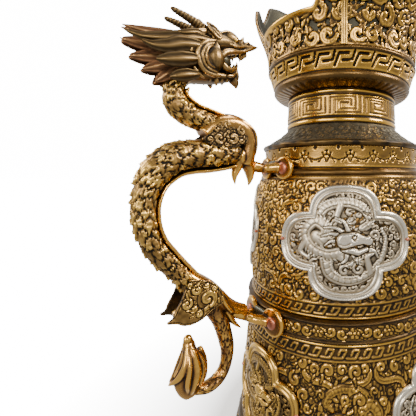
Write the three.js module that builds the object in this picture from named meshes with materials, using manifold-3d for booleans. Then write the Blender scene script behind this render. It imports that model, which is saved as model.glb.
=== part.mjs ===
import * as THREE from "three";
import { mergeVertices } from "three/addons/utils/BufferGeometryUtils.js";
import Module from "manifold-3d";

// A tall gilt ewer of stacked, hammered sections. A scaled dragon forms its handle, riveted on at two forks,
// and a beast mask holds the spout on the other side. Millimetres, +Z up, origin at the centre of the foot's
// underside. The handle is on -X and the spout on +X.

// Walls, fits and facets
const WALL = 2.4;
const SEAT_GAP = 0.3;
const CUT_OVERRUN = 6;
const TURN_SEGMENTS = 32;
const BODY_ROWS = 3;

// Foot
const FOOT_RADIUS = 113;
const FOOT_HEIGHT = 26;
const FOOT_FLARE = 8;
const FOOT_WAIST_DEPTH = 0.5;
const FOOT_BEAD_DEPTH = 4;
const FOOT_EDGE_HEIGHT = 5;
const BASE_PLATE_THICKNESS = 2;

// Lower body, waist ring and upper body
const LOWER_BODY_HEIGHT = 101;
const LOWER_BODY_BASE_RADIUS = FOOT_RADIUS - FOOT_FLARE;
const LOWER_BODY_TOP_RADIUS = 96;
const LOWER_FLARE_POWER = 0.75;
const WAIST_RING_HEIGHT = 18;
const WAIST_RING_DEPTH = 2.5;
const WAIST_RING_RADIUS = LOWER_BODY_TOP_RADIUS + WAIST_RING_DEPTH;
const WAIST_BEAD_HEIGHT = 3;
const WAIST_BEAD_DEPTH = 1.2;
const UPPER_BODY_HEIGHT = 113;
const WAIST_STEP_DEPTH = 1.5;
const UPPER_BODY_BASE_RADIUS = LOWER_BODY_TOP_RADIUS - WAIST_STEP_DEPTH;
const UPPER_BODY_TOP_RADIUS = 85;
const UPPER_TAPER_POWER = 3;

// Relief on the two bodies: rails at the borders, and double scrolls in staggered rows between them
const BORDER_HEIGHT = 13;
const RAIL_HEIGHT = 2.4;
const RAIL_DEPTH = 1;
const SCROLL_PITCH = 29;
const SCROLL_HALF_LENGTH = 26;
const SCROLL_RISE = 1.6;
const SCROLL_RIDGE_WIDTH = 4.4;

// Lappet collar, shoulder and neck
const COLLAR_HEIGHT = 24;
const COLLAR_STEP_DEPTH = 3.5;
const COLLAR_RADIUS = UPPER_BODY_TOP_RADIUS - COLLAR_STEP_DEPTH;
const COLLAR_MOULDING_DEPTH = 1;
const COLLAR_MOULDING_RADIUS = UPPER_BODY_TOP_RADIUS + COLLAR_MOULDING_DEPTH;
const COLLAR_MOULDING_HEIGHT = 6;
const SHOULDER_LIP_DEPTH = 2.5;
const SHOULDER_LIP_RADIUS = COLLAR_RADIUS + SHOULDER_LIP_DEPTH;
const SHOULDER_LIP_HEIGHT = 5;
const SHOULDER_RISE = 18.5;
const NECK_BASE_RADIUS = 58;
const NECK_TOP_RADIUS = 57;
const NECK_HEIGHT = 32.5;

// Crown: a cup with a fret band, and a pierced gallery over a plain liner
const CUP_HEIGHT = 28;
const CUP_FLOOR_HEIGHT = 4;
const CUP_SPREAD = 21;
const GALLERY_BASE_RADIUS = NECK_TOP_RADIUS + CUP_SPREAD;
const CUP_TORUS_DEPTH = 5;
const CUP_TORUS_RADIUS = GALLERY_BASE_RADIUS - CUP_TORUS_DEPTH;
const CUP_TORUS_HEIGHT = 6;
const CUP_BAND_DEPTH = 0.8;
const CUP_BAND_TOP_RADIUS = GALLERY_BASE_RADIUS - CUP_BAND_DEPTH;
const CUP_MOULDING_DEPTH = 1;
const CUP_MOULDING_RADIUS = GALLERY_BASE_RADIUS + CUP_MOULDING_DEPTH;
const CUP_MOULDING_HEIGHT = 3.5;
const GALLERY_LEAN = 0.06;
const GALLERY_CURL = 11;
const GALLERY_CURL_START = 15;
const GALLERY_CURL_END = 62;
const GALLERY_THICKNESS = 1.6;
const LINER_THICKNESS = 1.2;
const RIM_LOW_HEIGHT = 32;
const RIM_CORNER_HEIGHT = 76;
const RIM_NOTCH_HEIGHT = 68;
const RIM_SIDE_HEIGHT = 109;
const RIM_FRONT_HEIGHT = 138;
const STRAP_WIDTH = 7;
const STRAP_THICKNESS = 3;
const STRAP_ANGLE = 45;
const PANEL_STEPS = 10;
const GALLERY_ROWS = 3;

// Medallions
const UPPER_MEDALLION_WIDTH = 108;
const UPPER_MEDALLION_MARGIN = 11.5;
const UPPER_MEDALLION_RISE_SHARE = 0.535;
const LOWER_MEDALLION_WIDTH = 88;
const LOWER_MEDALLION_MARGIN = 13.5;
const LOWER_MEDALLION_RISE_SHARE = 0.45;
const MEDALLION_FRAME_WIDTH = 6.5;
const MEDALLION_FRAME_DEPTH = 3.2;
const MEDALLION_PLAQUE_DEPTH = 1.4;
const MEDALLION_FIT = 0.7;
const PLAQUE_ROWS = 3;

// Handle: the dragon, its clasps and its two riveted forks
const HANDLE_LENGTH = 90;
const TRUNK_DIAMETER = 21.2;
const TRUNK_OVAL_SHARE = 1.08;
const BELLY_WIDTH = 11;
const BELLY_THICKNESS = 2.6;
const FORK_EAR_THICKNESS = 2.6;
const UPPER_EAR_RADIUS = 9.4;
const LOWER_EAR_RADIUS = 11;
const UPPER_EAR_SPREAD = 13.5;
const LOWER_EAR_SPREAD = 16.5;
const FORK_ARM_DEPTH = 5.4;
const FORK_ARM_WIDTH = 9;
const RIVET_HEAD_RADIUS = 4.2;
const RIVET_HEAD_HEIGHT = 2;
const RIVET_SHANK_RADIUS = 2.2;
const RIVET_FIT = 0.3;
const HEAD_LENGTH = 72;
const HEAD_HEIGHT = 48;
const HEAD_WIDTH = 30;
const CLASP_WIDTH = 27;
const LEAF_THICKNESS = 4;

// Spout
const SPOUT_LENGTH = 95;
const SPOUT_ROOT_HEIGHT = 84;
const SPOUT_TIP_HEIGHT = 332;
const SPOUT_ROOT_RADIUS = 13;
const SPOUT_TIP_RADIUS = 8.6;
const SPOUT_WALL = 2.2;
const SPOUT_LIP_RADIUS = 11.5;
const SPOUT_LIP_HEIGHT = 7;
const MASK_LENGTH = 40;
const MASK_RADIUS = 25;

// Lid
const LID_OVERLAP = 5;
const LID_RADIUS = NECK_TOP_RADIUS + LID_OVERLAP;
const LID_EDGE_HEIGHT = 3.5;
const LID_RISE = 22;
const LID_PLUG_DEPTH = 9;
const LID_FIT = 0.8;
const FINIAL_RADIUS = 10;
const FINIAL_HEIGHT = 31;

// Heights of the stacked sections
const Z_LOWER_BODY = FOOT_HEIGHT;
const Z_WAIST = Z_LOWER_BODY + LOWER_BODY_HEIGHT;
const Z_UPPER_BODY = Z_WAIST + WAIST_RING_HEIGHT;
const Z_COLLAR = Z_UPPER_BODY + UPPER_BODY_HEIGHT;
const Z_SHOULDER = Z_COLLAR + COLLAR_HEIGHT;
const Z_NECK = Z_SHOULDER + SHOULDER_LIP_HEIGHT + SHOULDER_RISE;
const Z_CUP = Z_NECK + NECK_HEIGHT;
const Z_GALLERY = Z_CUP + CUP_HEIGHT;
const Z_LID_SEAT = Z_CUP + CUP_FLOOR_HEIGHT;
const Z_LOWER_FORK = Z_WAIST + WAIST_RING_HEIGHT / 2;
const Z_UPPER_FORK = Z_COLLAR + COLLAR_MOULDING_HEIGHT;

const wasm = await Module();
wasm.setup();

const MATERIALS = {
  gilt: new THREE.MeshStandardMaterial({ color: 0xb08a48, roughness: 0.4, metalness: 0.9 }),
  worn: new THREE.MeshStandardMaterial({ color: 0x8d6d43, roughness: 0.5, metalness: 0.85 }),
  silver: new THREE.MeshStandardMaterial({ color: 0xc4c0b4, roughness: 0.4, metalness: 0.9 }),
  dark: new THREE.MeshStandardMaterial({ color: 0x5b5a50, roughness: 0.55, metalness: 0.8 }),
  copper: new THREE.MeshStandardMaterial({ color: 0xa85a44, roughness: 0.45, metalness: 0.85 }),
};

const model = new THREE.Group();

// Adds a named mesh, from a geometry or from a solid, to the model.
function add(name, shape, material) {
  const geometry = shape.isBufferGeometry ? shape : geometryOf(shape);
  const mesh = new THREE.Mesh(geometry, MATERIALS[material]);
  mesh.name = name;
  model.add(mesh);
  return mesh;
}

// A closed geometry as a solid that can be joined and cut.
function solidOf(geometry) {
  const bare = geometry.clone();
  bare.deleteAttribute("normal");
  bare.deleteAttribute("uv");
  const merged = mergeVertices(bare);
  const make = (triVerts) =>
    new wasm.Manifold(
      new wasm.Mesh({ numProp: 3, vertProperties: merged.attributes.position.array, triVerts }),
    );
  const triVerts = new Uint32Array(merged.index.array);
  const solid = make(triVerts);
  return solid.volume() < 0 ? make(triVerts.reverse()) : solid;
}

// A solid as a flat-shaded geometry.
function geometryOf(solid) {
  const { numProp, vertProperties, triVerts } = solid.getMesh();
  const positions = new Float32Array(triVerts.length * 3);
  triVerts.forEach((vertex, i) => {
    for (let axis = 0; axis < 3; axis++) positions[i * 3 + axis] = vertProperties[vertex * numProp + axis];
  });
  const geometry = new THREE.BufferGeometry();
  geometry.setAttribute("position", new THREE.BufferAttribute(positions, 3));
  geometry.computeVertexNormals();
  return geometry;
}

// An indexed triangle list as a solid.
function solidFrom(points, triangles) {
  const geometry = new THREE.BufferGeometry();
  const places = points.flatMap(({ x, y, z }) => [x, y, z]);
  geometry.setAttribute("position", new THREE.Float32BufferAttribute(places, 3));
  geometry.setIndex(triangles);
  return solidOf(geometry);
}

// A solid turned about Z from [radius, height] points that go round a wall, or from axis to axis.
function turned(profile, segments = TURN_SEGMENTS) {
  const closed = profile[0][0] > 0 ? [...profile, profile[0]] : profile;
  const geometry = new THREE.LatheGeometry(closed.map(([r, z]) => new THREE.Vector2(r, z)), segments);
  geometry.rotateX(Math.PI / 2);
  return solidOf(geometry);
}

// A tube of changing oval section through stations {at, depth, width}. Depth and width are half sizes, and
// width lies along Y. Its points may be laid elsewhere, as on a wall.
function loft(stations, sides = 8, grow = 0, lay = (point) => point) {
  const side = new THREE.Vector3(0, 1, 0);
  const points = [];
  const triangles = [];
  const last = stations.length - 1;
  stations.forEach(({ at, depth, width }, i) => {
    const along = stations[Math.min(i + 1, last)].at.clone().sub(stations[Math.max(i - 1, 0)].at).normalize();
    const across = side.clone().addScaledVector(along, -side.dot(along)).normalize();
    const up = new THREE.Vector3().crossVectors(along, across);
    for (let k = 0; k < sides; k++) {
      const turn = (k / sides) * 2 * Math.PI;
      points.push(
        at.clone()
          .addScaledVector(across, Math.cos(turn) * (width + grow))
          .addScaledVector(up, Math.sin(turn) * (depth + grow)),
      );
    }
  });
  for (let i = 0; i < last; i++)
    for (let k = 0; k < sides; k++) {
      const a = i * sides + k;
      const b = i * sides + ((k + 1) % sides);
      triangles.push(a, b, a + sides, b, b + sides, a + sides);
    }
  for (const [ring, turn] of [[0, -1], [last * sides, 1]])
    for (let k = 1; k < sides - 1; k++)
      triangles.push(ring, ...(turn > 0 ? [ring + k, ring + k + 1] : [ring + k + 1, ring + k]));
  return solidFrom(points.map(lay), triangles);
}

// A flat plate from an outline of [x, z] points, with its thickness centred on a y.
function plate(outline, thickness, y = 0) {
  const shape = new THREE.Shape(outline.map(([x, z]) => new THREE.Vector2(x, z)));
  const geometry = new THREE.ExtrudeGeometry(shape, { depth: thickness, bevelEnabled: false });
  geometry.rotateX(Math.PI / 2);
  geometry.translate(0, y + thickness / 2, 0);
  return solidOf(geometry);
}

const join = (solids) => solids.reduce((whole, solid) => whole.add(solid));
const cut = (solid, tools) => tools.reduce((left, tool) => left.subtract(tool), solid);
const largest = (solid) => solid.decompose().reduce((a, b) => (a.volume() > b.volume() ? a : b));
const radians = (degrees) => (degrees * Math.PI) / 180;
const blend = (a, b, t) => a + (b - a) * t;
const ease = (t) => t * t * (3 - 2 * t);
const clamp = (t) => Math.min(1, Math.max(0, t));

// The point at an angle from the handle's side, at a radius and a height.
function around(angle, radius, z) {
  return new THREE.Vector3(-radius * Math.cos(angle), -radius * Math.sin(angle), z);
}

// Outer radii of the curved walls by height
function lowerBodyRadius(z) {
  const drop = clamp((Z_WAIST - z) / LOWER_BODY_HEIGHT);
  return blend(LOWER_BODY_TOP_RADIUS, LOWER_BODY_BASE_RADIUS, drop ** LOWER_FLARE_POWER);
}
function upperBodyRadius(z) {
  const rise = clamp((z - Z_UPPER_BODY) / UPPER_BODY_HEIGHT);
  return blend(UPPER_BODY_BASE_RADIUS, UPPER_BODY_TOP_RADIUS, rise ** UPPER_TAPER_POWER);
}
function galleryRadius(z) {
  const t = z - Z_GALLERY;
  const curl = ease(clamp((t - GALLERY_CURL_START) / (GALLERY_CURL_END - GALLERY_CURL_START)));
  return GALLERY_BASE_RADIUS + GALLERY_LEAN * t + GALLERY_CURL * curl;
}

// The heights at which a curved wall has its edges.
function wallRows(bottom, top) {
  return Array.from({ length: BODY_ROWS + 1 }, (_, i) => blend(bottom, top, i / BODY_ROWS));
}

// A wall's outer line in [radius, height] points: its radius follows a function of height, with raised rails.
function wallLine({ radiusAt, bottom, top, rails }) {
  const plain = wallRows(bottom, top).map((z) => [radiusAt(z), z]);
  const raised = rails.flatMap((z) => [-1, 0, 1].map((step) => {
    const height = z + (step * RAIL_HEIGHT) / 2;
    return [radiusAt(height) + (step === 0 ? RAIL_DEPTH : 0), height];
  }));
  return [...plain, ...raised].sort(([, low], [, high]) => low - high);
}

// A wall with its rails, plain inside.
function shell(body) {
  const inner = wallRows(body.bottom, body.top).map((z) => [body.radiusAt(z) - WALL, z]).reverse();
  return turned([...wallLine(body), ...inner]);
}

const LOWER_BODY = {
  radiusAt: lowerBodyRadius,
  bottom: Z_LOWER_BODY,
  top: Z_WAIST,
  rails: [Z_LOWER_BODY + BORDER_HEIGHT / 2, Z_WAIST - BORDER_HEIGHT],
};
const UPPER_BODY = {
  radiusAt: upperBodyRadius,
  bottom: Z_UPPER_BODY,
  top: Z_COLLAR,
  rails: [Z_UPPER_BODY + BORDER_HEIGHT, Z_COLLAR - BORDER_HEIGHT * 0.35],
};

// A double scroll's middle line in [across, up] shares of half its length. Its bend grows towards both ends.
const SCROLL_BEND = 4.2;
const SCROLL_STEPS = 8;
const SCROLL_LINE_SHARES = Array.from({ length: SCROLL_STEPS + 1 }, (_, i) => {
  const reach = (2 * i) / SCROLL_STEPS - 1;
  const slices = 24;
  const middles = Array.from({ length: slices }, (_, k) => ((k + 0.5) / slices) * Math.abs(reach));
  const sum = (part) => middles.reduce((total, s) => total + part(SCROLL_BEND * s * s) / slices, 0) * reach;
  return [sum(Math.cos), sum(Math.sin)];
});

// A double scroll that lies on a wall as a ridge.
function scroll({ angle, z, flip, radiusAt }) {
  const onWall = (point) => {
    const height = z + point.z;
    return around(angle + point.x / radiusAt(z), radiusAt(height) + point.y, height);
  };
  const stations = SCROLL_LINE_SHARES.map(([across, up], i) => {
    const swell = 0.6 + 0.4 * Math.sin((i / SCROLL_STEPS) * Math.PI);
    return {
      at: new THREE.Vector3(across * flip * SCROLL_HALF_LENGTH, 0, up * SCROLL_HALF_LENGTH),
      depth: (SCROLL_RIDGE_WIDTH / 2) * swell,
      width: SCROLL_RISE,
    };
  });
  return loft(stations, 3, 0, onWall);
}

// Staggered rows of double scrolls between a wall's two rails, kept out of the rooms given.
function scrollRelief({ radiusAt, rails }, rooms) {
  const [bottom, top] = [rails[0] + RAIL_HEIGHT, rails[1] - RAIL_HEIGHT];
  const rows = Math.round((top - bottom) / SCROLL_PITCH);
  const count = 2 * Math.round((Math.PI * radiusAt(bottom)) / SCROLL_PITCH);
  const places = Array.from({ length: rows }, (_, row) => Array.from({ length: count }, (_, k) => ({
    angle: ((k + (row % 2) / 2) / count) * 2 * Math.PI,
    z: blend(bottom, top, (row + 0.5) / rows),
    flip: k % 2 ? 1 : -1,
    radiusAt,
  }))).flat();
  return places.map((place) => cut(scroll(place), rooms)).filter((ridge) => !ridge.isEmpty());
}

// A curved sheet over columns of {angle, bottom, top}, between two radii given by height.
function curvedSheet({ columns, closed, rows, inner, outer }) {
  const points = columns.flatMap(({ angle, bottom, top }) =>
    Array.from({ length: rows + 1 }, (_, row) => blend(bottom, top, row / rows))
      .flatMap((z) => [around(angle, inner(z), z), around(angle, outer(z), z)]));
  const triangles = [];
  const index = (column, row, face) => ((column % columns.length) * (rows + 1) + row) * 2 + face;
  const quad = (a, b, c, d) => triangles.push(a, b, c, a, c, d);
  const spans = closed ? columns.length : columns.length - 1;
  for (let at = 0; at < spans; at++) {
    for (let row = 0; row < rows; row++) {
      quad(index(at, row, 1), index(at + 1, row, 1), index(at + 1, row + 1, 1), index(at, row + 1, 1));
      quad(index(at, row, 0), index(at, row + 1, 0), index(at + 1, row + 1, 0), index(at + 1, row, 0));
    }
    quad(index(at, rows, 1), index(at + 1, rows, 1), index(at + 1, rows, 0), index(at, rows, 0));
    quad(index(at, 0, 0), index(at + 1, 0, 0), index(at + 1, 0, 1), index(at, 0, 1));
  }
  for (let row = 0; row < rows && !closed; row++) {
    quad(index(0, row, 0), index(0, row, 1), index(0, row + 1, 1), index(0, row + 1, 0));
    quad(index(spans, row, 1), index(spans, row, 0), index(spans, row + 1, 0), index(spans, row + 1, 1));
  }
  return solidFrom(points, triangles);
}

// Foot, body, collar, shoulder and neck, stacked face to face.
function buildVessel() {
  const holeAt = lowerBodyRadius(SPOUT_ROOT_HEIGHT);
  const boreRadius = SPOUT_ROOT_RADIUS - SPOUT_WALL;
  const holeDepth = SPOUT_ROOT_RADIUS * 2;
  const spoutHole = rodOn(Math.PI, holeAt, SPOUT_ROOT_HEIGHT, boreRadius, -holeDepth, CUT_OVERRUN);
  const footInner = LOWER_BODY_BASE_RADIUS - WALL;
  add("foot_ring", turned([
    [FOOT_RADIUS, 0],
    [FOOT_RADIUS, FOOT_EDGE_HEIGHT],
    [LOWER_BODY_BASE_RADIUS + FOOT_WAIST_DEPTH, blend(FOOT_EDGE_HEIGHT, FOOT_HEIGHT, 0.3)],
    [LOWER_BODY_BASE_RADIUS + FOOT_BEAD_DEPTH, blend(FOOT_EDGE_HEIGHT, FOOT_HEIGHT, 0.55)],
    [LOWER_BODY_BASE_RADIUS + FOOT_BEAD_DEPTH, blend(FOOT_EDGE_HEIGHT, FOOT_HEIGHT, 0.8)],
    [LOWER_BODY_BASE_RADIUS, FOOT_HEIGHT],
    [footInner, FOOT_HEIGHT],
    [footInner, FOOT_EDGE_HEIGHT],
    [footInner + SEAT_GAP, 0],
  ]), "worn");
  add("base_plate", turned([
    [0, 0],
    [footInner - SEAT_GAP, 0],
    [footInner - SEAT_GAP, BASE_PLATE_THICKNESS],
    [0, BASE_PLATE_THICKNESS],
  ]), "worn");
  const lowerRooms = [...LOWER_MEDALLIONS.map(medallionRoom), beastMask(SEAT_GAP, overrun)];
  const lowerWalls = [shell(LOWER_BODY), ...scrollRelief(LOWER_BODY, lowerRooms)];
  const floorRadius = LOWER_BODY_BASE_RADIUS - WALL / 2;
  const floor = turned([
    [0, Z_LOWER_BODY],
    [floorRadius, Z_LOWER_BODY],
    [floorRadius, Z_LOWER_BODY + WALL],
    [0, Z_LOWER_BODY + WALL],
  ]);
  add("lower_body", largest(cut(join([...lowerWalls, floor]), [spoutHole])), "worn");
  add("waist_ring", cut(turned([
    [LOWER_BODY_TOP_RADIUS + WAIST_BEAD_DEPTH, Z_WAIST],
    [WAIST_RING_RADIUS + WAIST_BEAD_DEPTH, Z_WAIST + WAIST_BEAD_HEIGHT / 2],
    [WAIST_RING_RADIUS, Z_WAIST + WAIST_BEAD_HEIGHT],
    [WAIST_RING_RADIUS, Z_UPPER_BODY - WAIST_BEAD_HEIGHT],
    [WAIST_RING_RADIUS + WAIST_BEAD_DEPTH, Z_UPPER_BODY - WAIST_BEAD_HEIGHT / 2],
    [UPPER_BODY_BASE_RADIUS + WAIST_BEAD_DEPTH, Z_UPPER_BODY],
    [UPPER_BODY_BASE_RADIUS - WALL, Z_UPPER_BODY],
    [LOWER_BODY_TOP_RADIUS - WALL, Z_WAIST],
  ]), rivetHoles(FORKS.lower)), "gilt");
  const upperRelief = scrollRelief(UPPER_BODY, UPPER_MEDALLIONS.map(medallionRoom));
  add("upper_body", largest(join([shell(UPPER_BODY), ...upperRelief])), "worn");
  add("lappet_collar", cut(turned([
    [UPPER_BODY_TOP_RADIUS, Z_COLLAR],
    [COLLAR_MOULDING_RADIUS, Z_COLLAR + COLLAR_MOULDING_HEIGHT / 3],
    [COLLAR_MOULDING_RADIUS, Z_COLLAR + (COLLAR_MOULDING_HEIGHT * 2) / 3],
    [COLLAR_RADIUS, Z_COLLAR + COLLAR_MOULDING_HEIGHT],
    [COLLAR_RADIUS, Z_SHOULDER],
    [COLLAR_RADIUS - WALL, Z_SHOULDER],
    [COLLAR_RADIUS - WALL, Z_COLLAR],
  ]), rivetHoles(FORKS.upper)), "gilt");
  add("shoulder", turned([
    [COLLAR_RADIUS, Z_SHOULDER],
    [SHOULDER_LIP_RADIUS, Z_SHOULDER + SHOULDER_LIP_HEIGHT / 2],
    [SHOULDER_LIP_RADIUS, Z_SHOULDER + SHOULDER_LIP_HEIGHT],
    [blend(SHOULDER_LIP_RADIUS, NECK_BASE_RADIUS, 0.5), Z_NECK - SHOULDER_RISE / 2 + WALL / 2],
    [NECK_BASE_RADIUS, Z_NECK],
    [NECK_BASE_RADIUS - WALL, Z_NECK],
    [NECK_BASE_RADIUS - WALL, Z_NECK - WALL],
    [COLLAR_RADIUS - WALL, Z_SHOULDER + WALL],
    [COLLAR_RADIUS - WALL, Z_SHOULDER],
  ]), "dark");
  add("neck", turned([
    [NECK_BASE_RADIUS, Z_NECK],
    [NECK_TOP_RADIUS, Z_CUP],
    [NECK_TOP_RADIUS - WALL, Z_CUP],
    [NECK_BASE_RADIUS - WALL, Z_NECK],
  ]), "gilt");
}

// The rim's height above the gallery's foot, by the angle from the handle's side in degrees.
const RIM_STEPS = [
  [0, RIM_LOW_HEIGHT],
  [28, RIM_LOW_HEIGHT],
  [37, blend(RIM_LOW_HEIGHT, RIM_CORNER_HEIGHT, 0.6)],
  [STRAP_ANGLE, RIM_CORNER_HEIGHT],
  [56, RIM_NOTCH_HEIGHT],
  [68, blend(RIM_NOTCH_HEIGHT, RIM_SIDE_HEIGHT, 0.8)],
  [90, RIM_SIDE_HEIGHT],
  [112, blend(RIM_NOTCH_HEIGHT, RIM_SIDE_HEIGHT, 0.8)],
  [124, RIM_NOTCH_HEIGHT],
  [180 - STRAP_ANGLE, RIM_CORNER_HEIGHT],
  [147, blend(RIM_CORNER_HEIGHT, RIM_FRONT_HEIGHT, 0.3)],
  [160, blend(RIM_CORNER_HEIGHT, RIM_FRONT_HEIGHT, 0.65)],
  [172, blend(RIM_CORNER_HEIGHT, RIM_FRONT_HEIGHT, 0.8)],
  [180, RIM_FRONT_HEIGHT],
];

function rimHeight(angle) {
  const degrees = Math.abs(((((angle * 180) / Math.PI + 180) % 360) + 360) % 360 - 180);
  const next = Math.max(1, RIM_STEPS.findIndex(([at]) => at >= degrees - 1e-9));
  const [from, low] = RIM_STEPS[next - 1];
  const [to, high] = RIM_STEPS[next];
  return Z_GALLERY + blend(low, high, (degrees - from) / (to - from));
}

// The crown: its cup, four pierced panels with straps between them, and the plain liner behind.
function buildCrown() {
  const torusTop = Z_LID_SEAT + CUP_TORUS_HEIGHT;
  const bandTop = Z_GALLERY - CUP_MOULDING_HEIGHT;
  add("crown_cup", turned([
    [NECK_TOP_RADIUS, Z_CUP],
    [blend(NECK_TOP_RADIUS, CUP_TORUS_RADIUS, 0.6), Z_CUP + CUP_FLOOR_HEIGHT * 0.3],
    [CUP_TORUS_RADIUS - WALL / 3, Z_LID_SEAT],
    [CUP_TORUS_RADIUS, Z_LID_SEAT + CUP_TORUS_HEIGHT / 2],
    [CUP_TORUS_RADIUS - WALL / 3, torusTop],
    [CUP_BAND_TOP_RADIUS, bandTop],
    [CUP_MOULDING_RADIUS, bandTop + CUP_MOULDING_HEIGHT / 3],
    [CUP_MOULDING_RADIUS, Z_GALLERY],
    [GALLERY_BASE_RADIUS - 2 * WALL, Z_GALLERY],
    [CUP_TORUS_RADIUS - 2 * WALL, torusTop],
    [CUP_TORUS_RADIUS - 3 * WALL, Z_LID_SEAT],
    [NECK_TOP_RADIUS - WALL, Z_LID_SEAT],
    [NECK_TOP_RADIUS - WALL, Z_CUP],
  ]), "gilt");

  const strapHalf = STRAP_WIDTH / 2 / GALLERY_BASE_RADIUS;
  const strapGap = SEAT_GAP / GALLERY_BASE_RADIUS;
  const corners = [-STRAP_ANGLE, STRAP_ANGLE, 180 - STRAP_ANGLE, 180 + STRAP_ANGLE].map(radians);
  const sheetBack = (z) => galleryRadius(z) - GALLERY_THICKNESS;
  const sheet = (angles, inner, outer, closed = false) => {
    const columns = angles.map((angle) => ({ angle, bottom: Z_GALLERY, top: rimHeight(angle) }));
    return curvedSheet({ columns, closed, rows: GALLERY_ROWS, inner, outer });
  };
  const panels = corners.map((corner, i) => {
    const start = corner + strapHalf + strapGap;
    const end = (corners[i + 1] ?? corners[0] + 2 * Math.PI) - strapHalf - strapGap;
    return Array.from({ length: PANEL_STEPS + 1 }, (_, k) => blend(start, end, k / PANEL_STEPS));
  });

  const linerFace = (z) => sheetBack(z) - SEAT_GAP;
  const linerAngles = panels.flatMap((angles, i) => [corners[i], ...angles]);
  add("crown_liner", sheet(linerAngles, (z) => linerFace(z) - LINER_THICKNESS, linerFace, true), "dark");
  ["gallery_handle_side", "gallery_right", "gallery_spout_side", "gallery_left"].forEach((name, i) => {
    add(name, sheet(panels[i], sheetBack, galleryRadius), "gilt");
  });
  corners.forEach((corner, i) => {
    const angles = [corner - strapHalf, corner, corner + strapHalf];
    add(`gallery_strap_${i + 1}`, sheet(angles, sheetBack, (z) => sheetBack(z) + STRAP_THICKNESS), "gilt");
  });
}

// The quatrefoil's outline as [across, up] points: four lobes that meet at cusps.
const CUSP_WIDTH_SHARE = 0.54;
const CUSP_HEIGHT_SHARE = 0.53;
const LOBE_POWER = 0.8;
const LOBE_STEPS = 6;
function quatrefoil(halfWidth, halfHeight, inset) {
  const cuspX = halfWidth * CUSP_WIDTH_SHARE - inset;
  const cuspZ = halfHeight * CUSP_HEIGHT_SHARE - inset;
  const lobes = [
    { centre: [cuspX, 0], size: [halfWidth - inset - cuspX, cuspZ], from: -0.5 },
    { centre: [0, cuspZ], size: [cuspX, halfHeight - inset - cuspZ], from: 0 },
    { centre: [-cuspX, 0], size: [halfWidth - inset - cuspX, cuspZ], from: 0.5 },
    { centre: [0, -cuspZ], size: [cuspX, halfHeight - inset - cuspZ], from: 1 },
  ];
  const rounded = (v) => Math.sign(v) * Math.abs(v) ** LOBE_POWER;
  return lobes.flatMap(({ centre, size, from }) =>
    Array.from({ length: LOBE_STEPS }, (_, k) => {
      const turn = (from + k / LOBE_STEPS) * Math.PI;
      return [centre[0] + size[0] * rounded(Math.cos(turn)), centre[1] + size[1] * rounded(Math.sin(turn))];
    }),
  );
}

// A raised frame that follows the quatrefoil on a curved wall.
function medallionFrame({ angle, z, halfWidth, halfHeight, wallRadius }) {
  const rings = [
    { inset: 0, lift: 0 },
    { inset: MEDALLION_FRAME_WIDTH * 0.25, lift: MEDALLION_FRAME_DEPTH },
    { inset: MEDALLION_FRAME_WIDTH * 0.75, lift: MEDALLION_FRAME_DEPTH },
    { inset: MEDALLION_FRAME_WIDTH, lift: 0 },
  ].map(({ inset, lift }) =>
    quatrefoil(halfWidth, halfHeight, inset).map(([s, up]) => {
      const radius = wallRadius(z + up) + MEDALLION_FIT + lift;
      return around(angle + s / wallRadius(z), radius, z + up);
    }),
  );
  const count = rings[0].length;
  const triangles = [];
  for (let ring = 0; ring < rings.length; ring++)
    for (let k = 0; k < count; k++) {
      const a = ring * count + k;
      const b = ring * count + ((k + 1) % count);
      const next = ((ring + 1) % rings.length) * count;
      triangles.push(a, b, next + ((k + 1) % count), a, next + ((k + 1) % count), next + k);
    }
  return solidFrom(rings.flat(), triangles);
}

// The plaque inside a frame: a thin curved sheet with the frame's inner outline.
function medallionPlaque({ angle, z, halfWidth, halfHeight, wallRadius }) {
  const inset = MEDALLION_FRAME_WIDTH + SEAT_GAP;
  const upper = quatrefoil(halfWidth, halfHeight, inset).filter(([, up]) => up > SEAT_GAP);
  const columns = upper
    .sort(([s], [t]) => s - t)
    .filter(([s], i) => i === 0 || s - upper[i - 1][0] > SEAT_GAP)
    .map(([s, up]) => ({ angle: angle + s / wallRadius(z), bottom: z - up, top: z + up }));
  return curvedSheet({
    columns,
    closed: false,
    rows: PLAQUE_ROWS,
    inner: (height) => wallRadius(height) + MEDALLION_FIT,
    outer: (height) => wallRadius(height) + MEDALLION_FIT + MEDALLION_PLAQUE_DEPTH,
  });
}

// The room that a medallion takes on its wall, where no relief lies.
function medallionRoom({ angle, z, halfWidth, halfHeight, wallRadius }) {
  const outline = quatrefoil(halfWidth, halfHeight, -2 * SEAT_GAP);
  const count = outline.length;
  const points = [-1, 1].flatMap((way) => {
    const radius = wallRadius(z) + (way * halfWidth) / 6;
    const ring = outline.map(([s, up]) => around(angle + s / wallRadius(z), radius, z + up));
    return [...ring, around(angle, radius, z)];
  });
  const triangles = outline.flatMap((_, k) => {
    const next = (k + 1) % count;
    const over = count + 1;
    const caps = [k, count, next, k + over, next + over, count + over];
    return [...caps, k, next, next + over, k, next + over, k + over];
  });
  return solidFrom(points, triangles);
}

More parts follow.
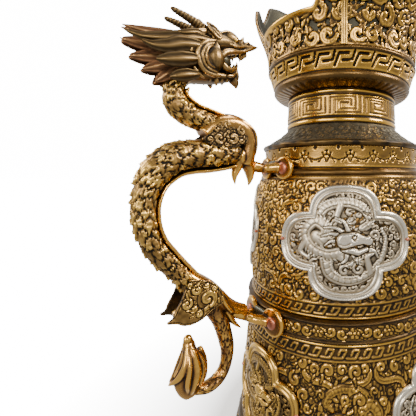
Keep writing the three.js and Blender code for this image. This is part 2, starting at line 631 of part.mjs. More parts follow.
// Where the medallions lie: four on the diagonals above, and three below that leave out the spout's side.
const UPPER_MEDALLIONS = [1, 3, 5, 7].map((eighth) => ({
  angle: (eighth * Math.PI) / 4,
  z: Z_UPPER_BODY + UPPER_BODY_HEIGHT * UPPER_MEDALLION_RISE_SHARE,
  halfWidth: UPPER_MEDALLION_WIDTH / 2,
  halfHeight: UPPER_BODY_HEIGHT / 2 - UPPER_MEDALLION_MARGIN,
  wallRadius: upperBodyRadius,
}));
const LOWER_MEDALLIONS = [0, 2, 6].map((eighth) => ({
  angle: (eighth * Math.PI) / 4,
  z: Z_LOWER_BODY + LOWER_BODY_HEIGHT * LOWER_MEDALLION_RISE_SHARE,
  halfWidth: LOWER_MEDALLION_WIDTH / 2,
  halfHeight: LOWER_BODY_HEIGHT / 2 - LOWER_MEDALLION_MARGIN,
  wallRadius: lowerBodyRadius,
}));

function buildMedallions() {
  UPPER_MEDALLIONS.forEach((place, i) => {
    add(`upper_medallion_frame_${i + 1}`, medallionFrame(place), "silver");
    add(`upper_medallion_plaque_${i + 1}`, medallionPlaque(place), "silver");
  });
  LOWER_MEDALLIONS.forEach((place, i) => {
    const metal = place.angle === 0 ? "gilt" : "silver";
    add(`lower_medallion_frame_${i + 1}`, medallionFrame(place), metal);
    add(`lower_medallion_plaque_${i + 1}`, medallionPlaque(place), metal);
  });
}

// A point of the handle's plane: shares of its length past the waist ring and of the rise between the forks.
function handlePoint(outShare, upShare, side = 0) {
  return new THREE.Vector3(
    -(WAIST_RING_RADIUS + outShare * HANDLE_LENGTH),
    side,
    blend(Z_LOWER_FORK, Z_UPPER_FORK, upShare),
  );
}

// The dragon's path in [out, up, diameter] shares: its neck, the loop below the hairpin, and the tail.
const NECK_SHARES = [
  [0.75, 1.475, 0.56], [0.795, 1.42, 0.57], [0.79, 1.356, 0.71], [0.734, 1.308, 0.76],
  [0.646, 1.276, 0.745], [0.536, 1.258, 0.74], [0.409, 1.226, 0.78], [0.301, 1.158, 0.6],
];
const LOOP_SHARES = [
  [0.373, 1.055, 0.66], [0.543, 1.069, 1], [0.668, 1.059, 1], [0.799, 1.034, 0.98],
  [0.907, 0.973, 0.91], [0.97, 0.89, 0.74], [0.998, 0.788, 0.64], [0.986, 0.679, 0.6], [0.939, 0.581, 0.59],
  [0.867, 0.503, 0.59], [0.788, 0.431, 0.56], [0.706, 0.357, 0.555], [0.614, 0.271, 0.57],
];
const TAIL_SHARES = [
  [0.511, 0.173, 0.6], [0.434, 0.073, 0.56], [0.4, -0.009, 0.47], [0.373, -0.096, 0.42], [0.373, -0.17, 0.37],
  [0.4, -0.236, 0.38], [0.452, -0.279, 0.44], [0.536, -0.298, 0.47], [0.63, -0.287, 0.34],
  [0.72, -0.263, 0.14],
];
const NECK_STEPS = 11;
const LOOP_STEPS = 19;
const TAIL_STEPS = 13;

// A smooth run of stations through the shares.
function smoothStations(shares, steps) {
  const curve = new THREE.CatmullRomCurve3(shares.map(([out, up]) => handlePoint(out, up)));
  return Array.from({ length: steps + 1 }, (_, i) => {
    const place = (i / steps) * (shares.length - 1);
    const low = Math.min(shares.length - 2, Math.floor(place));
    const half = (blend(shares[low][2], shares[low + 1][2], place - low) * TRUNK_DIAMETER) / 2;
    return { at: curve.getPoint(i / steps), depth: half, width: half * TRUNK_OVAL_SHARE };
  });
}

// The direction square to a station's run, in the handle's plane.
function outwardAt(stations, i) {
  const last = stations.length - 1;
  const along = stations[Math.min(i + 1, last)].at.clone().sub(stations[Math.max(i - 1, 0)].at).normalize();
  return new THREE.Vector3(along.z, 0, -along.x);
}

// A strap that lies along the inner side of a run of stations, on the belly.
function bellyStrap(stations, grow = 0) {
  return loft(stations.map(({ at, depth }, i) => ({
    at: at.clone().addScaledVector(outwardAt(stations, i), -(depth + SEAT_GAP + BELLY_THICKNESS / 2)),
    depth: BELLY_THICKNESS / 2,
    width: BELLY_WIDTH / 2,
  })), 6, grow);
}

// A point of the head: shares of its length forward, its height up and its half width aside.
function headPoint(forward, up, aside = 0) {
  const nape = handlePoint(...NECK_SHARES[0]);
  return new THREE.Vector3(
    nape.x + forward * HEAD_LENGTH,
    (aside * HEAD_WIDTH) / 2,
    nape.z + up * HEAD_HEIGHT,
  );
}

const headLoft = (shares, flip = 1, grow = 0, sides = 8) =>
  loft(shares.map(([forward, up, depth, width, aside = 0]) => ({
    at: headPoint(forward, up, aside * flip),
    depth: (depth * HEAD_HEIGHT) / 2,
    width: (width * HEAD_WIDTH) / 2,
  })), sides, grow);

// The head's parts in [forward, up, depth, width, aside] shares.
const SKULL_SHARES = [
  [-0.02, 0.26, 0.44, 0.66], [0.1, 0.4, 0.66, 0.86], [0.24, 0.54, 0.76, 1], [0.4, 0.6, 0.7, 1],
  [0.52, 0.7, 0.48, 0.84], [0.66, 0.77, 0.32, 0.64], [0.78, 0.83, 0.26, 0.5], [0.87, 0.86, 0.1, 0.2],
];
const JAW_SHARES = [
  [0.16, 0.26, 0.3, 0.7], [0.34, 0.2, 0.34, 0.66], [0.46, 0.17, 0.28, 0.56], [0.56, 0.22, 0.2, 0.42],
  [0.61, 0.35, 0.12, 0.26],
];
const HORN_SHARES = [
  [0.3, 0.84, 0.2, 0.24, 0.35], [0.16, 0.89, 0.16, 0.2, 0.5], [0, 0.95, 0.06, 0.08, 0.7],
];
const EAR_SHARES = [
  [0.26, 0.72, 0.16, 0.16, 0.9], [0.1, 0.78, 0.2, 0.14, 1.1], [-0.08, 0.82, 0.05, 0.06, 1.25],
];
const MANE_BLADE_SHARES = [
  [[0.16, 0.5, 0.4, 0.6], [-0.16, 0.56, 0.26, 0.36], [-0.48, 0.58, 0.05, 0.08]],
  [[0.14, 0.4, 0.4, 0.7], [-0.15, 0.42, 0.24, 0.4], [-0.44, 0.4, 0.05, 0.08]],
  [[0.12, 0.3, 0.4, 0.8], [-0.14, 0.26, 0.24, 0.44], [-0.36, 0.19, 0.05, 0.08]],
  [[0.1, 0.2, 0.4, 0.7], [-0.1, 0.1, 0.24, 0.4], [-0.27, 0.02, 0.05, 0.08]],
];

// A riveted ear that lies on the wall, at an angle from the handle's plane.
function earOn(fork, angle) {
  return rodOn(angle, fork.radius, fork.z, fork.ear, SEAT_GAP, SEAT_GAP + FORK_EAR_THICKNESS, 16);
}

// A round rod square to the wall, between two distances outside it.
function rodOn(angle, radius, z, rodRadius, inner, outer, sides = 10) {
  const rod = new THREE.CylinderGeometry(rodRadius, rodRadius, outer - inner, sides);
  rod.rotateZ(Math.PI / 2);
  rod.rotateZ(angle);
  const centre = around(angle, radius + (inner + outer) / 2, z);
  rod.translate(centre.x, centre.y, centre.z);
  return solidOf(rod);
}

// Where each fork is riveted on, and the root of its arm in handle shares
const PRONG_SPREAD_SHARE = 0.45;
const FORK_ROOT_SHARES = { upper: [0.27, 1.1], lower: [0.27, 0.12] };
const FORKS = {
  upper: { z: Z_UPPER_FORK, radius: COLLAR_MOULDING_RADIUS, ear: UPPER_EAR_RADIUS, spread: UPPER_EAR_SPREAD },
  lower: {
    z: Z_LOWER_FORK,
    radius: WAIST_RING_RADIUS + WAIST_BEAD_DEPTH,
    ear: LOWER_EAR_RADIUS,
    spread: LOWER_EAR_SPREAD,
  },
};
const earAngles = ({ radius, spread }) => [-1, 1].map((side) => side * Math.asin(spread / radius));
const rivetReach = CUT_OVERRUN + WALL * 2;

function rivetHoles(fork) {
  return earAngles(fork).map((angle) =>
    rodOn(angle, fork.radius, fork.z, RIVET_SHANK_RADIUS + RIVET_FIT, -rivetReach, rivetReach));
}

// Room for the rivets' heads over the ears.
function rivetSeats(fork) {
  const seat = SEAT_GAP + FORK_EAR_THICKNESS;
  const top = seat + RIVET_HEAD_HEIGHT + CUT_OVERRUN;
  return earAngles(fork).map((angle) =>
    rodOn(angle, fork.radius, fork.z, RIVET_HEAD_RADIUS + SEAT_GAP, seat, top));
}

// A copper rivet: a shank through ear and wall with a flat head outside.
function rivet(fork, angle) {
  const seat = 2 * SEAT_GAP + FORK_EAR_THICKNESS;
  const top = seat + RIVET_HEAD_HEIGHT;
  const shank = rodOn(angle, fork.radius, fork.z, RIVET_SHANK_RADIUS, -WALL * 2, top - RIVET_HEAD_HEIGHT / 2);
  const head = rodOn(angle, fork.radius, fork.z, RIVET_HEAD_RADIUS, seat, top);
  return join([shank, head]);
}

// The two prongs that spread from the arm's root to the ears.
function prongs(fork, [outShare, upShare], grow = 0) {
  const root = handlePoint(outShare, upShare);
  return join(earAngles(fork).map((angle) => {
    const outerFace = SEAT_GAP + FORK_EAR_THICKNESS / 2;
    const ear = around(angle * PRONG_SPREAD_SHARE, fork.radius + outerFace, fork.z);
    const bend = around(angle * PRONG_SPREAD_SHARE, fork.radius + outerFace + FORK_ARM_DEPTH, fork.z);
    return loft([
      { at: root, depth: FORK_ARM_DEPTH / 2, width: FORK_ARM_WIDTH / 2 },
      { at: root.clone().lerp(bend, 0.55), depth: FORK_ARM_DEPTH / 2, width: FORK_ARM_WIDTH / 2 },
      { at: ear, depth: fork.ear * 0.6, width: FORK_EAR_THICKNESS / 2 },
    ], 8, grow);
  }));
}

// A fork with its ears, drilled for the rivets and clear of the wall.
function fork(place, rootShares, tools) {
  const wallRoom = turned([
    [0, place.z - place.ear - CUT_OVERRUN],
    [place.radius + SEAT_GAP, place.z - place.ear - CUT_OVERRUN],
    [place.radius + SEAT_GAP, place.z + place.ear + CUT_OVERRUN],
    [0, place.z + place.ear + CUT_OVERRUN],
  ]);
  const ears = earAngles(place).map((angle) => earOn(place, angle));
  const rooms = [wallRoom, ...rivetHoles(place), ...rivetSeats(place), ...tools];
  return largest(cut(join([prongs(place, rootShares), ...ears]), rooms));
}

// Leaf outlines in [out, up] shares of the handle.
const UPPER_LEAF_SHARES = [
  [0.56, 1.16], [0.49, 1.2], [0.42, 1.24], [0.3, 1.27], [0.2, 1.23], [0.15, 1.14], [0.13, 1.06],
  [0.13, 0.98], [0.155, 0.88], [0.2, 0.93], [0.235, 0.97], [0.3, 0.89], [0.34, 0.98], [0.4, 1.06],
];
const LOWER_LEAF_SHARES = [
  [0.705, 0.39], [0.6, 0.385], [0.52, 0.34], [0.41, 0.22], [0.245, 0.135], [0.3, 0.04], [0.4, 0.05],
  [0.56, 0.09], [0.64, 0.11], [0.7, 0.08], [0.83, 0.145], [0.755, 0.25], [0.875, 0.28], [0.8, 0.36],
];
const TAIL_LEAF_SHARES = [
  [0.73, -0.25], [0.81, -0.14], [0.775, -0.06], [0.73, 0.02], [0.7, 0.05], [0.66, 0.045], [0.59, -0.05],
  [0.56, -0.14], [0.55, -0.22], [0.62, -0.26],
];
const leafPlate = (shares, thickness, y = 0) =>
  plate(shares.map(([out, up]) => handlePoint(out, up)).map(({ x, z }) => [x, z]), thickness, y);

// A clasp: a leaf-shaped casting that grips the dragon's runs.
function clasp(shares, tools) {
  return largest(cut(leafPlate(shares, CLASP_WIDTH), tools));
}

function buildHandle() {
  const neck = smoothStations(NECK_SHARES, NECK_STEPS);
  const loop = smoothStations(LOOP_SHARES, LOOP_STEPS);
  const tail = smoothStations(TAIL_SHARES, TAIL_STEPS);
  const [neckRoom, loopRoom, tailRoom] = [neck, loop, tail].map((run) => loft(run, 8, SEAT_GAP));
  const bellyRuns = [neck.slice(1, -2), loop.slice(2, -2)];
  const bellyRooms = bellyRuns.map((run) => bellyStrap(run, SEAT_GAP));

  add("dragon_neck", loft(neck), "worn");
  add("dragon_loop", largest(cut(loft(loop), [neckRoom])), "worn");
  ["neck_belly_strap", "loop_belly_strap"].forEach((name, i) => add(name, bellyStrap(bellyRuns[i]), "gilt"));
  add("dragon_tail", loft(tail), "worn");

  const upperArm = prongs(FORKS.upper, FORK_ROOT_SHARES.upper, SEAT_GAP);
  const lowerArm = prongs(FORKS.lower, FORK_ROOT_SHARES.lower, SEAT_GAP);
  add("upper_fork", fork(FORKS.upper, FORK_ROOT_SHARES.upper, [neckRoom, loopRoom]), "worn");
  add("lower_fork", fork(FORKS.lower, FORK_ROOT_SHARES.lower, [tailRoom]), "worn");
  add("upper_clasp", clasp(UPPER_LEAF_SHARES, [neckRoom, loopRoom, upperArm, ...bellyRooms]), "worn");
  add("lower_clasp", clasp(LOWER_LEAF_SHARES, [loopRoom, tailRoom, lowerArm, ...bellyRooms]), "worn");
  const tailLeaf = cut(leafPlate(TAIL_LEAF_SHARES, LEAF_THICKNESS), [tailRoom]);
  add("tail_leaf", largest(tailLeaf), "gilt");
  ["upper", "lower"].forEach((end) => earAngles(FORKS[end]).forEach((angle, i) => {
    add(`${end}_fork_rivet_${i + 1}`, rivet(FORKS[end], angle), "copper");
  }));

  const skull = headLoft(SKULL_SHARES);
  const skullRoom = headLoft(SKULL_SHARES, 1, SEAT_GAP);
  const jaw = cut(headLoft(JAW_SHARES), [skullRoom, neckRoom]);
  const jawRoom = headLoft(JAW_SHARES, 1, SEAT_GAP);
  add("dragon_head", largest(cut(skull, [neckRoom])), "worn");
  add("dragon_jaw", largest(jaw), "worn");
  [["left", -1], ["right", 1]].forEach(([side, flip]) => {
    add(`horn_${side}`, largest(cut(headLoft(HORN_SHARES, flip, 0, 6), [skullRoom])), "gilt");
    add(`ear_${side}`, largest(cut(headLoft(EAR_SHARES, flip, 0, 6), [skullRoom])), "worn");
  });
  const earRooms = [-1, 1].map((flip) => headLoft(EAR_SHARES, flip, SEAT_GAP, 6));
  const hornRooms = [-1, 1].map((flip) => headLoft(HORN_SHARES, flip, SEAT_GAP, 6));
  const blades = join(MANE_BLADE_SHARES.map((shares) => headLoft(shares, 1, 0, 6)));
  add("mane", largest(cut(blades, [skullRoom, neckRoom, jawRoom, ...earRooms, ...hornRooms])), "worn");
}

// The spout's path in [out, up] shares, from the wall to the tip.
const SPOUT_SHARES = [
  [0, 0], [0.3, 0.01], [0.52, 0.08], [0.68, 0.22], [0.75, 0.42], [0.79, 0.62], [0.86, 0.82], [1.02, 1],
];
const SPOUT_STEPS = 14;
const SPOUT_SIDES = 10;

function spoutStations(grow) {
  const wall = lowerBodyRadius(SPOUT_ROOT_HEIGHT);
  const curve = new THREE.CatmullRomCurve3(SPOUT_SHARES.map(([out, up]) =>
    new THREE.Vector3(wall + out * SPOUT_LENGTH, 0, blend(SPOUT_ROOT_HEIGHT, SPOUT_TIP_HEIGHT, up))));
  return Array.from({ length: SPOUT_STEPS + 1 }, (_, i) => {
    const half = blend(SPOUT_ROOT_RADIUS, SPOUT_TIP_RADIUS, i / SPOUT_STEPS) + grow;
    return { at: curve.getPoint(i / SPOUT_STEPS), depth: half, width: half };
  });
}

// Stations with one more at each end, so that a cut passes right through.
function overrun(stations) {
  const last = stations.length - 1;
  const beyond = (end, next) => ({
    ...end,
    at: end.at.clone().addScaledVector(end.at.clone().sub(next.at).normalize(), CUT_OVERRUN),
  });
  return [beyond(stations[0], stations[1]), ...stations, beyond(stations[last], stations[last - 1])];
}

// The mask's outline round the spout in [share of its length, half height, half width] shares of its radius.
const MASK_SHARES = [
  [-0.2, 1, 1.05], [0.1, 1.05, 1.1], [0.35, 0.95, 0.95], [0.6, 0.8, 0.78], [0.85, 0.82, 0.72],
  [1, 0.74, 0.66],
];
const MASK_CURL_SHARES = [
  [0.4, 0.75, 0.4, 0.5], [0.75, 1, 0.34, 0.4], [0.98, 1.3, 0.2, 0.3], [1, 1.6, 0.08, 0.12],
];
const MASK_EAR_SHARES = [
  [0.2, 0.7, 0.34, 0.3, 0.7], [0.02, 1.1, 0.3, 0.24, 0.95], [0, 1.5, 0.08, 0.1, 1.1],
];

// The beast mask as one solid, with its brow curl and ears, before it is fitted to wall and spout.
function beastMask(grow = 0, ends = (stations) => stations) {
  const wall = lowerBodyRadius(SPOUT_ROOT_HEIGHT);
  const maskPoint = (along, up, aside = 0) => new THREE.Vector3(
    wall + along * MASK_LENGTH, aside * MASK_RADIUS, SPOUT_ROOT_HEIGHT + up * MASK_RADIUS,
  );
  const horn = (shares, flip = 1) => loft(ends(shares.map(([along, up, depth, width, aside = 0]) => ({
    at: maskPoint(along, up, aside * flip), depth: depth * MASK_RADIUS, width: width * MASK_RADIUS,
  }))), 6, grow);
  const bulk = loft(ends(MASK_SHARES.map(([along, depth, width]) => ({
    at: maskPoint(along, 0), depth: depth * MASK_RADIUS, width: width * MASK_RADIUS,
  }))), SPOUT_SIDES, grow);
  const ears = [-1, 1].map((flip) => horn(MASK_EAR_SHARES, flip));
  return join([bulk, horn(MASK_CURL_SHARES), ...ears]);
}

function buildSpout() {
  const wallRoom = turned([
    [0, Z_LOWER_BODY],
    ...wallLine(LOWER_BODY).map(([radius, z]) => [radius + SEAT_GAP, z]),
    [0, Z_WAIST],
  ]);
  const tube = spoutStations(0);
  const tubeRoom = loft(overrun(spoutStations(SEAT_GAP)), SPOUT_SIDES);
  const bore = loft(overrun(spoutStations(-SPOUT_WALL)), SPOUT_SIDES);
  add("spout_mask", largest(cut(beastMask(), [wallRoom, tubeRoom])), "gilt");
  add("spout_tube", cut(loft(tube, SPOUT_SIDES), [bore, wallRoom]), "gilt");
  const lipSize = { depth: SPOUT_LIP_RADIUS, width: SPOUT_LIP_RADIUS };
  const tip = tube.slice(-2).map((station) => ({ ...station, ...lipSize }));
  const back = tip[1].at.clone().sub(tip[0].at).normalize();
  tip[0].at = tip[1].at.clone().addScaledVector(back, -SPOUT_LIP_HEIGHT);
  add("spout_lip", cut(loft(tip, SPOUT_SIDES), [tubeRoom]), "gilt");
}

function buildLid() {
  const plugRadius = NECK_TOP_RADIUS - WALL - LID_FIT;
  const seat = Z_LID_SEAT;
  const edge = seat + LID_EDGE_HEIGHT;
  const top = edge + LID_RISE;
  add("lid", turned([
    [0, seat - LID_PLUG_DEPTH + WALL],
    [plugRadius - WALL, seat - LID_PLUG_DEPTH + WALL],
    [plugRadius - WALL, seat - LID_PLUG_DEPTH],
    [plugRadius, seat - LID_PLUG_DEPTH],
    [plugRadius, seat],
    [LID_RADIUS, seat],
    [LID_RADIUS, edge],
    [LID_RADIUS * 0.7, blend(edge, top, 0.5)],
    [LID_RADIUS * 0.35, blend(edge, top, 0.85)],
    [FINIAL_RADIUS, top],
    [0, top],
  ]), "gilt");
  add("lid_finial", turned([
    [0, top],
    [FINIAL_RADIUS * 0.8, top],
    [FINIAL_RADIUS * 0.5, top + FINIAL_HEIGHT * 0.2],
    [FINIAL_RADIUS, top + FINIAL_HEIGHT * 0.45],
    [FINIAL_RADIUS * 0.7, top + FINIAL_HEIGHT * 0.75],
    [0, top + FINIAL_HEIGHT],
  ], TURN_SEGMENTS / 2), "gilt");
}

buildVessel();
buildCrown();
buildMedallions();
buildHandle();
buildSpout();
buildLid();

export default model;
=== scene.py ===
"""Dresses the ewer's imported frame: hammered relief shells, pierced silver, a scaled dragon and soft studio light."""
import logging
import math
from dataclasses import dataclass, field
from enum import Enum
from typing import Any, Callable, Iterable, Sequence

import bmesh
import bpy
import numpy as np
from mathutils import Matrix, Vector


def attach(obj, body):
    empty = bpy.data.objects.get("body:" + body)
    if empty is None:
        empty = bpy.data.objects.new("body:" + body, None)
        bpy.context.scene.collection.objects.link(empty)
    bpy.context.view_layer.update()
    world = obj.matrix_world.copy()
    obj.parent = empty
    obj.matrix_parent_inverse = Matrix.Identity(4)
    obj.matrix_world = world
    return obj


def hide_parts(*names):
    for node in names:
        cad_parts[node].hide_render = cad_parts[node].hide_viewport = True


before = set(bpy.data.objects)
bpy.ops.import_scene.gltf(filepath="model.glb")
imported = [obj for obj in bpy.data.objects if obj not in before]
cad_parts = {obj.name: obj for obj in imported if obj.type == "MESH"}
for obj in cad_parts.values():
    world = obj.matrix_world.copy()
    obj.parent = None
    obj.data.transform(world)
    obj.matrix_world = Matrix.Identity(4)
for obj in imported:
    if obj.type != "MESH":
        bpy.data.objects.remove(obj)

LOG = logging.getLogger("ewer")
MM = 0.001
VESSEL = "vessel"
LID = "lid"
TINY = 1e-9
ASIDE = np.array([0.0, 1.0, 0.0])
Colour = tuple[float, float, float]
Line = Sequence[Sequence[float]]
Shape = tuple[np.ndarray, np.ndarray, np.ndarray]
Place = Callable[[np.ndarray, np.ndarray, np.ndarray], np.ndarray]
Clear = Callable[[float, float], bool]


# Shader maths


class Sock:
    """A shader socket or a number that reads like one in sums."""

    def __init__(self, shader: "Shader", socket: Any) -> None:
        """Keeps the shader that owns the socket."""
        self.shader = shader
        self.socket = socket

    def _sum(self, operation: str, first: Any, second: Any) -> "Sock":
        """One Math node on two values."""
        return self.shader.node("ShaderNodeMath", {"operation": operation}, {0: first, 1: second})

    def __add__(self, other: Any) -> "Sock":
        """Adds."""
        return self._sum("ADD", self, other)

    __radd__ = __add__

    def __sub__(self, other: Any) -> "Sock":
        """Takes away."""
        return self._sum("SUBTRACT", self, other)

    def __rsub__(self, other: Any) -> "Sock":
        """Takes this from the other."""
        return self._sum("SUBTRACT", other, self)

    def __mul__(self, other: Any) -> "Sock":
        """Multiplies."""
        return self._sum("MULTIPLY", self, other)

    __rmul__ = __mul__

    def __pow__(self, other: Any) -> "Sock":
        """Raises to a power."""
        return self._sum("POWER", self, other)

    def clamp(self) -> "Sock":
        """Keeps the value between 0 and 1."""
        return self.shader.node("ShaderNodeClamp", {}, {"Value": self})


class Shader:
    """A material that is built node by node."""

    def __init__(self, name: str) -> None:
        """Starts an empty material with its output.

        Args:
            name: The material's name.
        """
        self.material = bpy.data.materials.new(name)
        self.material.use_nodes = True
        self.tree = self.material.node_tree
        self.tree.nodes.clear()
        self.output = self.tree.nodes.new("ShaderNodeOutputMaterial")
        self.coords = self.node("ShaderNodeTexCoord", output="Object")

    @classmethod
    def on(cls, tree: Any) -> "Shader":
        """Works on a node tree that isn't a material's, emptied first.

        Args:
            tree: The node tree.

        Returns:
            Its shader.
        """
        shader = cls.__new__(cls)
        shader.tree = tree
        tree.nodes.clear()
        return shader

    def node(
        self, kind: str, settings: dict[str, Any] | None = None, inputs: dict[Any, Any] | None = None, output: Any = 0,
    ) -> Sock:
        """Adds a node.

        Args:
            kind: The node's type.
            settings: Properties set before the inputs.
            inputs: Values or sockets by input name or index.
            output: The output's name or index.

        Returns:
            The output as a socket.
        """
        made = self.tree.nodes.new(kind)
        for key, value in (settings or {}).items():
            setattr(made, key, value)
        for key, value in (inputs or {}).items():
            if isinstance(value, Sock):
                self.tree.links.new(value.socket, made.inputs[key])
            else:
                made.inputs[key].default_value = value
        return Sock(self, made.outputs[output])

    def mix(self, share: Any, first: Any, second: Any) -> Sock:
        """Mixes two colours.

        Args:
            share: How much of the second.
            first: A colour or socket.
            second: A colour or socket.

        Returns:
            The mixed colour.
        """
        paint = [value if isinstance(value, Sock) else (*value, 1.0) for value in (first, second)]
        return self.node("ShaderNodeMix", {"data_type": "RGBA"}, {0: share, 6: paint[0], 7: paint[1]}, output=2)

    def noise(self, scale: float, detail: float = 3.0, rough: float = 0.55, seed: float = 0.0) -> Sock:
        """A soft noise from 0 to 1 on object coordinates.

        Args:
            scale: Cells to the metre.
            detail: Octaves.
            rough: How strong the finer octaves are.
            seed: Which of many patterns.

        Returns:
            The noise value.
        """
        inputs = {"Vector": self.coords, "W": seed, "Scale": scale, "Detail": detail, "Roughness": rough}
        return self.node("ShaderNodeTexNoise", {"noise_dimensions": "4D"}, inputs)

    def attribute(self, name: str) -> Sock:
        """A value that the mesh carries."""
        return self.node("ShaderNodeAttribute", {"attribute_name": name}, output="Fac")

    def finish(self, inputs: dict[str, Any]) -> bpy.types.Material:
        """Closes the material with a Principled surface.

        Args:
            inputs: The surface's values or sockets.

        Returns:
            The material.
        """
        surface = self.node("ShaderNodeBsdfPrincipled", {}, inputs)
        self.tree.links.new(surface.socket, self.output.inputs["Surface"])
        return self.material


@dataclass(frozen=True)
class Patina:
    """An old metal skin: dark patina in its hollows and rubbed crests, with painted shade in the hollows and a painted
    highlight on the crests.

    Args:
        name: The material's name.
        hollow: The colour deep in the relief: dark patina, and the painted shade there.
        skin: The colour of the mass.
        crest: The colour of the rubbed high places, which is also their painted highlight.
        bloom: The colour of patches of dust and tarnish.
        bloom_share: How much of the surface the patches take.
        rough: The roughness of the mass.
        metallic: How metallic the skin is.
        grain: The strength of the fine hammer grain.
    """

    name: str
    hollow: Colour
    skin: Colour
    crest: Colour
    bloom: Colour
    bloom_share: float = 0.3
    rough: float = 0.42
    metallic: float = 0.98
    grain: float = 0.25

    def material(self) -> bpy.types.Material:
        """Builds the material.

        Returns:
            The material, which reads the mesh's relief attribute.
        """
        shader = Shader(self.name)
        relief = shader.attribute("relief")
        broad = shader.noise(14.0, 4.0, 0.6, 1.0)
        fine = shader.noise(160.0, 3.0, 0.6, 2.0)
        tiny = shader.noise(900.0, 2.0, 0.5, 3.0)
        # Painted shade and highlight: the relief value, low in hollows and high on crests, mixes the hollow, skin and
        # crest colours.
        lift = (relief + (fine - 0.5) * 0.24 + (broad - 0.5) * 0.34).clamp()
        low = shader.mix(((lift - 0.08) * 2.3).clamp(), self.hollow, self.skin)
        high = shader.mix(((lift - 0.48) * 2.3).clamp() ** 1.3, low, self.crest)
        patch = ((broad * 0.6 + fine * 0.4 - (0.68 - self.bloom_share * 0.4)) * 5.0).clamp()
        colour = shader.mix(patch * 0.55, high, self.bloom)
        rough = (self.rough + (0.5 - lift) * 0.3 + (tiny - 0.5) * 0.16 + patch * 0.18).clamp()
        bump = shader.node(
            "ShaderNodeBump", {}, {"Strength": self.grain, "Distance": 0.0004, "Height": fine * 0.6 + tiny * 0.4},
        )
        # Less metallic in the deepest hollows, so that their painted shade shows.
        metallic = (self.metallic - patch * 0.12 - (1.0 - (lift * 3.0).clamp()) * 0.3).clamp()
        return shader.finish({"Base Color": colour, "Metallic": metallic, "Roughness": rough, "Normal": bump})


class Finish(Enum):
    """The finishes of the ewer's parts."""

    GROUND = Patina(
        "chased_ground", (0.012, 0.007, 0.0025), (0.215, 0.122, 0.040), (0.84, 0.47, 0.075), (0.095, 0.054, 0.020),
        bloom_share=0.25, rough=0.31,
    )
    GILT = Patina(
        "bright_gilding", (0.014, 0.008, 0.003), (0.29, 0.175, 0.057), (0.88, 0.52, 0.095), (0.14, 0.084, 0.028),
        bloom_share=0.2, rough=0.29,
    )
    SCALE = Patina(
        "dragon_skin", (0.008, 0.005, 0.002), (0.37, 0.215, 0.066), (1.0, 0.63, 0.14), (0.12, 0.084, 0.040),
        bloom_share=0.35, rough=0.35,
    )
    HIDE = Patina(
        "head_gilding", (0.012, 0.007, 0.003), (0.12, 0.078, 0.034), (0.42, 0.26, 0.095), (0.085, 0.066, 0.040),
        bloom_share=0.4, rough=0.42,
    )
    BELLY = Patina(
        "belly_gilding", (0.025, 0.011, 0.004), (0.36, 0.185, 0.060), (0.90, 0.50, 0.10), (0.17, 0.09, 0.038),
        bloom_share=0.12, rough=0.28,
    )
    SILVER = Patina(
        "silvered_relief", (0.020, 0.014, 0.008), (0.48, 0.39, 0.265), (0.90, 0.82, 0.67), (0.30, 0.235, 0.155),
        bloom_share=0.25, rough=0.38,
    )
    DARK = Patina(
        "dark_sheet", (0.040, 0.034, 0.022), (0.25, 0.215, 0.145), (0.42, 0.37, 0.26), (0.26, 0.22, 0.15),
        bloom_share=0.35, rough=0.44,
    )
    # A dark sheet finish that paints shade: the crown's liner behind the openwork, the dragon's throat and the forks'
    # saddles.
    LINER = Patina(
        "liner_sheet", (0.012, 0.011, 0.008), (0.060, 0.056, 0.040), (0.13, 0.124, 0.092), (0.09, 0.086, 0.064),
        bloom_share=0.35, rough=0.48,
    )
    COPPER = Patina(
        "rivet_copper", (0.12, 0.036, 0.022), (0.48, 0.165, 0.10), (0.76, 0.33, 0.21), (0.26, 0.11, 0.075),
        bloom_share=0.25, rough=0.38,
    )
    MANE = Patina(
        "mane_copper", (0.016, 0.008, 0.004), (0.25, 0.120, 0.055), (0.62, 0.35, 0.15), (0.11, 0.064, 0.040),
        bloom_share=0.35, rough=0.38,
    )


class Paint:
    """Makes each finish's material once."""

    made: dict[Finish, bpy.types.Material] = {}

    @classmethod
    def of(cls, finish: Finish) -> bpy.types.Material:
        """The finish's material.

        Args:
            finish: The finish.

        Returns:
            The material, made once.
        """
        if finish not in cls.made:
            cls.made[finish] = finish.value.material()
        return cls.made[finish]


# Relief


def _softened(values: np.ndarray, reach: int, wrap: bool) -> np.ndarray:
    """A box blur.

    Args:
        values: The height field.
        reach: Cells to each side.
        wrap: Whether the columns close on themselves.

    Returns:
        The blurred field.
    """
    total = np.zeros_like(values)
    for shift in range(-reach, reach + 1):
        if wrap:
            total += np.roll(values, shift, axis=1)
        else:
            columns = np.clip(np.arange(values.shape[1]) + shift, 0, values.shape[1] - 1)
            total += values[:, columns]
    side = total / (2 * reach + 1)
    total = np.zeros_like(values)
    for shift in range(-reach, reach + 1):
        rows = np.clip(np.arange(values.shape[0]) + shift, 0, values.shape[0] - 1)
        total += side[rows]
    return total / (2 * reach + 1)


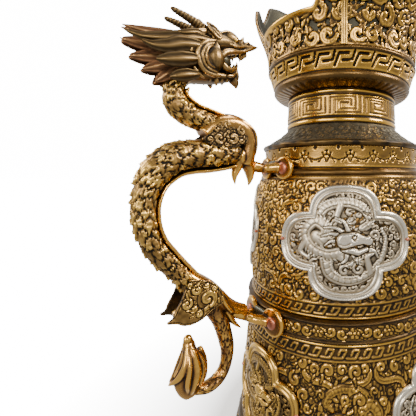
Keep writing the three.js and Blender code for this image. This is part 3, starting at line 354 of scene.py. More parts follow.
class Relief:
    """A height field in millimetres, on a sheet that may close round on itself."""

    def __init__(self, width: float, height: float, cell: float, wrap: bool = True, seed: int = 1) -> None:
        """Starts flat.

        Args:
            width: Millimetres across, or round.
            height: Millimetres high.
            cell: Millimetres to the cell.
            wrap: Whether the right edge meets the left.
            seed: Seeds the small irregularities of handwork.
        """
        self.width, self.height, self.wrap = width, height, wrap
        self.columns = int(round(width / cell)) + (0 if wrap else 1)
        self.rows = int(round(height / cell)) + 1
        self.dx = width / (self.columns if wrap else self.columns - 1)
        self.dy = height / (self.rows - 1)
        self.field = np.zeros((self.rows, self.columns))
        self.random = np.random.default_rng(seed)
        self.floor = 0.0

    def _window(
        self, x0: float, x1: float, y0: float, y1: float,
    ) -> tuple[np.ndarray, np.ndarray, np.ndarray, np.ndarray]:
        """The cells of a box, with their places.

        Args:
            x0: Left, in millimetres.
            x1: Right.
            y0: Bottom.
            y1: Top.

        Returns:
            Row numbers, column numbers, and each cell's x and y.
        """
        rows = np.arange(max(0, int(y0 / self.dy)), min(self.rows - 1, int(y1 / self.dy) + 1) + 1)
        columns = np.arange(int(math.floor(x0 / self.dx)), int(math.ceil(x1 / self.dx)) + 1)
        if not self.wrap:
            columns = columns[(columns >= 0) & (columns < self.columns)]
        xs, ys = np.meshgrid(columns * self.dx, rows * self.dy)
        return rows, columns % self.columns, xs, ys

    def stroke(
        self, points: Any, radii: Any, height: float, moat: float = 0.0, flat: float = 0.0, split: float = 0.0,
    ) -> None:
        """Raises a rounded ridge along a path.

        Args:
            points: The path's x and y.
            radii: Half widths along the path, or one.
            height: The ridge's height.
            moat: A hollow cut on each side, in millimetres.
            flat: From 0 for a round ridge to near 1 for a flat one.
            split: How deep a groove runs along the ridge's middle, as a share of its height.
        """
        path = np.asarray(points, float)
        half = np.broadcast_to(np.asarray(radii, float), (len(path),))
        steps = np.linalg.norm(np.diff(path, axis=0), axis=1)
        along = np.concatenate([[0.0], np.cumsum(steps)])
        count = max(2, int(along[-1] / (self.dx * 0.6)) + 1)
        places = np.linspace(0.0, along[-1], count)
        px, py = np.interp(places, along, path[:, 0]), np.interp(places, along, path[:, 1])
        pr = np.interp(places, along, half)
        for gap in (moat, 0.0) if moat else (0.0,):
            for start in range(0, count, 24):
                part = slice(start, min(count, start + 25))
                self._stamp((px[part], py[part], pr[part]), height, gap, flat, split)

    def carve(self, points: Any, radii: Any, depth: float) -> None:
        """Cuts a groove along a path.

        Args:
            points: The path's x and y.
            radii: Half widths along the path, or one.
            depth: How deep it goes below what is there.
        """
        before = self.field.copy()
        self.field[:] = 0.0
        self.stroke(points, radii, depth)
        self.field[:] = before - self.field

    def _stamp(self, run: Sequence[np.ndarray], height: float, moat: float, flat: float, split: float) -> None:
        """Raises the cells near a short run of samples, or hollows those round it when it has a moat.

        Args:
            run: The samples' places along and up, and their half widths.
            height: How far they stand proud.
            moat: The width of the hollow beside them, or 0 for the rise alone.
            flat: How flat the top is, from 0 to 1.
            split: The depth of the line down the middle, as a share.
        """
        px, py, pr = run
        reach = pr.max() + moat
        rows, columns, xs, ys = self._window(px.min() - reach, px.max() + reach, py.min() - reach, py.max() + reach)
        if not len(rows) or not len(columns):
            return
        distance = np.hypot(xs[..., None] - px, ys[..., None] - py)
        share = (distance / np.maximum(pr, 1e-6)).min(axis=2)
        rounded = np.sqrt(np.clip(1.0 - share**2, 0.0, 1.0))
        raised = height * np.minimum(1.0, rounded / (1.0 - flat)) * (1.0 - split * np.exp(-((share / 0.3) ** 2)))
        patch = self.field[np.ix_(rows, columns)]
        if moat:
            edge = (distance - pr).min(axis=2)
            self.field[np.ix_(rows, columns)] = np.where(edge < moat, np.minimum(patch, self.floor), patch)
            return
        self.field[np.ix_(rows, columns)] = np.maximum(patch, raised)

    def curl(self, x: float, y: float, size: float, turn: float, hand: int, width: float, height: float) -> None:
        """A leaf scroll: a grooved spiral that ends in a round eye, with leaf lobes along its back.

        Args:
            x: The spiral's eye.
            y: The spiral's eye.
            size: Its outer radius.
            turn: Where it starts, in radians.
            hand: 1 or -1 for the way it winds.
            width: The stem's half width.
            height: The relief's height.
        """
        t = np.linspace(0.0, 1.0, 22)
        angle = turn + hand * t * math.tau * 1.1
        radius = size * (1.0 - 0.8 * t**0.85)
        path = np.stack([x + radius * np.cos(angle), y + radius * np.sin(angle)], axis=1)
        for at, reach in ((0, 0.95), (3, 0.8), (6, 0.7), (9, 0.5)):
            root = path[at]
            way = (path[at + 1] - root) / np.linalg.norm(path[at + 1] - root)
            out = (root - [x, y]) / np.linalg.norm(root - [x, y])
            lobe = [
                root, root + (out * 0.42 - way * 0.25) * size * reach, root + (out * 0.62 - way * 0.75) * size * reach,
            ]
            self.stroke(curve_through(lobe, 8), np.linspace(width, width * 0.3, 8), height * 0.82, moat=0.5, split=0.3)
        taper = width * (0.75 + 0.6 * np.sin(np.pi * np.clip(t * 1.1, 0, 1)) ** 0.8)
        self.stroke(path, taper, height, moat=0.55, split=0.35)
        self.stroke([path[-1], path[-1] + 0.01], width * 1.2, height * 1.15)

    def leaf(self, x: float, y: float, size: float, turn: float, hand: int, height: float, moat: float = 0.7) -> None:
        """A fat comma of a leaf: a wide ridge that winds into its eye, with a streaming tail and lobes.

        Args:
            x: The eye.
            y: The eye.
            size: The leaf's reach.
            turn: Where its winding starts, in radians.
            hand: 1 or -1 for the way that it winds.
            height: The relief's height.
            moat: The hollow round each form.
        """
        t = np.linspace(0.0, 1.0, 26)
        angle = turn + hand * t * math.tau * 0.98
        away = size * (0.6 - 0.47 * t**0.9)
        path = np.stack([x + away * np.cos(angle), y + away * np.sin(angle)], axis=1)
        out = np.array([math.cos(turn), math.sin(turn)])
        back = -hand * np.array([-out[1], out[0]])
        for at, reach in ((9, 0.62), (5, 0.8)):
            root = path[at]
            ray = (root - [x, y]) / np.linalg.norm(root - [x, y])
            side = -hand * np.array([-ray[1], ray[0]])
            middle, tip = (ray * 0.3 + side * 0.25) * size * reach, (ray * 0.38 + side * 0.6) * size * reach
            lobe = curve_through([root - ray * size * 0.05, root + middle, root + tip], 10)
            self.stroke(lobe, size * np.linspace(0.16, 0.07, 10), height * 0.8, moat=moat, split=0.25)
        tail = [path[0], path[0] + (back * 0.5 + out * 0.02) * size, path[0] + (back * 0.95 + out * 0.3) * size]
        self.stroke(curve_through(tail, 14), size * np.linspace(0.22, 0.06, 14), height * 0.92, moat=moat, split=0.3)
        swell = size * (0.145 + 0.09 * np.sin(np.pi * np.clip(1.0 - t * 0.9, 0, 1)))
        self.stroke(path, swell, height, moat=moat, flat=0.2, split=0.18)
        self.stroke([path[-1], path[-1] + 0.01], size * 0.2, height * 1.1)

    def hooks(self, bottom: float, top: float, units: int, half: float, depth: float, lean: float = 0.0) -> None:
        """A fret of pairs of hooks that lock into each other, cut into the sheet.

        Args:
            bottom: The band's lower edge.
            top: Its upper edge.
            units: How many pairs go along.
            half: The cut's half width.
            depth: The cut's depth.
            lean: How far the uprights lean, in millimetres; past 2 one hook stands up in place of the cut pair.
        """
        pitch, rise = self.width / units, top - bottom

        def spots(unit: int, shares: Line) -> list[tuple[float, float]]:
            """Puts shares of a unit on the band."""
            return [((unit + a) * pitch + (b - 0.5) * lean, bottom + b * rise) for a, b in shares]

        for unit in range(units):
            if lean > 2.0:
                hook = [(0.0, 0.06), (0.7, 0.06), (0.7, 0.94), (0.24, 0.94), (0.24, 0.42)]
                self.stroke(spots(unit, hook), half, depth, flat=0.2)
                continue
            for hook in ([(0.99, 0.98), (0.94, 0.44), (0.44, 0.38)], [(0.70, 0.84), (0.22, 0.82), (0.06, 0.04)]):
                self.carve(spots(unit, hook), half, depth)

    def double_scroll(self, x: float, y: float, half_length: float, flip: int, half: float, height: float) -> None:
        """The main scroll: a ridge whose bend grows towards both ends.

        Args:
            x: Its middle.
            y: Its middle.
            half_length: Half its length along the ridge.
            flip: 1 or -1 for its hand.
            half: The ridge's half width.
            height: The relief's height.
        """
        s = (np.arange(48) + 0.5) / 48
        across, up = np.cumsum(np.cos(4.2 * s * s)) / 48, np.cumsum(np.sin(4.2 * s * s)) / 48
        line = np.stack([np.r_[-across[::-1], 0.0, across] * flip, np.r_[-up[::-1], 0.0, up]], axis=1) * half_length
        swell = 0.55 + 0.45 * np.sin(np.linspace(0.0, math.pi, len(line)))
        for end in (-1, 1):
            for at in (16, 26, 36):
                place = line[48 + end * at]
                way = line[48 + end * (at - 2)] - place
                way = way / np.linalg.norm(way)
                out = np.array([way[1], -way[0]]) * flip * end
                lobe = [place, place + out * half * 1.6 + way * half * 0.4, place + out * half * 2.1 + way * half * 2.2]
                lobe = curve_through(lobe + np.array([x, y]), 8)
                self.stroke(lobe, half * np.linspace(0.9, 0.35, 8), height * 0.85, moat=0.7, split=0.3)
        self.stroke(line + [x, y], half * swell, height, moat=0.8, split=0.45)
        for end in (line[6], line[-7]):
            self.stroke([end + [x, y], end + [x + 0.01, y]], half * 1.5, height * 1.05, moat=0.6, flat=0.3)
            self.carve([end + [x, y], end + [x + 0.01, y]], half * 0.5, height * 0.9)

    def pebbles(self, pitch: float, height: float) -> None:
        """Fills the ground with small swelling forms that thin grooves part.

        Args:
            pitch: The distance between the forms.
            height: How high they swell.
        """
        across, up = max(3, int(round(self.width / pitch))), max(3, int(round(self.height / pitch)))
        seeds = self.random.uniform(0.12, 0.88, size=(up + 4, across, 2))
        xs, ys = np.meshgrid(np.arange(self.columns) * self.dx, np.arange(self.rows) * self.dy)
        u, v = xs / self.width * across, ys / self.height * up
        u, v = u + 0.55 * np.sin(v * 1.7 + 1.3 * np.sin(u * 0.6)), v + 0.5 * np.sin(u * 1.3) * np.cos(v * 0.7)
        first, second = np.full(u.shape, 9.0), np.full(u.shape, 9.0)
        for di in (-1, 0, 1):
            for dj in (-1, 0, 1):
                column, row = np.floor(u).astype(int) + di, np.floor(v).astype(int) + dj
                seed = seeds[np.clip(row + 2, 0, up + 3), column % across]
                gap = np.hypot(column + seed[..., 0] - u, row + seed[..., 1] - v)
                second = np.minimum(second, np.maximum(first, gap))
                first = np.minimum(first, gap)
        self.field = np.maximum(self.field, height * np.clip((second - first) * 2.4, 0.0, 1.0) ** 0.6)

    def scrolls(
        self, box: Sequence[float], pitch: float, size: float, width: float, height: float, clear: Clear | None = None,
    ) -> None:
        """Fills a box with leaf scrolls that turn against each other.

        Args:
            box: Left, right, bottom and top.
            pitch: The distance between scrolls.
            size: Their radius.
            width: How much wider the hollows round them are.
            height: The relief's height.
            clear: Says whether a place is free.
        """
        left, right, bottom, top = box
        lines = max(1, int(round((top - bottom) / (pitch * 0.88))))
        across = max(1, int(round((right - left) / pitch)))
        for line in range(lines):
            for place in range(across):
                x = left + (place + 0.5 + 0.5 * (line % 2)) * (right - left) / across
                y = bottom + (line + 0.5) * (top - bottom) / lines
                x += self.random.uniform(-0.2, 0.2) * pitch
                y += self.random.uniform(-0.16, 0.16) * pitch
                if clear and not clear(x, y):
                    continue
                hand = 1 if (line + place) % 2 else -1
                turn = self.random.uniform(-1.4, 1.4) + (math.pi if place % 2 else 0.0)
                scale = self.random.uniform(0.8, 1.2)
                self.leaf(x, y, size * scale, turn, hand, height, 0.45 + width * 0.25)

    def rail(self, y: float, half: float, height: float, flat: float = 0.2) -> None:
        """A straight moulding all the way along.

        Args:
            y: The height of its middle.
            half: Half its width.
            height: How far it stands proud.
            flat: How flat its top is, from 0 to 1.
        """
        ys = np.arange(self.rows) * self.dy
        share = np.clip(1.0 - ((ys - y) / half) ** 2, 0.0, 1.0) ** 0.5
        raised = height * np.minimum(1.0, share / (1.0 - flat))
        self.field = np.maximum(self.field, raised[:, None])

    def plain(self, bottom: float, top: float, height: float) -> None:
        """A flat band all the way along, in place of what was there."""
        ys = np.arange(self.rows) * self.dy
        self.field[(ys >= bottom) & (ys <= top)] = height

    def groove(self, y: float, half: float, depth: float) -> None:
        """A straight groove all the way along."""
        ys = np.arange(self.rows) * self.dy
        self.field -= (depth * np.clip(1.0 - ((ys - y) / half) ** 2, 0.0, 1.0))[:, None]

    def dot(self, x: float, y: float, radius: float, height: float, moat: float = 0.0) -> None:
        """Raises a round boss."""
        self.stroke([(x, y), (x + 0.01, y)], radius, height, moat)

    def drill(self, x: float, y: float, radius: float, depth: float) -> None:
        """Cuts a round hollow."""
        self.carve([(x, y), (x + 0.01, y)], radius, depth)

    def beads(self, y: float, pitch: float, radius: float, height: float) -> None:
        """A row of round beads.

        Args:
            y: The height of their middles.
            pitch: From bead to bead.
            radius: A bead's radius.
            height: How far they stand proud.
        """
        count = max(1, int(self.width / pitch))
        for place in range(count):
            self.dot((place + 0.5) * self.width / count, y, radius, height)

    def rosette(self, x: float, y: float, radius: float, petals: int, height: float) -> None:
        """A flower with round petals and a raised eye.

        Args:
            x: The place of its middle, along.
            y: The place of its middle, up.
            radius: Its radius.
            petals: How many petals it has.
            height: How far they stand proud.
        """
        for petal in range(petals):
            angle = petal * math.tau / petals
            way = np.array([math.cos(angle), math.sin(angle)])
            inner, outer = np.array([x, y]) + way * radius * 0.42, np.array([x, y]) + way * radius * 0.72
            self.stroke([inner, outer], [radius * 0.2, radius * 0.36], height, moat=0.3)
        self.dot(x, y, radius * 0.27, height * 1.25, 0.35)

    def hammered(self, depth: float, pitch: float) -> None:
        """Adds the slight unevenness of hammered sheet.

        Args:
            depth: How uneven it is.
            pitch: The size of a dent.
        """
        coarse = self.random.normal(size=(int(self.height / pitch) + 3, int(self.width / pitch) + 3))
        if self.wrap:
            coarse[:, -1] = coarse[:, 0]
        rows = np.linspace(0, coarse.shape[0] - 1.001, self.rows)
        columns = np.linspace(0, coarse.shape[1] - 1.001, self.columns)
        r, c = rows.astype(int), columns.astype(int)
        fr, fc = (rows - r)[:, None], (columns - c)[None]
        fr, fc = fr * fr * (3 - 2 * fr), fc * fc * (3 - 2 * fc)
        top = coarse[np.ix_(r, c)] * (1 - fc) + coarse[np.ix_(r, c + 1)] * fc
        low = coarse[np.ix_(r + 1, c)] * (1 - fc) + coarse[np.ix_(r + 1, c + 1)] * fc
        self.field += depth * (top * (1 - fr) + low * fr)

    def shade(self, scale: float, rest: float = 0.2) -> np.ndarray:
        """How rubbed each cell is and how much painted shade or highlight it takes, from 0 in a hollow to 1 on a crest.

        Args:
            scale: The relief's usual height.
            rest: The value of a flat place.

        Returns:
            One value to the cell.
        """
        reach = max(1, int(round(1.6 / self.dx)))
        # Painted shade and highlight: cells lower than their surroundings go darker, higher ones lighter.
        local = self.field - _softened(self.field, reach, self.wrap)
        return np.clip(rest + 0.34 * self.field / scale + 0.8 * local / scale, 0.0, 1.0)

    def cells(self) -> Shape:
        """The cells between the points of the sheet.

        Returns:
            The x, the y and the mean height of each cell.
        """
        xs = (np.arange(self.columns - 1) + 0.5)[None] * self.dx
        ys = (np.arange(self.rows - 1) + 0.5)[:, None] * self.dy
        f = self.field
        mid = (f[:-1, :-1] + f[1:, :-1] + f[:-1, 1:] + f[1:, 1:]) / 4
        return (*np.broadcast_arrays(xs, ys), mid)


# Meshes


def dress(
    piece: bpy.types.Object, finish: Finish, relief: np.ndarray | None = None, body: str = VESSEL, slot: str = "gilt",
) -> None:
    """Gives a piece its finish, its smooth shading and its body, and logs it.

    Args:
        piece: The object.
        finish: Its finish.
        relief: How rubbed each point is and how much painted shade or highlight it takes, or none for a value from the
            shape.
        body: The body it rides on.
        slot: Not used.
    """
    mesh = piece.data
    values = rub_and_painted_shade(mesh) if relief is None else np.asarray(relief, float).ravel()
    # The relief attribute carries the rubbing together with the painted shade and highlight; the finish reads it.
    attribute = mesh.attributes.get("relief") or mesh.attributes.new("relief", "FLOAT", "POINT")
    attribute.data.foreach_set("value", values.astype(np.float32))
    mesh.materials.clear()
    mesh.materials.append(Paint.of(finish))
    mesh.polygons.foreach_set("use_smooth", [True] * len(mesh.polygons))
    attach(piece, body)
    LOG.info("%s: %d faces", piece.name, len(mesh.polygons))


def rub_and_painted_shade(mesh: bpy.types.Mesh) -> np.ndarray:
    """How rubbed each point of a shape is and how much painted shade or highlight it takes, from the way its surface
    bends there.

    Args:
        mesh: The mesh.

    Returns:
        A value from 0 in a crease, painted dark as shade, to 1 on a crest, rubbed and painted as a highlight, one to
        the point.
    """
    count = len(mesh.vertices)
    places, normals = np.empty(count * 3), np.empty(count * 3)
    mesh.vertices.foreach_get("co", places)
    mesh.vertices.foreach_get("normal", normals)
    places, normals = places.reshape(-1, 3) / MM, normals.reshape(-1, 3)
    pairs = np.empty(len(mesh.edges) * 2, dtype=np.int64)
    mesh.edges.foreach_get("vertices", pairs)
    a, b = pairs.reshape(-1, 2).T
    both, other = np.concatenate([a, b]), np.concatenate([b, a])
    weight = np.maximum(np.bincount(both, minlength=count), 1)
    soft, value = places.copy(), np.full(count, 0.42)
    # Painted shade: the broad round of smoothing darkens wide hollows, as occlusion would; the fine round marks ridges
    # and creases.
    for step in range(1, 25):
        total = np.stack([np.bincount(both, soft[other, axis], count) for axis in range(3)], axis=1)
        soft = 0.4 * soft + 0.6 * total / weight[:, None]
        if step in (4, 24):
            value += ((places - soft) * normals).sum(axis=1) * (3.2 if step == 4 else 0.9)
    return np.clip(value, 0.0, 1.0)


@dataclass
class MeshParts:
    """Points, faces and values of rubbing and painted shade that grow into one mesh.

    Args:
        points: The shapes' points, in millimetres.
        faces: Their faces, by the number of the point.
        shade: How rubbed each point is and how much painted shade or highlight it takes.
        count: How many points there are.
    """

    points: list[np.ndarray] = field(default_factory=list)
    faces: list[np.ndarray] = field(default_factory=list)
    shade: list[np.ndarray] = field(default_factory=list)
    count: int = 0

    def add(self, points: np.ndarray, faces: np.ndarray, shade: np.ndarray | float) -> "MeshParts":
        """Adds a closed shape.

        Args:
            points: Its points in millimetres.
            faces: Its faces, by its own point numbers; the last one is repeated for a triangle.
            shade: Its values of rubbing and painted shade.

        Returns:
            The parts themselves.
        """
        self.points.append(points)
        self.faces.append(faces + self.count)
        self.shade.append(np.broadcast_to(np.asarray(shade, float), (len(points),)))
        self.count += len(points)
        return self

    def mesh(self, name: str) -> bpy.types.Object:
        """Makes an object, still without a finish, of everything added.

        Args:
            name: The object's name.

        Returns:
            The object.
        """
        points, faces = np.vstack(self.points) * MM, np.vstack(self.faces)
        mesh = bpy.data.meshes.new(name)
        cap = faces[:, 2] == faces[:, 3]
        mesh.from_pydata(points.tolist(), [], faces[~cap].tolist() + faces[cap][:, :3].tolist())
        mesh.update()
        made = bpy.data.objects.new(name, mesh)
        bpy.context.scene.collection.objects.link(made)
        return made

    def piece(self, name: str, finish: Finish, body: str = VESSEL, slot: str = "gilt") -> bpy.types.Object:
        """Turns everything added into one piece.

        Args:
            name: The piece's name.
            finish: Its finish.
            body: The body it rides on.
            slot: A slot name, handed on to dress.

        Returns:
            The object.
        """
        made = self.mesh(name)
        dress(made, finish, np.concatenate(self.shade), body, slot)
        return made


def around(angle: Any, radius: Any, z: Any) -> np.ndarray:
    """Points in millimetres at angles from the handle's side.

    Args:
        angle: Radians, turning from -X towards -Y.
        radius: The distance from the axis.
        z: The height.

    Returns:
        Points, with x, y and z last.
    """
    angle, radius, z = np.broadcast_arrays(np.asarray(angle, float), radius, z)
    return np.stack([-radius * np.cos(angle), -radius * np.sin(angle), z], axis=-1)


def along_line(points: Line, count: int, smooth: int = 0) -> np.ndarray:
    """Even samples of a line, with its corners rounded off.

    Args:
        points: The line's corners.
        count: How many samples.
        smooth: How many times the corners are cut.

    Returns:
        One row to the sample.
    """
    line = np.asarray(points, float)
    for _ in range(smooth):
        first, second = line[:-1] * 0.75 + line[1:] * 0.25, line[:-1] * 0.25 + line[1:] * 0.75
        line = np.vstack([line[:1], np.stack([first, second], 1).reshape(-1, line.shape[1]), line[-1:]])
    steps = np.linalg.norm(np.diff(line, axis=0), axis=1)
    along = np.concatenate([[0.0], np.cumsum(steps)])
    places = np.linspace(0.0, along[-1], count)
    return np.stack([np.interp(places, along, line[:, axis]) for axis in range(line.shape[1])], axis=1)


def line_length(points: Line) -> float:
    """The length of a line."""
    return float(np.linalg.norm(np.diff(np.asarray(points, float), axis=0), axis=1).sum())


def grid_faces(rows: int, columns: int, wrap: bool) -> np.ndarray:
    """The faces of a grid of points, turned outwards for a wall that goes round.

    Args:
        rows: Rows of points.
        columns: Columns of points.
        wrap: Whether the last column meets the first.

    Returns:
        Four point numbers to the face.
    """
    spans = columns if wrap else columns - 1
    row, column = np.meshgrid(np.arange(rows - 1), np.arange(spans), indexing="ij")
    after = (column + 1) % columns
    corners = [row * columns + column, row * columns + after, (row + 1) * columns + after, (row + 1) * columns + column]
    return np.stack([corner.ravel() for corner in corners], axis=1)


def ring_faces(rows: int, columns: int) -> np.ndarray:
    """The faces of a closed section that goes all the way round.

    Args:
        rows: Points along the section.
        columns: Points round.

    Returns:
        Four point numbers to the face.
    """
    column = np.arange(columns)
    last, after = (rows - 1) * columns, (column + 1) % columns
    closing = np.stack([last + column, last + after, after, column], axis=1)
    return np.vstack([grid_faces(rows, columns, True), closing])


def tube_faces(rows: int, columns: int, flip: bool = False) -> np.ndarray:
    """The faces of a tube whose two end points follow its rings.

    Args:
        rows: Rings along the tube.
        columns: Points round it.
        flip: Whether the rings run the other way round.

    Returns:
        Four point numbers to the face, the last one repeated for a triangle.
    """
    column, start = np.arange(columns), rows * columns
    after, last = (column + 1) % columns, start - columns
    near, far = (column, after) if flip else (after, column)
    low = np.stack([np.full(columns, start), near, far, far], axis=1)
    high = np.stack([np.full(columns, start + 1), last + far, last + near, last + near], axis=1)
    faces = grid_faces(rows, columns, True)
    return np.vstack([faces[:, ::-1] if flip else faces, low, high])


def upward(path: np.ndarray) -> np.ndarray:
    """The directions square to a run that lies in the plane of the handle and the spout.

    Args:
        path: The run's points.

    Returns:
        One direction to the point, of length 1.
    """
    along = np.gradient(path, axis=0)
    along /= np.linalg.norm(along, axis=1, keepdims=True)
    return np.cross(along, np.broadcast_to(ASIDE, path.shape))


def sided(rows: Line, side: float) -> list[tuple[float, ...]]:
    """Rows of distance, height, aside and half width, put on one side."""
    return [(r, z, side * y, half) for r, z, y, half in rows]


@dataclass
class TurnedWall:
    """A wall turned round the axis, with relief outside and a plain inside.

    Args:
        name: The piece's name.
        outer: The outer profile from bottom to top, as radius and height.
        inner: The inner profile from top to bottom.
        cell: The size of a relief cell.
        finish: Its finish.
        replaces: The CAD nodes that it stands for.
        height: The relief's usual height.
        smooth: How many times the profile's corners are cut.
        body: The body it rides on.
        slot: A slot name, handed on to its piece.
        seed: Seeds the handwork.
        rest: The rubbing and painted shade value of its flat places.
    """

    name: str
    outer: Line
    inner: Line
    cell: float
    finish: Finish
    replaces: Sequence[str]
    height: float = 1.0
    smooth: int = 0
    body: str = VESSEL
    slot: str = "gilt"
    seed: int = 1
    rest: float = 0.2

    def __post_init__(self) -> None:
        """Lays out the relief over the outer profile."""
        radius = max(point[0] for point in self.outer)
        self.relief = Relief(math.tau * radius, line_length(self.outer), self.cell, True, self.seed)

    def build(self) -> bpy.types.Object:
        """Wraps the relief round the profile and closes the wall.

        Returns:
            The object.
        """
        relief = self.relief
        line = along_line(self.outer, relief.rows, self.smooth)
        slope = np.gradient(line, axis=0)
        slope /= np.linalg.norm(slope, axis=1, keepdims=True) + TINY
        normal = np.stack([slope[:, 1], -slope[:, 0]], axis=1)
        shade = relief.shade(self.height, self.rest)
        radius = line[:, :1] + normal[:, :1] * relief.field
        height = line[:, 1:] + normal[:, 1:] * relief.field
        angles = np.arange(relief.columns) / relief.columns * math.tau
        outside = around(angles[None], radius, height).reshape(-1, 3)
        inner = np.asarray(self.inner, float)
        inside = around(angles[None], inner[:, :1], inner[:, 1:]).reshape(-1, 3)
        faces = ring_faces(relief.rows + len(inner), relief.columns)
        values = np.concatenate([shade.ravel(), np.full(len(inside), 0.3)])
        parts = MeshParts().add(np.vstack([outside, inside]), faces, values)
        piece = parts.piece(self.name, self.finish, self.body, self.slot)
        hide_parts(*self.replaces)
        return piece


def pierced_sheet(
    relief: Relief, keep: np.ndarray, place: Place, thickness: float, height: float, tidy: int = 4,
) -> Shape:
    """Cuts a relief sheet out along the cells that are kept.

    Args:
        relief: The relief, which doesn't close on itself.
        keep: Which cells stay.
        place: Puts x, y and a lift above the sheet into space.
        thickness: The sheet's thickness below the relief.
        height: The relief's usual height.
        tidy: How often the cut edges are smoothed.

    Returns:
        Points, faces, and values of rubbing and painted shade.
    """
    keep = keep.copy()
    but_last, but_first = slice(None, -1), slice(1, None)
    for near, far in ((but_last, but_first), (but_first, but_last)):
        keep[near, far] |= keep[near, near] & keep[far, far] & ~keep[far, near]
    rows, columns = relief.rows, relief.columns
    number = np.arange(rows * columns).reshape(rows, columns)
    quads = np.stack([number[:-1, :-1], number[:-1, 1:], number[1:, 1:], number[1:, :-1]], axis=-1)[keep]
    sides = np.vstack([quads[:, [corner, (corner + 1) % 4]] for corner in range(4)])
    forth, back = sides[:, 0] * number.size + sides[:, 1], sides[:, 1] * number.size + sides[:, 0]
    rim = sides[~np.isin(forth, back)]
    xs, ys = np.meshgrid(np.arange(columns) * relief.dx, np.arange(rows) * relief.dy)
    spots = np.stack([xs.ravel(), ys.ravel()], axis=1)
    fixed = np.ones(number.shape, bool)
    fixed.ravel()[rim.ravel()] = False
    fixed[[0, -1]] = fixed[:, [0, -1]] = True
    fixed = fixed.ravel()
    for _ in range(tidy):
        total, share = np.zeros_like(spots), np.zeros(len(spots))
        for a, b in ((0, 1), (1, 0)):
            np.add.at(total, rim[:, a], spots[rim[:, b]])
            np.add.at(share, rim[:, a], 1.0)
        free = ~fixed & (share > 0)
        spots[free] = spots[free] * 0.4 + total[free] / share[free, None] * 0.6
    used, inverse = np.unique(quads, return_inverse=True)
    quads = inverse.reshape(quads.shape)
    lookup = np.full(rows * columns, -1)
    lookup[used] = np.arange(len(used))
    rim = lookup[rim]
    x, y, lift = spots[used, 0], spots[used, 1], relief.field.ravel()[used]
    front, back = place(x, y, lift), place(x, y, np.full_like(lift, -thickness))
    count = len(used)
    walls = np.stack([rim[:, 1], rim[:, 0], rim[:, 0] + count, rim[:, 1] + count], axis=1)
    faces = np.vstack([quads, quads[:, ::-1] + count, walls])
    shade = relief.shade(height).ravel()[used]
    return np.vstack([front, back]), faces, np.concatenate([shade, np.full(count, 0.1)])


def tube(
    path: np.ndarray, half: Any, side: Any = (0.0, 1.0, 0.0), flat: Any = 1.0, sides: int = 12,
) -> tuple[np.ndarray, np.ndarray]:
    """A closed tube of changing oval section.

    Args:
        path: Its centre line.
        half: Its half widths, one to the point.
        side: The direction in which the half widths are measured.
        flat: The thickness as a share of the width.
        sides: Points round it.

    Returns:
        Points and faces.
    """
    path = np.asarray(path, float)
    half = np.broadcast_to(np.asarray(half, float), (len(path),))
    flat = np.broadcast_to(np.asarray(flat, float), (len(path),))
    along = np.gradient(path, axis=0)
    along /= np.linalg.norm(along, axis=1, keepdims=True) + TINY
    across = np.broadcast_to(np.asarray(side, float), path.shape)
    across = across - (across * along).sum(1, keepdims=True) * along
    across /= np.linalg.norm(across, axis=1, keepdims=True) + TINY
    up = np.cross(along, across)
    turn = np.arange(sides) / sides * math.tau
    wide = np.cos(turn)[None, :, None] * half[:, None, None]
    tall = np.sin(turn)[None, :, None] * (half * flat)[:, None, None]
    ring = path[:, None] + across[:, None] * wide + up[:, None] * tall
    return np.vstack([ring.reshape(-1, 3), path[:1], path[-1:]]), tube_faces(len(path), sides)


def curve_through(points: Line, count: int) -> np.ndarray:
    """Even samples of a smooth curve through some points.

    Args:
        points: Rows of any length; columns past the third may hold widths.
        count: How many samples.

    Returns:
        One row to the sample.
    """
    line = np.asarray(points, float)
    knots = np.concatenate([[0.0], np.cumsum(np.maximum(np.linalg.norm(np.diff(line[:, :2], axis=0), axis=1), 1e-6))])
    padded = np.vstack([2 * line[0] - line[1], line, 2 * line[-1] - line[-2]])
    places = np.linspace(0.0, knots[-1], count)
    span = np.clip(np.searchsorted(knots, places, side="right") - 1, 0, len(line) - 2)
    t = ((places - knots[span]) / (knots[span + 1] - knots[span]))[:, None]
    a, b, c, d = padded[span], padded[span + 1], padded[span + 2], padded[span + 3]
    return 0.5 * (2 * b + (c - a) * t + (2 * a - 5 * b + 4 * c - d) * t**2 + (3 * b - a - 3 * c + d) * t**3)


# The vessel


@dataclass
class Walls:
    """The radii and heights that the sections share, in millimetres.

    Args:
        foot_top: Where the foot ends and the lower body starts.
        waist: Where the lower body ends.
        upper: Where the upper body starts.
        collar: Where the upper body ends.
        gallery: Where the cup ends and the crown gallery starts.
    """

    foot_top: float = 26.0
    waist: float = 127.0
    upper: float = 145.0
    collar: float = 258.0
    gallery: float = 366.0

    def lower_radius(self, z: Any) -> Any:
        """The lower body's radius at a height."""
        return 96.0 + 9.0 * np.clip((self.waist - np.asarray(z, float)) / 101.0, 0.0, 1.0) ** 0.75

    def upper_radius(self, z: Any) -> Any:
        """The upper body's radius at a height."""
        return 94.5 - 9.5 * np.clip((np.asarray(z, float) - self.upper) / 113.0, 0.0, 1.0) ** 3

    def gallery_radius(self, z: Any) -> Any:
        """The crown gallery's outer radius at a height.

        Args:
            z: The height.

        Returns:
            The radius.
        """
        t = np.asarray(z, float) - self.gallery
        share = np.clip((t - 15.0) / 47.0, 0.0, 1.0)
        return 78.0 + 0.06 * t + 11.0 * share * share * (3 - 2 * share)


WALLS = Walls()
UPPER_MIDDLE, UPPER_FRAME = 205.5, (54.0, 45.0)
LOWER_MIDDLE, LOWER_FRAME = 71.5, (44.0, 37.0)


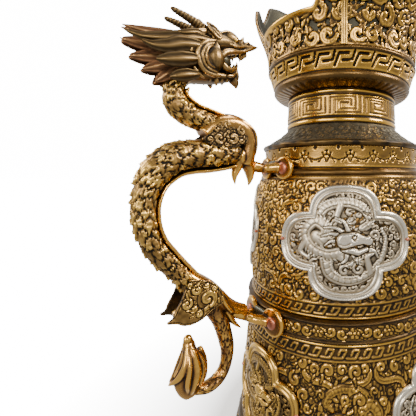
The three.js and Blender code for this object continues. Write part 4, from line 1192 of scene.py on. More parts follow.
def in_quatrefoil(x: float, y: float, half_width: float, half_height: float, grow: float = 0.0) -> bool:
    """Says whether a place lies inside a medallion's outline.

    Args:
        x: Across from the centre.
        y: Up from the centre.
        half_width: The medallion's half width.
        half_height: Its half height.
        grow: How far outside still counts.

    Returns:
        Whether it is inside.
    """
    w, h = half_width + grow, half_height + grow
    side = abs(x) / w, abs(y) / (h * 0.56)
    top = abs(x) / (w * 0.57), abs(y) / h
    return side[0] ** 2.6 + side[1] ** 2.6 < 1.0 or top[0] ** 2.6 + top[1] ** 2.6 < 1.0


def draw_dragon(relief: Relief, x: float, y: float, size: float, hand: int, height: float) -> None:
    """Chases a coiled dragon among clouds.

    Args:
        relief: The sheet that it is chased on.
        x: The coil's centre, along.
        y: The coil's centre, up.
        size: Half the width that it fills.
        hand: 1 faces right, -1 left.
        height: The relief's height.
    """
    body = [
        (0.14, 0.02), (-0.10, -0.20), (-0.42, -0.26), (-0.76, -0.10), (-0.88, 0.20), (-0.66, 0.44), (-0.40, 0.28),
        (-0.48, 0.04), (-0.62, 0.10),
    ]
    tail = [(-0.70, 0.40), (-0.42, 0.74), (0.02, 0.84), (0.40, 0.70), (0.54, 0.44), (0.36, 0.30)]
    belly = [(-0.44, -0.24), (-0.34, -0.66), (0.04, -0.82), (0.46, -0.70), (0.76, -0.40), (0.90, 0.02), (0.80, 0.28)]
    legs = [
        [(-0.16, -0.24), (0.06, -0.46), (0.24, -0.38)], [(-0.10, 0.78), (-0.18, 0.50), (0.02, 0.42)],
        [(0.52, -0.62), (0.46, -0.32), (0.62, -0.22)], [(-0.84, 0.02), (-0.98, -0.22), (-0.80, -0.34)],
    ]
    mane = [
        [(0.02, 0.16), (-0.20, 0.30), (-0.46, 0.30)], [(-0.06, 0.12), (-0.28, 0.18), (-0.50, 0.12)],
        [(0.08, 0.20), (-0.02, 0.42), (-0.22, 0.52)], [(-0.10, 0.0), (-0.30, 0.02), (-0.44, -0.08)],
        [(0.50, 0.02), (0.70, 0.10), (0.80, -0.04)], [(0.44, -0.16), (0.62, -0.20), (0.70, -0.34)],
        [(0.04, -0.22), (0.0, -0.38), (-0.14, -0.46)], [(0.18, -0.26), (0.24, -0.42), (0.16, -0.54)],
    ]

    def spot(points: Iterable[Sequence[float]]) -> list[tuple[float, float]]:
        """Puts shares of the size on the sheet."""
        return [(x + hand * a * size, y + b * size) for a, b in points]

    for run, first, last in ((tail, 0.13, 0.08), (belly, 0.14, 0.03), (body, 0.12, 0.15)):
        line = curve_through(spot(run), 40)
        half = np.linspace(first, last, 40) * size
        relief.stroke(line, half, height, moat=0.5)
        way = np.gradient(line, axis=0)
        way /= np.linalg.norm(way, axis=1, keepdims=True) + TINY
        normal = np.stack([-way[:, 1], way[:, 0]], axis=1) * half[:, None]
        relief.carve(line - normal * 0.42, size * 0.018, height * 0.3)
        for place in range(2, 38, 2):
            at, across, ahead = line[place], normal[place], way[place] * half[place]
            arc = [at + across * s + ahead * 0.5 * (1 - s * s) for s in (-0.35, 0.2, 0.85)]
            relief.carve(curve_through(arc, 6), size * 0.016, height * 0.2)
        for place in range(1, 39):
            at, across, ahead = line[place], normal[place], way[place] * half[place]
            root, tip = at + across * 0.8, at + across * 1.12 - ahead * 0.35
            relief.stroke([root, tip], [size * 0.03, size * 0.012], height * 0.95)
    for leg in legs:
        line = curve_through(spot(leg), 12)
        relief.stroke(line, np.linspace(0.085, 0.045, 12) * size, height * 1.05)
        for claw in (-0.9, -0.3, 0.3, 0.9):
            tip = line[-1] + size * 0.12 * np.array([math.cos(claw) * hand, math.sin(claw)])
            relief.stroke([line[-1], tip], [size * 0.022, size * 0.01], height * 1.2)
    for lock in mane:
        relief.stroke(
            curve_through(spot(lock), 12), np.linspace(0.055, 0.014, 12) * size, height * 1.15, moat=0.5, split=0.3,
        )
    head = (
        ([(0.0, -0.12), (0.26, -0.22), (0.44, -0.15)], [0.1, 0.065, 0.05], 1.25, 0.9, 0.0),
        ([(-0.02, 0.03), (0.18, 0.07), (0.38, 0.05), (0.50, 0.02)], [0.17, 0.15, 0.085, 0.09], 1.45, 0.9, 0.25),
        ([(0.12, 0.15), (0.24, 0.17)], [0.05, 0.03], 1.75, 0.0, 0.0),
        ([(0.19, 0.10), (0.191, 0.10)], [0.045, 0.045], 1.7, 0.6, 0.0),
        ([(0.48, 0.08), (0.52, 0.10)], [0.05, 0.035], 1.65, 0.0, 0.0),
    )
    for points, halves, rise, moat, flat in head:
        relief.stroke(spot(points), np.array(halves) * size, height * rise, moat, flat)
    relief.carve(curve_through(spot([(-0.12, -0.04), (-0.02, -0.07), (0.10, -0.02)]), 10), 0.02 * size, height * 0.5)
    for a, b, turn in (
        (-0.02, -0.60, 0.4), (0.28, -0.56, 2.2), (-0.66, -0.50, 1.2), (0.66, 0.62, 3.4), (-0.78, 0.72, 4.4),
        (0.62, 0.14, 5.2),
    ):
        relief.curl(x + hand * a * size, y + b * size, size * 0.13, turn, hand, size * 0.026, height * 0.8)


def off_medallions(angles: Iterable[float], turn: float, middle: float, size: Sequence[float], grow: float) -> Clear:
    """Makes the function that says whether a place is off the medallions.

    Args:
        angles: The medallions' places, in degrees from the sheet's start.
        turn: Millimetres to the radian.
        middle: The height of their middle on the sheet.
        size: Their half width and half height.
        grow: How far outside them still counts as on them.

    Returns:
        The function.
    """

    def clear(x: float, y: float) -> bool:
        """Says whether a place is off every medallion."""
        return not any(in_quatrefoil(x - math.radians(angle) * turn, y - middle, *size, grow) for angle in angles)

    return clear


def off_drawn(relief: Relief, before: np.ndarray, clear: Clear) -> Clear:
    """Makes the function that says whether a place is clear and nothing was drawn there since.

    Args:
        relief: The sheet.
        before: Its field before the drawing.
        clear: Says whether a place is free of other things.

    Returns:
        The function.
    """
    drawn = relief.field - before

    def free(x: float, y: float) -> bool:
        """Says whether a place is clear and was left as it was."""
        row, column = int(np.clip(y / relief.dy, 0, relief.rows - 1)), int(x / relief.dx) % relief.columns
        return clear(x, y) and abs(drawn[row, column]) <= 0.02

    return free


def main_scrolls(relief: Relief, girth: float, field: tuple[float, float], clear: Clear) -> None:
    """The large double scrolls, in the three staggered rows that the solids have too.

    Args:
        relief: The sheet.
        girth: How far it goes round.
        field: The lowest and the highest place of the rows.
        clear: Says whether a place is free.
    """
    count, rows = 2 * int(round(girth / 29.0 / 2)), 3
    for row in range(rows):
        for place in range(count):
            x = (place + (row % 2) / 2) / count * girth
            y = field[0] + (row + 0.5) / rows * (field[1] - field[0])
            if clear(x, y):
                relief.double_scroll(x, y, 26.0, 1 if place % 2 else -1, 2.6, 1.7)


@dataclass
class Vessel:
    """The stacked sections from the foot to the cup under the crown.

    Args:
        walls: The shared radii and heights.
        foot_petals: Petals round the foot.
        waist_rosettes: Rosettes round the waist ring.
        lappets: Lappets round the collar.
        neck_keys: Keys round the neck.
        cup_petals: Petals under the cup.
    """

    walls: Walls
    foot_petals: int = 44
    waist_rosettes: int = 22
    lappets: int = 26
    neck_keys: int = 11
    cup_petals: int = 54

    def build(self) -> None:
        """Builds each section."""
        self.foot()
        self.lower_body()
        self.waist()
        self.upper_body()
        self.collar()
        self.shoulder()
        self.neck()
        self.cup()

    def foot(self) -> None:
        """The flared foot with its row of lotus petals."""
        outer = [
            (112.0, 0.12), (113.0, 1.5), (113.0, 4.0), (112.0, 5.4), (109.5, 7.0), (106.6, 9.5), (105.6, 11.5),
            (107.4, 13.4), (109.0, 16.0), (109.0, 20.5), (107.6, 23.0), (105.6, 24.6), (105.0, 26.0),
        ]
        inner = [(102.6, 26.0), (102.6, 5.0), (102.9, 0.0)]
        foot = TurnedWall("foot_shell", outer, inner, 1.15, Finish.GROUND, ["foot_ring"], height=0.9, smooth=1, seed=11)
        relief, count = foot.relief, self.foot_petals
        for place in range(count):
            x = (place + 0.5) * relief.width / count
            petal = [(x - 5.4, 5.6), (x - 5.6, 10.0), (x, 13.4), (x + 5.6, 10.0), (x + 5.4, 5.6)]
            relief.stroke(curve_through(petal, 20), 0.8, 0.7)
            relief.stroke([(x, 6.0), (x, 9.5)], [2.0, 1.2], 0.6)
        relief.beads(22.0, 5.0, 1.9, 0.9)
        relief.field -= 0.9 * (np.arange(relief.rows) * relief.dy < 6.0)[:, None] * (relief.field > 0)
        relief.hammered(0.08, 9.0)
        foot.build()

    def lower_body(self) -> None:
        """The lower body: dragons and double scrolls between the medallions, under a fret of hooks."""
        w = self.walls
        heights = np.linspace(w.foot_top, w.waist, 24)
        outer = [(float(w.lower_radius(z)), float(z)) for z in heights]
        inner = [(93.6, w.waist), (100.2, w.foot_top)]
        body = TurnedWall("lower_body_shell", outer, inner, 0.88, Finish.GROUND, ["lower_body"], height=1.1, seed=21)
        relief, turn = body.relief, body.relief.width / math.tau
        clear = off_medallions(range(0, 361, 90), turn, LOWER_MIDDLE - w.foot_top, LOWER_FRAME, 1.5)
        relief.pebbles(5.0, 0.55)
        relief.scrolls((0, relief.width, 4.0, 89.0), 8.2, 5.6, 0.4, 0.95, clear)
        bare = relief.field.copy()
        main_scrolls(relief, relief.width, (8.9, 85.6), clear)
        for eighth in range(4):
            middle = math.radians(45 + 90 * eighth) * turn
            draw_dragon(relief, middle, 45.0, 30.0, 1 if eighth % 2 else -1, 1.7)
        relief.scrolls((0, relief.width, 5.0, 88.0), 11.6, 7.6, 1.35, 1.4, off_drawn(relief, bare, clear))
        relief.plain(88.2, relief.height, 0.35)
        relief.rail(89.0, 0.9, 1.2)
        relief.hooks(91.2, 97.8, 62, 0.95, 1.1, lean=4.0)
        relief.rail(100.0, 0.9, 1.2)
        relief.rail(2.2, 1.2, 0.8)
        relief.hammered(0.14, 12.0)
        body.build()

    def waist(self) -> None:
        """The waist ring with its leaf scrolls and rosettes between two mouldings."""
        outer = [
            (96.6, 127.0), (98.9, 127.7), (99.7, 128.9), (98.9, 130.1), (97.9, 130.6), (98.3, 136.0), (97.9, 141.4),
            (98.9, 141.9), (99.7, 143.1), (98.9, 144.3), (95.0, 145.0),
        ]
        ring = TurnedWall(
            "waist_band", outer, [(92.1, 145.0), (93.6, 127.0)], 0.7, Finish.GROUND, ["waist_ring"], height=0.9,
            smooth=2, seed=31,
        )
        relief = ring.relief
        middle, count = relief.height / 2, self.waist_rosettes
        relief.plain(middle - 6.2, middle + 6.2, 0.45)
        for place in range(count):
            x, unit = place * relief.width / count, relief.width / count
            relief.rosette(x, middle, 4.9, 6, 1.05)
            for hand in (-1, 1):
                turn = math.pi * (hand > 0) + hand * 0.5
                relief.leaf(x + unit * (0.5 - hand * 0.15), middle + hand * 0.8, 6.6, turn, hand, 1.15)
                bud = [(x + unit * (0.5 + hand * a), middle + hand * b) for a, b in ((0.2, 4.4), (0.32, 3.4))]
                relief.stroke(bud, [1.5, 0.7], 0.95, moat=0.6)
        relief.hammered(0.06, 8.0)
        ring.build()

    def upper_body(self) -> None:
        """The upper body: double scrolls and leaves round the silver medallions, over a fret of hooks."""
        w = self.walls
        heights = np.linspace(w.upper, w.collar, 24)
        outer = [(float(w.upper_radius(z)), float(z)) for z in heights]
        inner = [(82.6, w.collar), (89.9, 224.0), (92.1, w.upper)]
        body = TurnedWall("upper_body_shell", outer, inner, 0.88, Finish.GROUND, ["upper_body"], height=1.1, seed=41)
        relief, turn = body.relief, body.relief.width / math.tau
        clear = off_medallions(range(-45, 361, 90), turn, UPPER_MIDDLE - w.upper, UPPER_FRAME, 1.0)
        relief.pebbles(4.6, 0.6)
        relief.scrolls((0, relief.width, 12.0, 110.0), 8.2, 5.6, 0.4, 0.95, clear)
        bare = relief.field.copy()
        main_scrolls(relief, relief.width, (15.4, 106.0), clear)
        relief.scrolls((0, relief.width, 14.0, 109.0), 11.0, 7.4, 1.3, 1.4, off_drawn(relief, bare, clear))
        relief.plain(0.0, 12.4, 0.35)
        relief.rail(1.2, 0.9, 1.2)
        relief.hooks(3.4, 10.0, 58, 0.95, 1.1, lean=4.0)
        relief.rail(12.2, 0.9, 1.2)
        relief.plain(109.2, relief.height, 0.6)
        relief.rail(111.4, 1.0, 0.9)
        relief.hammered(0.14, 12.0)
        body.build()

    def collar(self) -> None:
        """The collar with its cloud lappets and their pendants."""
        outer = [
            (85.0, 258.0), (85.9, 258.8), (86.0, 260.2), (85.6, 261.6), (84.0, 262.6), (81.9, 263.8), (81.0, 264.4),
            (80.8, 272.0), (81.2, 279.6), (81.5, 282.0),
        ]
        ring = TurnedWall(
            "lappet_collar_band", outer, [(79.1, 282.0), (79.1, 258.0)], 0.66, Finish.GROUND, ["lappet_collar"],
            height=1.0, smooth=1, seed=51, rest=0.36,
        )
        relief, count = ring.relief, self.lappets
        middle, pitch = relief.height - 10.6, relief.width / count
        relief.plain(middle - 7.0, relief.height, 0.7)
        for place in range(count):
            x = (place + 0.5) * pitch
            relief.drill(x, middle + 6.6, 1.35, 1.1)
            relief.carve([(x, middle + 5.6), (x, middle + 3.4)], 0.6, 0.9)
            relief.drill(x + pitch / 2, middle + 9.4, 1.7, 1.0)
            for hand in (-1, 1):
                arms = (
                    [(0.0, 3.6), (1.2, 3.3), (2.6, 2.6), (3.3, 3.4), (3.7, 4.9)],
                    [(2.6, 2.6), (3.8, 1.0), (5.2, 0.3), (7.6, -0.4), (9.9, -0.9)],
                    [(2.6, 2.6), (2.2, 0.8), (1.2, -0.6), (0.6, -2.2)], [(5.2, 0.3), (6.0, -1.6), (7.4, -2.6)],
                )
                for arm in arms:
                    line = np.asarray(arm) * [hand, 1.0] + [x, middle]
                    relief.carve(curve_through(line, 16), 0.62, 0.85)
        relief.groove(middle - 7.6, 1.0, 0.7)
        relief.hammered(0.06, 8.0)
        ring.build()

    def shoulder(self) -> None:
        """The dark shoulder slope between a bright lip and the neck's foot."""
        outer = [(81.5, 282.0), (83.4, 283.0), (84.0, 284.6), (84.0, 286.0), (83.2, 287.2), (81.0, 287.8)]
        ring = TurnedWall(
            "shoulder_lip", outer, [(80.0, 287.3), (79.1, 284.0), (79.1, 282.0)], 1.0, Finish.GILT, [], height=0.8,
            smooth=2, seed=61,
        )
        ring.relief.hammered(0.12, 7.0)
        ring.build()
        slope = [(80.9, 287.6), (74.0, 291.6), (66.0, 297.2), (60.8, 302.2), (58.4, 305.5)]
        inner = [(55.6, 305.5), (55.6, 303.1), (79.1, 284.4), (79.8, 287.1)]
        wall = TurnedWall(
            "shoulder_slope", slope, inner, 1.15, Finish.DARK, ["shoulder"], height=0.6, smooth=1, seed=62,
        )
        relief = wall.relief
        relief.scrolls((0, relief.width, 3.0, relief.height - 4.0), 9.0, 4.8, 0.7, 0.5)
        relief.hammered(0.1, 7.0)
        wall.build()

    def neck(self) -> None:
        """The neck with its band of large keys."""
        outer = [(58.0, 305.5), (58.0, 308.0), (57.6, 322.0), (57.2, 335.0), (57.0, 338.0)]
        band = TurnedWall(
            "neck_band", outer, [(54.6, 338.0), (55.6, 305.5)], 0.76, Finish.GROUND, ["neck"], height=0.9, seed=71,
            rest=0.36,
        )
        relief = band.relief
        relief.rail(3.0, 1.8, 1.1)
        relief.rail(29.6, 1.3, 0.8)
        relief.plain(6.4, 26.4, 0.7)
        relief.groove(6.6, 0.8, 0.6)
        relief.groove(26.4, 0.8, 0.6)
        pitch = relief.width / self.neck_keys
        grooves = (
            ([(0.02, 0.1), (0.02, 0.9), (0.74, 0.9), (0.74, 0.3), (0.3, 0.3), (0.3, 0.62), (0.5, 0.62)], 0.8, 0.45),
            ([(0.16, 0.1), (0.16, 0.76), (0.6, 0.76), (0.6, 0.46)], 0.7, 0.4),
            ([(0.16, 0.1), (0.88, 0.1), (0.88, 0.9)], 0.8, 0.45),
        )
        for key in range(self.neck_keys):
            for shares, half, depth in grooves:
                relief.carve([((key + a) * pitch, 7.4 + b * 18.0) for a, b in shares], half, depth)
        relief.hammered(0.12, 9.0)
        band.build()

    def cup(self) -> None:
        """The cup: petals under it, a torus, a deep fret of hooks and a moulding."""
        outer = [
            (57.2, 338.0), (62.0, 339.0), (67.0, 339.9), (70.4, 341.0), (72.2, 342.4), (73.0, 344.4), (72.8, 346.4),
            (72.0, 347.8), (72.6, 348.6), (74.4, 355.0), (76.4, 362.0), (77.6, 362.9), (79.0, 364.0), (79.0, 365.2),
            (78.0, 366.0),
        ]
        inner = [(73.2, 366.0), (68.2, 348.0), (65.8, 342.0), (54.6, 342.0), (54.6, 338.0)]
        cup = TurnedWall(
            "crown_cup_shell", outer, inner, 0.8, Finish.GROUND, ["crown_cup"], height=1.0, smooth=1, seed=81,
            rest=0.34,
        )
        relief = cup.relief
        for place in range(self.cup_petals):
            x = (place + 0.5) * relief.width / self.cup_petals
            relief.stroke([(x, 3.0), (x, 11.0)], [2.6, 3.4], 0.35)
        relief.plain(22.6, 38.0, 0.9)
        relief.hooks(24.6, 37.2, 28, 1.2, 2.0, lean=1.9)
        relief.groove(22.4, 0.9, 0.6)
        relief.hammered(0.08, 8.0)
        cup.build()


# The crown


RIM = [
    (0, 32), (27, 32), (36, 50), (42, 70), (45, 76), (48, 75), (55, 68), (61, 80), (68, 101), (78, 107), (90, 109),
    (102, 107), (112, 101), (119, 80), (125, 68), (132, 75), (135, 76), (146, 95), (158, 115), (170, 127), (180, 138),
]


def rim_height(angle: Any) -> np.ndarray:
    """The gallery's height above the cup, by the angle from the handle's side in radians.

    Args:
        angle: The angle or angles.

    Returns:
        The height at each, in millimetres.
    """
    degrees = np.abs((np.degrees(np.asarray(angle, float)) + 180.0) % 360.0 - 180.0)
    steps = np.asarray(RIM, float)
    return np.interp(degrees, steps[:, 0], steps[:, 1])


def connected(keep: np.ndarray, start: np.ndarray) -> np.ndarray:
    """The kept cells that a start reaches through kept cells.

    Args:
        keep: Which cells are kept.
        start: Cells to start from.

    Returns:
        The cells that hold together.
    """
    reached = keep & start
    while True:
        grown = reached.copy()
        grown[1:] |= reached[:-1]
        grown[:-1] |= reached[1:]
        grown[:, 1:] |= reached[:, :-1]
        grown[:, :-1] |= reached[:, 1:]
        grown &= keep
        if (grown == reached).all():
            return reached
        reached = grown


def held_below(keep: np.ndarray, rows: int) -> np.ndarray:
    """The kept cells that hold to the lowest rows.

    Args:
        keep: The kept cells.
        rows: How many rows count as the lowest.

    Returns:
        The cells that hold.
    """
    start = np.zeros_like(keep)
    start[:rows] = True
    return connected(keep, start)


@dataclass
class Crown:
    """The pierced gallery that rises from the cup, with its straps and its plain liner.

    Args:
        walls: The shared radii and heights.
        strap_width: The straps' width in millimetres.
        cell: The size of a relief cell.
        arc_radius: The radius on which the flat panels are laid out.
    """

    walls: Walls
    strap_width: float = 15.0
    cell: float = 0.78
    arc_radius: float = 84.0

    def build(self) -> None:
        """Builds the panels, the straps and the liner."""
        names = ["gallery_handle_side", "gallery_right", "gallery_spout_side", "gallery_left"]
        for number, name in enumerate(names):
            self.panel(name, math.radians(-45 + 90 * number), number)
        for number in range(4):
            self.strap(number)
        self.liner()

    def _placed(self, start: float, proud: float) -> Place:
        """Makes the function that bends a flat panel to the gallery's curve.

        Args:
            start: The angle of the panel's left edge.
            proud: How far the sheet stands off the gallery's surface.

        Returns:
            The function.
        """

        def place(x: np.ndarray, y: np.ndarray, lift: np.ndarray) -> np.ndarray:
            """Puts a flat place on the gallery."""
            z = self.walls.gallery + y
            return around(start + x / self.arc_radius, self.walls.gallery_radius(z) + proud + lift, z)

        return place

    def panel(self, name: str, start: float, number: int) -> None:
        """One pierced panel of scrolls under a rolled rim.

        Args:
            name: The CAD node that it stands for.
            start: The angle of its left edge.
            number: Its place round the crown.
        """
        width = math.pi / 2 * self.arc_radius
        top = float(rim_height(np.linspace(start, start + math.pi / 2, 91)).max())
        relief = Relief(width, top + 2.0, self.cell, False, 91 + number)
        xs = np.arange(relief.columns) * relief.dx
        rim = rim_height(start + xs / self.arc_radius)
        relief.field += 0.5
        relief.floor = 0.36

        def under(x: float, y: float) -> bool:
            """Says whether a place is under the rim, or just over it."""
            return y < float(np.interp(x, xs, rim)) + 4.0

        relief.scrolls((-2.0, width + 2.0, -4.0, top), 12.5, 8.0, 0.9, 1.0, under)
        relief.scrolls((2.0, width - 2.0, 3.0, top + 4.0), 17.5, 12.6, 1.7, 1.6, under)
        low = np.argwhere(relief.field < 0.55)
        for row, column in low[relief.random.permutation(len(low))[:520]]:
            if relief.field[row, column] < 0.55:
                x, y = column * relief.dx, row * relief.dy
                relief.carve([(x, y), (x + 0.7, y + 0.9)], 1.35, 0.9)
        relief.stroke([(0, 1.2), (width, 1.2)], 1.6, 1.0)
        relief.stroke([(0.8, 0), (0.8, top)], 1.4, 0.9)
        relief.stroke([(width - 0.8, 0), (width - 0.8, top)], 1.4, 0.9)
        relief.stroke(np.stack([xs, rim - 1.6], axis=1), 2.7, 2.3)
        _, ys, mid = relief.cells()
        keep = held_below((ys < (rim[:-1] + rim[1:])[None] / 2) & (mid > 0.3), 1)
        sheet = pierced_sheet(relief, keep, self._placed(start, -0.9), 0.75, 1.2)
        piece = MeshParts().add(*sheet).piece(f"{name}_openwork", Finish.GROUND)
        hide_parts(name)

    def strap(self, number: int) -> None:
        """One strap: a stem with leaves that opens into a palmette.

        Args:
            number: Which corner it covers.
        """
        top, half = 77.0, self.strap_width / 2
        relief = Relief(self.strap_width, top, 0.55, False, 120 + number)
        for y, reach in ((12.0, 5.4), (25.0, 6.0), (38.0, 6.4), (50.0, 6.6), (62.0, 6.0)):
            for side in (-1, 1):
                leaf = [(0.6, y - 6), (reach * 0.55, y), (reach - 2.2, y + 3.0)]
                relief.stroke([(half + side * a, b) for a, b in leaf], [1.4, 3.0, 2.0], 1.2, moat=0.6, flat=0.2)
                for inset in (0.0, 1.7):
                    arc = [
                        (1.2, y - 4.0 + inset), (reach - 1.6 - inset * 0.6, y - 2.0 + inset),
                        (reach - 2.0 - inset, y + 3.0),
                    ]
                    relief.carve(curve_through([(half + side * a, b) for a, b in arc], 12), 0.45, 0.8)
        for off in (-1.9, 0.0, 1.9):
            relief.stroke([(half + off, 0.0), (half + off, 58.0), (half + off * 0.5, 68.0)], 1.0, 1.6 if off else 1.9)
        relief.stroke([(half, 62.0), (half, 74.5)], [1.6, 0.5], 1.7)
        relief.dot(half, 1.5, 3.0, 1.2)
        keep = held_below(relief.cells()[2] > 0.25, 4)
        angle = math.radians(-45 + 90 * number) - half / self.arc_radius
        sheet = pierced_sheet(relief, keep, self._placed(angle, 0.3), 0.7, 1.4)
        piece = MeshParts().add(*sheet).piece(f"gallery_palmette_{number + 1}", Finish.GILT)
        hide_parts(f"gallery_strap_{number + 1}")

    def liner(self) -> None:
        """The plain liner, cut to the same rim, whose dark finish paints the shade seen through the openwork."""
        columns, rows = 240, 22
        angles = np.arange(columns) / columns * math.tau
        top = rim_height(angles) - 0.4
        share = np.linspace(0.0, 1.0, rows)[:, None]
        z = self.walls.gallery + share * top[None]
        outer = around(angles[None], self.walls.gallery_radius(z) - 1.9, z).reshape(-1, 3)
        inner = around(angles[None], self.walls.gallery_radius(z) - 3.0, z)[::-1].reshape(-1, 3)
        parts = MeshParts().add(np.vstack([outer, inner]), ring_faces(2 * rows, columns), 0.45)
        piece = parts.piece("crown_liner_sheet", Finish.LINER)
        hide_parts("crown_liner")


# The medallions


def quatrefoil(half_width: float, half_height: float, inset: float, steps: int = 26) -> np.ndarray:
    """A medallion's outline: four lobes that meet at cusps.

    Args:
        half_width: Its half width.
        half_height: Its half height.
        inset: How far inside it the line runs.
        steps: Points to the lobe.

    Returns:
        Across and up, one row to the point.
    """
    cusp_x, cusp_y = half_width * 0.54 - inset, half_height * 0.53 - inset
    beside, above = (half_width - inset - cusp_x, cusp_y), (cusp_x, half_height - inset - cusp_y)
    lobes = [
        ((cusp_x, 0.0), beside, -0.5), ((0.0, cusp_y), above, 0.0), ((-cusp_x, 0.0), beside, 0.5),
        ((0.0, -cusp_y), above, 1.0),
    ]
    rows = []
    for centre, size, turn in lobes:
        angle = (turn + np.arange(steps) / steps) * math.pi
        c, s = np.cos(angle), np.sin(angle)
        xs, ys = (centre[i] + size[i] * np.sign(way) * np.abs(way) ** 0.8 for i, way in enumerate((c, s)))
        rows.append(np.stack([xs, ys], 1))
    return np.vstack(rows)


def inside_outline(x: np.ndarray, y: np.ndarray, outline: np.ndarray) -> np.ndarray:
    """Says which places lie inside a closed outline.

    Args:
        x: Across.
        y: Up.
        outline: The outline's points.

    Returns:
        One answer to the place.
    """
    inside = np.zeros(x.shape, bool)
    after = np.roll(outline, -1, axis=0)
    for (x0, y0), (x1, y1) in zip(outline, after):
        crosses = (y0 > y) != (y1 > y)
        inside ^= crosses & (x < (x1 - x0) * (y - y0) / (y1 - y0 + 1e-12) + x0)
    return inside


@dataclass
class Medallion:
    """A framed, pierced plaque on a curved wall.

    Args:
        prefix: The start of its CAD nodes' names.
        number: Its number among them.
        angle: Its place, in radians from the handle.
        z: The height of its centre.
        half_width: Its half width.
        half_height: Its half height.
        radius: The wall's radius by height.
        finish: Its metal.
        slot: A slot name, handed on to its pieces.
        fit: How far the plaque and the frame stand off the wall.
        frame_width: The frame's width.
    """

    prefix: str
    number: int
    angle: float
    z: float
    half_width: float
    half_height: float
    radius: Callable[[Any], Any]
    finish: Finish
    slot: str
    fit: float = 0.7
    frame_width: float = 6.5

    def build(self) -> None:
        """Builds the frame, the plaque and the two small rivets."""
        self.frame()
        self.plaque()
        self.studs()

    def _place(self, x: np.ndarray, y: np.ndarray, lift: Any) -> np.ndarray:
        """Bends a flat place onto the wall."""
        turn = float(self.radius(self.z))
        return around(self.angle + x / turn, self.radius(self.z + y) + self.fit + lift, self.z + y)

    def frame(self) -> None:
        """The frame: a broad ridge outside, a channel and a fine bead inside."""
        section = [
            (0.0, -0.5), (0.05, 0.9), (0.35, 1.9), (0.9, 2.7), (1.6, 3.1), (2.3, 2.9), (2.9, 2.3), (3.3, 1.7),
            (3.7, 1.5), (4.2, 1.7), (4.7, 2.3), (5.2, 2.5), (5.7, 2.2), (6.2, 1.5), (6.5, 0.8), (6.5, -0.5),
        ]
        rings = []
        for inset, lift in section:
            line = quatrefoil(self.half_width, self.half_height, inset)
            rings.append(self._place(line[:, 0], line[:, 1], lift))
        count = len(rings[0])
        lifts = np.array([lift for _, lift in section])
        # Painted highlight and shade: the higher parts of the frame's section are lighter, the lower ones darker.
        shade = np.repeat(np.clip(0.2 + lifts / 3.6, 0, 1), count)
        parts = MeshParts().add(np.vstack(rings), ring_faces(len(section), count), shade)
        piece = parts.piece(f"{self.prefix}_border_{self.number}", self.finish, slot=self.slot)
        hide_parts(f"{self.prefix}_frame_{self.number}")

    def plaque(self) -> None:
        """The pierced plaque: a coiled dragon among scrolls."""
        inset = self.frame_width - 0.2
        width, height = 2 * (self.half_width - inset), 2 * (self.half_height - inset)
        relief = Relief(width, height, 0.6, False, 200 + self.number + int(self.z))
        middle = np.array([width, height]) / 2
        outline = quatrefoil(self.half_width, self.half_height, inset) + middle
        dragon = (relief, width * 0.5, height * 0.5, height * 0.47, 1 if self.number % 2 else -1, 1.6)
        relief.field += 0.34
        draw_dragon(*dragon)
        drawn = relief.field.copy()

        def free(x: float, y: float) -> bool:
            """Keeps scrolls off the dragon.

            Args:
                x: The place along the plaque.
                y: The place up the plaque.

            Returns:
                Whether a scroll may stand there.
            """
            row = int(np.clip(y / relief.dy, 0, relief.rows - 1))
            column = int(np.clip(x / relief.dx, 0, relief.columns - 1))
            return drawn[row, column] <= 0.4

        relief.scrolls((0, width, 0, height), 7.6, 5.0, 0.6, 0.9, free)
        draw_dragon(*dragon)
        closed = np.vstack([outline, outline[:1]])
        relief.stroke(closed, 1.5, 0.8, flat=0.3)
        xs, ys, mid = relief.cells()
        within = inside_outline(xs, ys, outline)
        rim = within & ~inside_outline(xs, ys, (outline - middle) * 0.95 + middle)
        keep = connected(within & (mid > 0.22), rim)

        def place(x: np.ndarray, y: np.ndarray, lift: np.ndarray) -> np.ndarray:
            """Puts the plaque's places on the wall."""
            return self._place(x - width / 2, y - height / 2, lift + 0.5)

        parts = MeshParts().add(*pierced_sheet(relief, keep, place, 0.45, 1.3, tidy=5))
        piece = parts.piece(f"{self.prefix}_dragon_{self.number}", self.finish, slot=self.slot)
        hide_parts(f"{self.prefix}_plaque_{self.number}")

    def studs(self) -> None:
        """Two copper studs through the frame's side lobes."""
        parts = MeshParts()
        reach = self.half_width - 1.7
        for side in (-1, 1):
            centre = self._place(np.array([side * reach]), np.array([0.0]), 2.2)[0]
            out = around(self.angle + side * reach / float(self.radius(self.z)), 1.0, 0.0)
            path = centre + np.outer([-1.5, 0.3, 1.1, 1.5, 1.6], out)
            parts.add(*tube(path, [1.7, 1.75, 1.4, 0.7, 0.1], (0.0, 0.0, 1.0), 1.0, 14), 0.6)
        parts.piece(f"{self.prefix}_studs_{self.number}", Finish.COPPER, slot="copper")


# The dragon handle


def on_plane(r: Any, z: Any, y: Any = 0.0) -> np.ndarray:
    """Points in millimetres from the distance to the axis on the handle's side, the height and the distance aside."""
    r, z, y = np.broadcast_arrays(np.asarray(r, float), z, y)
    return np.stack([-r, y, z], axis=-1)


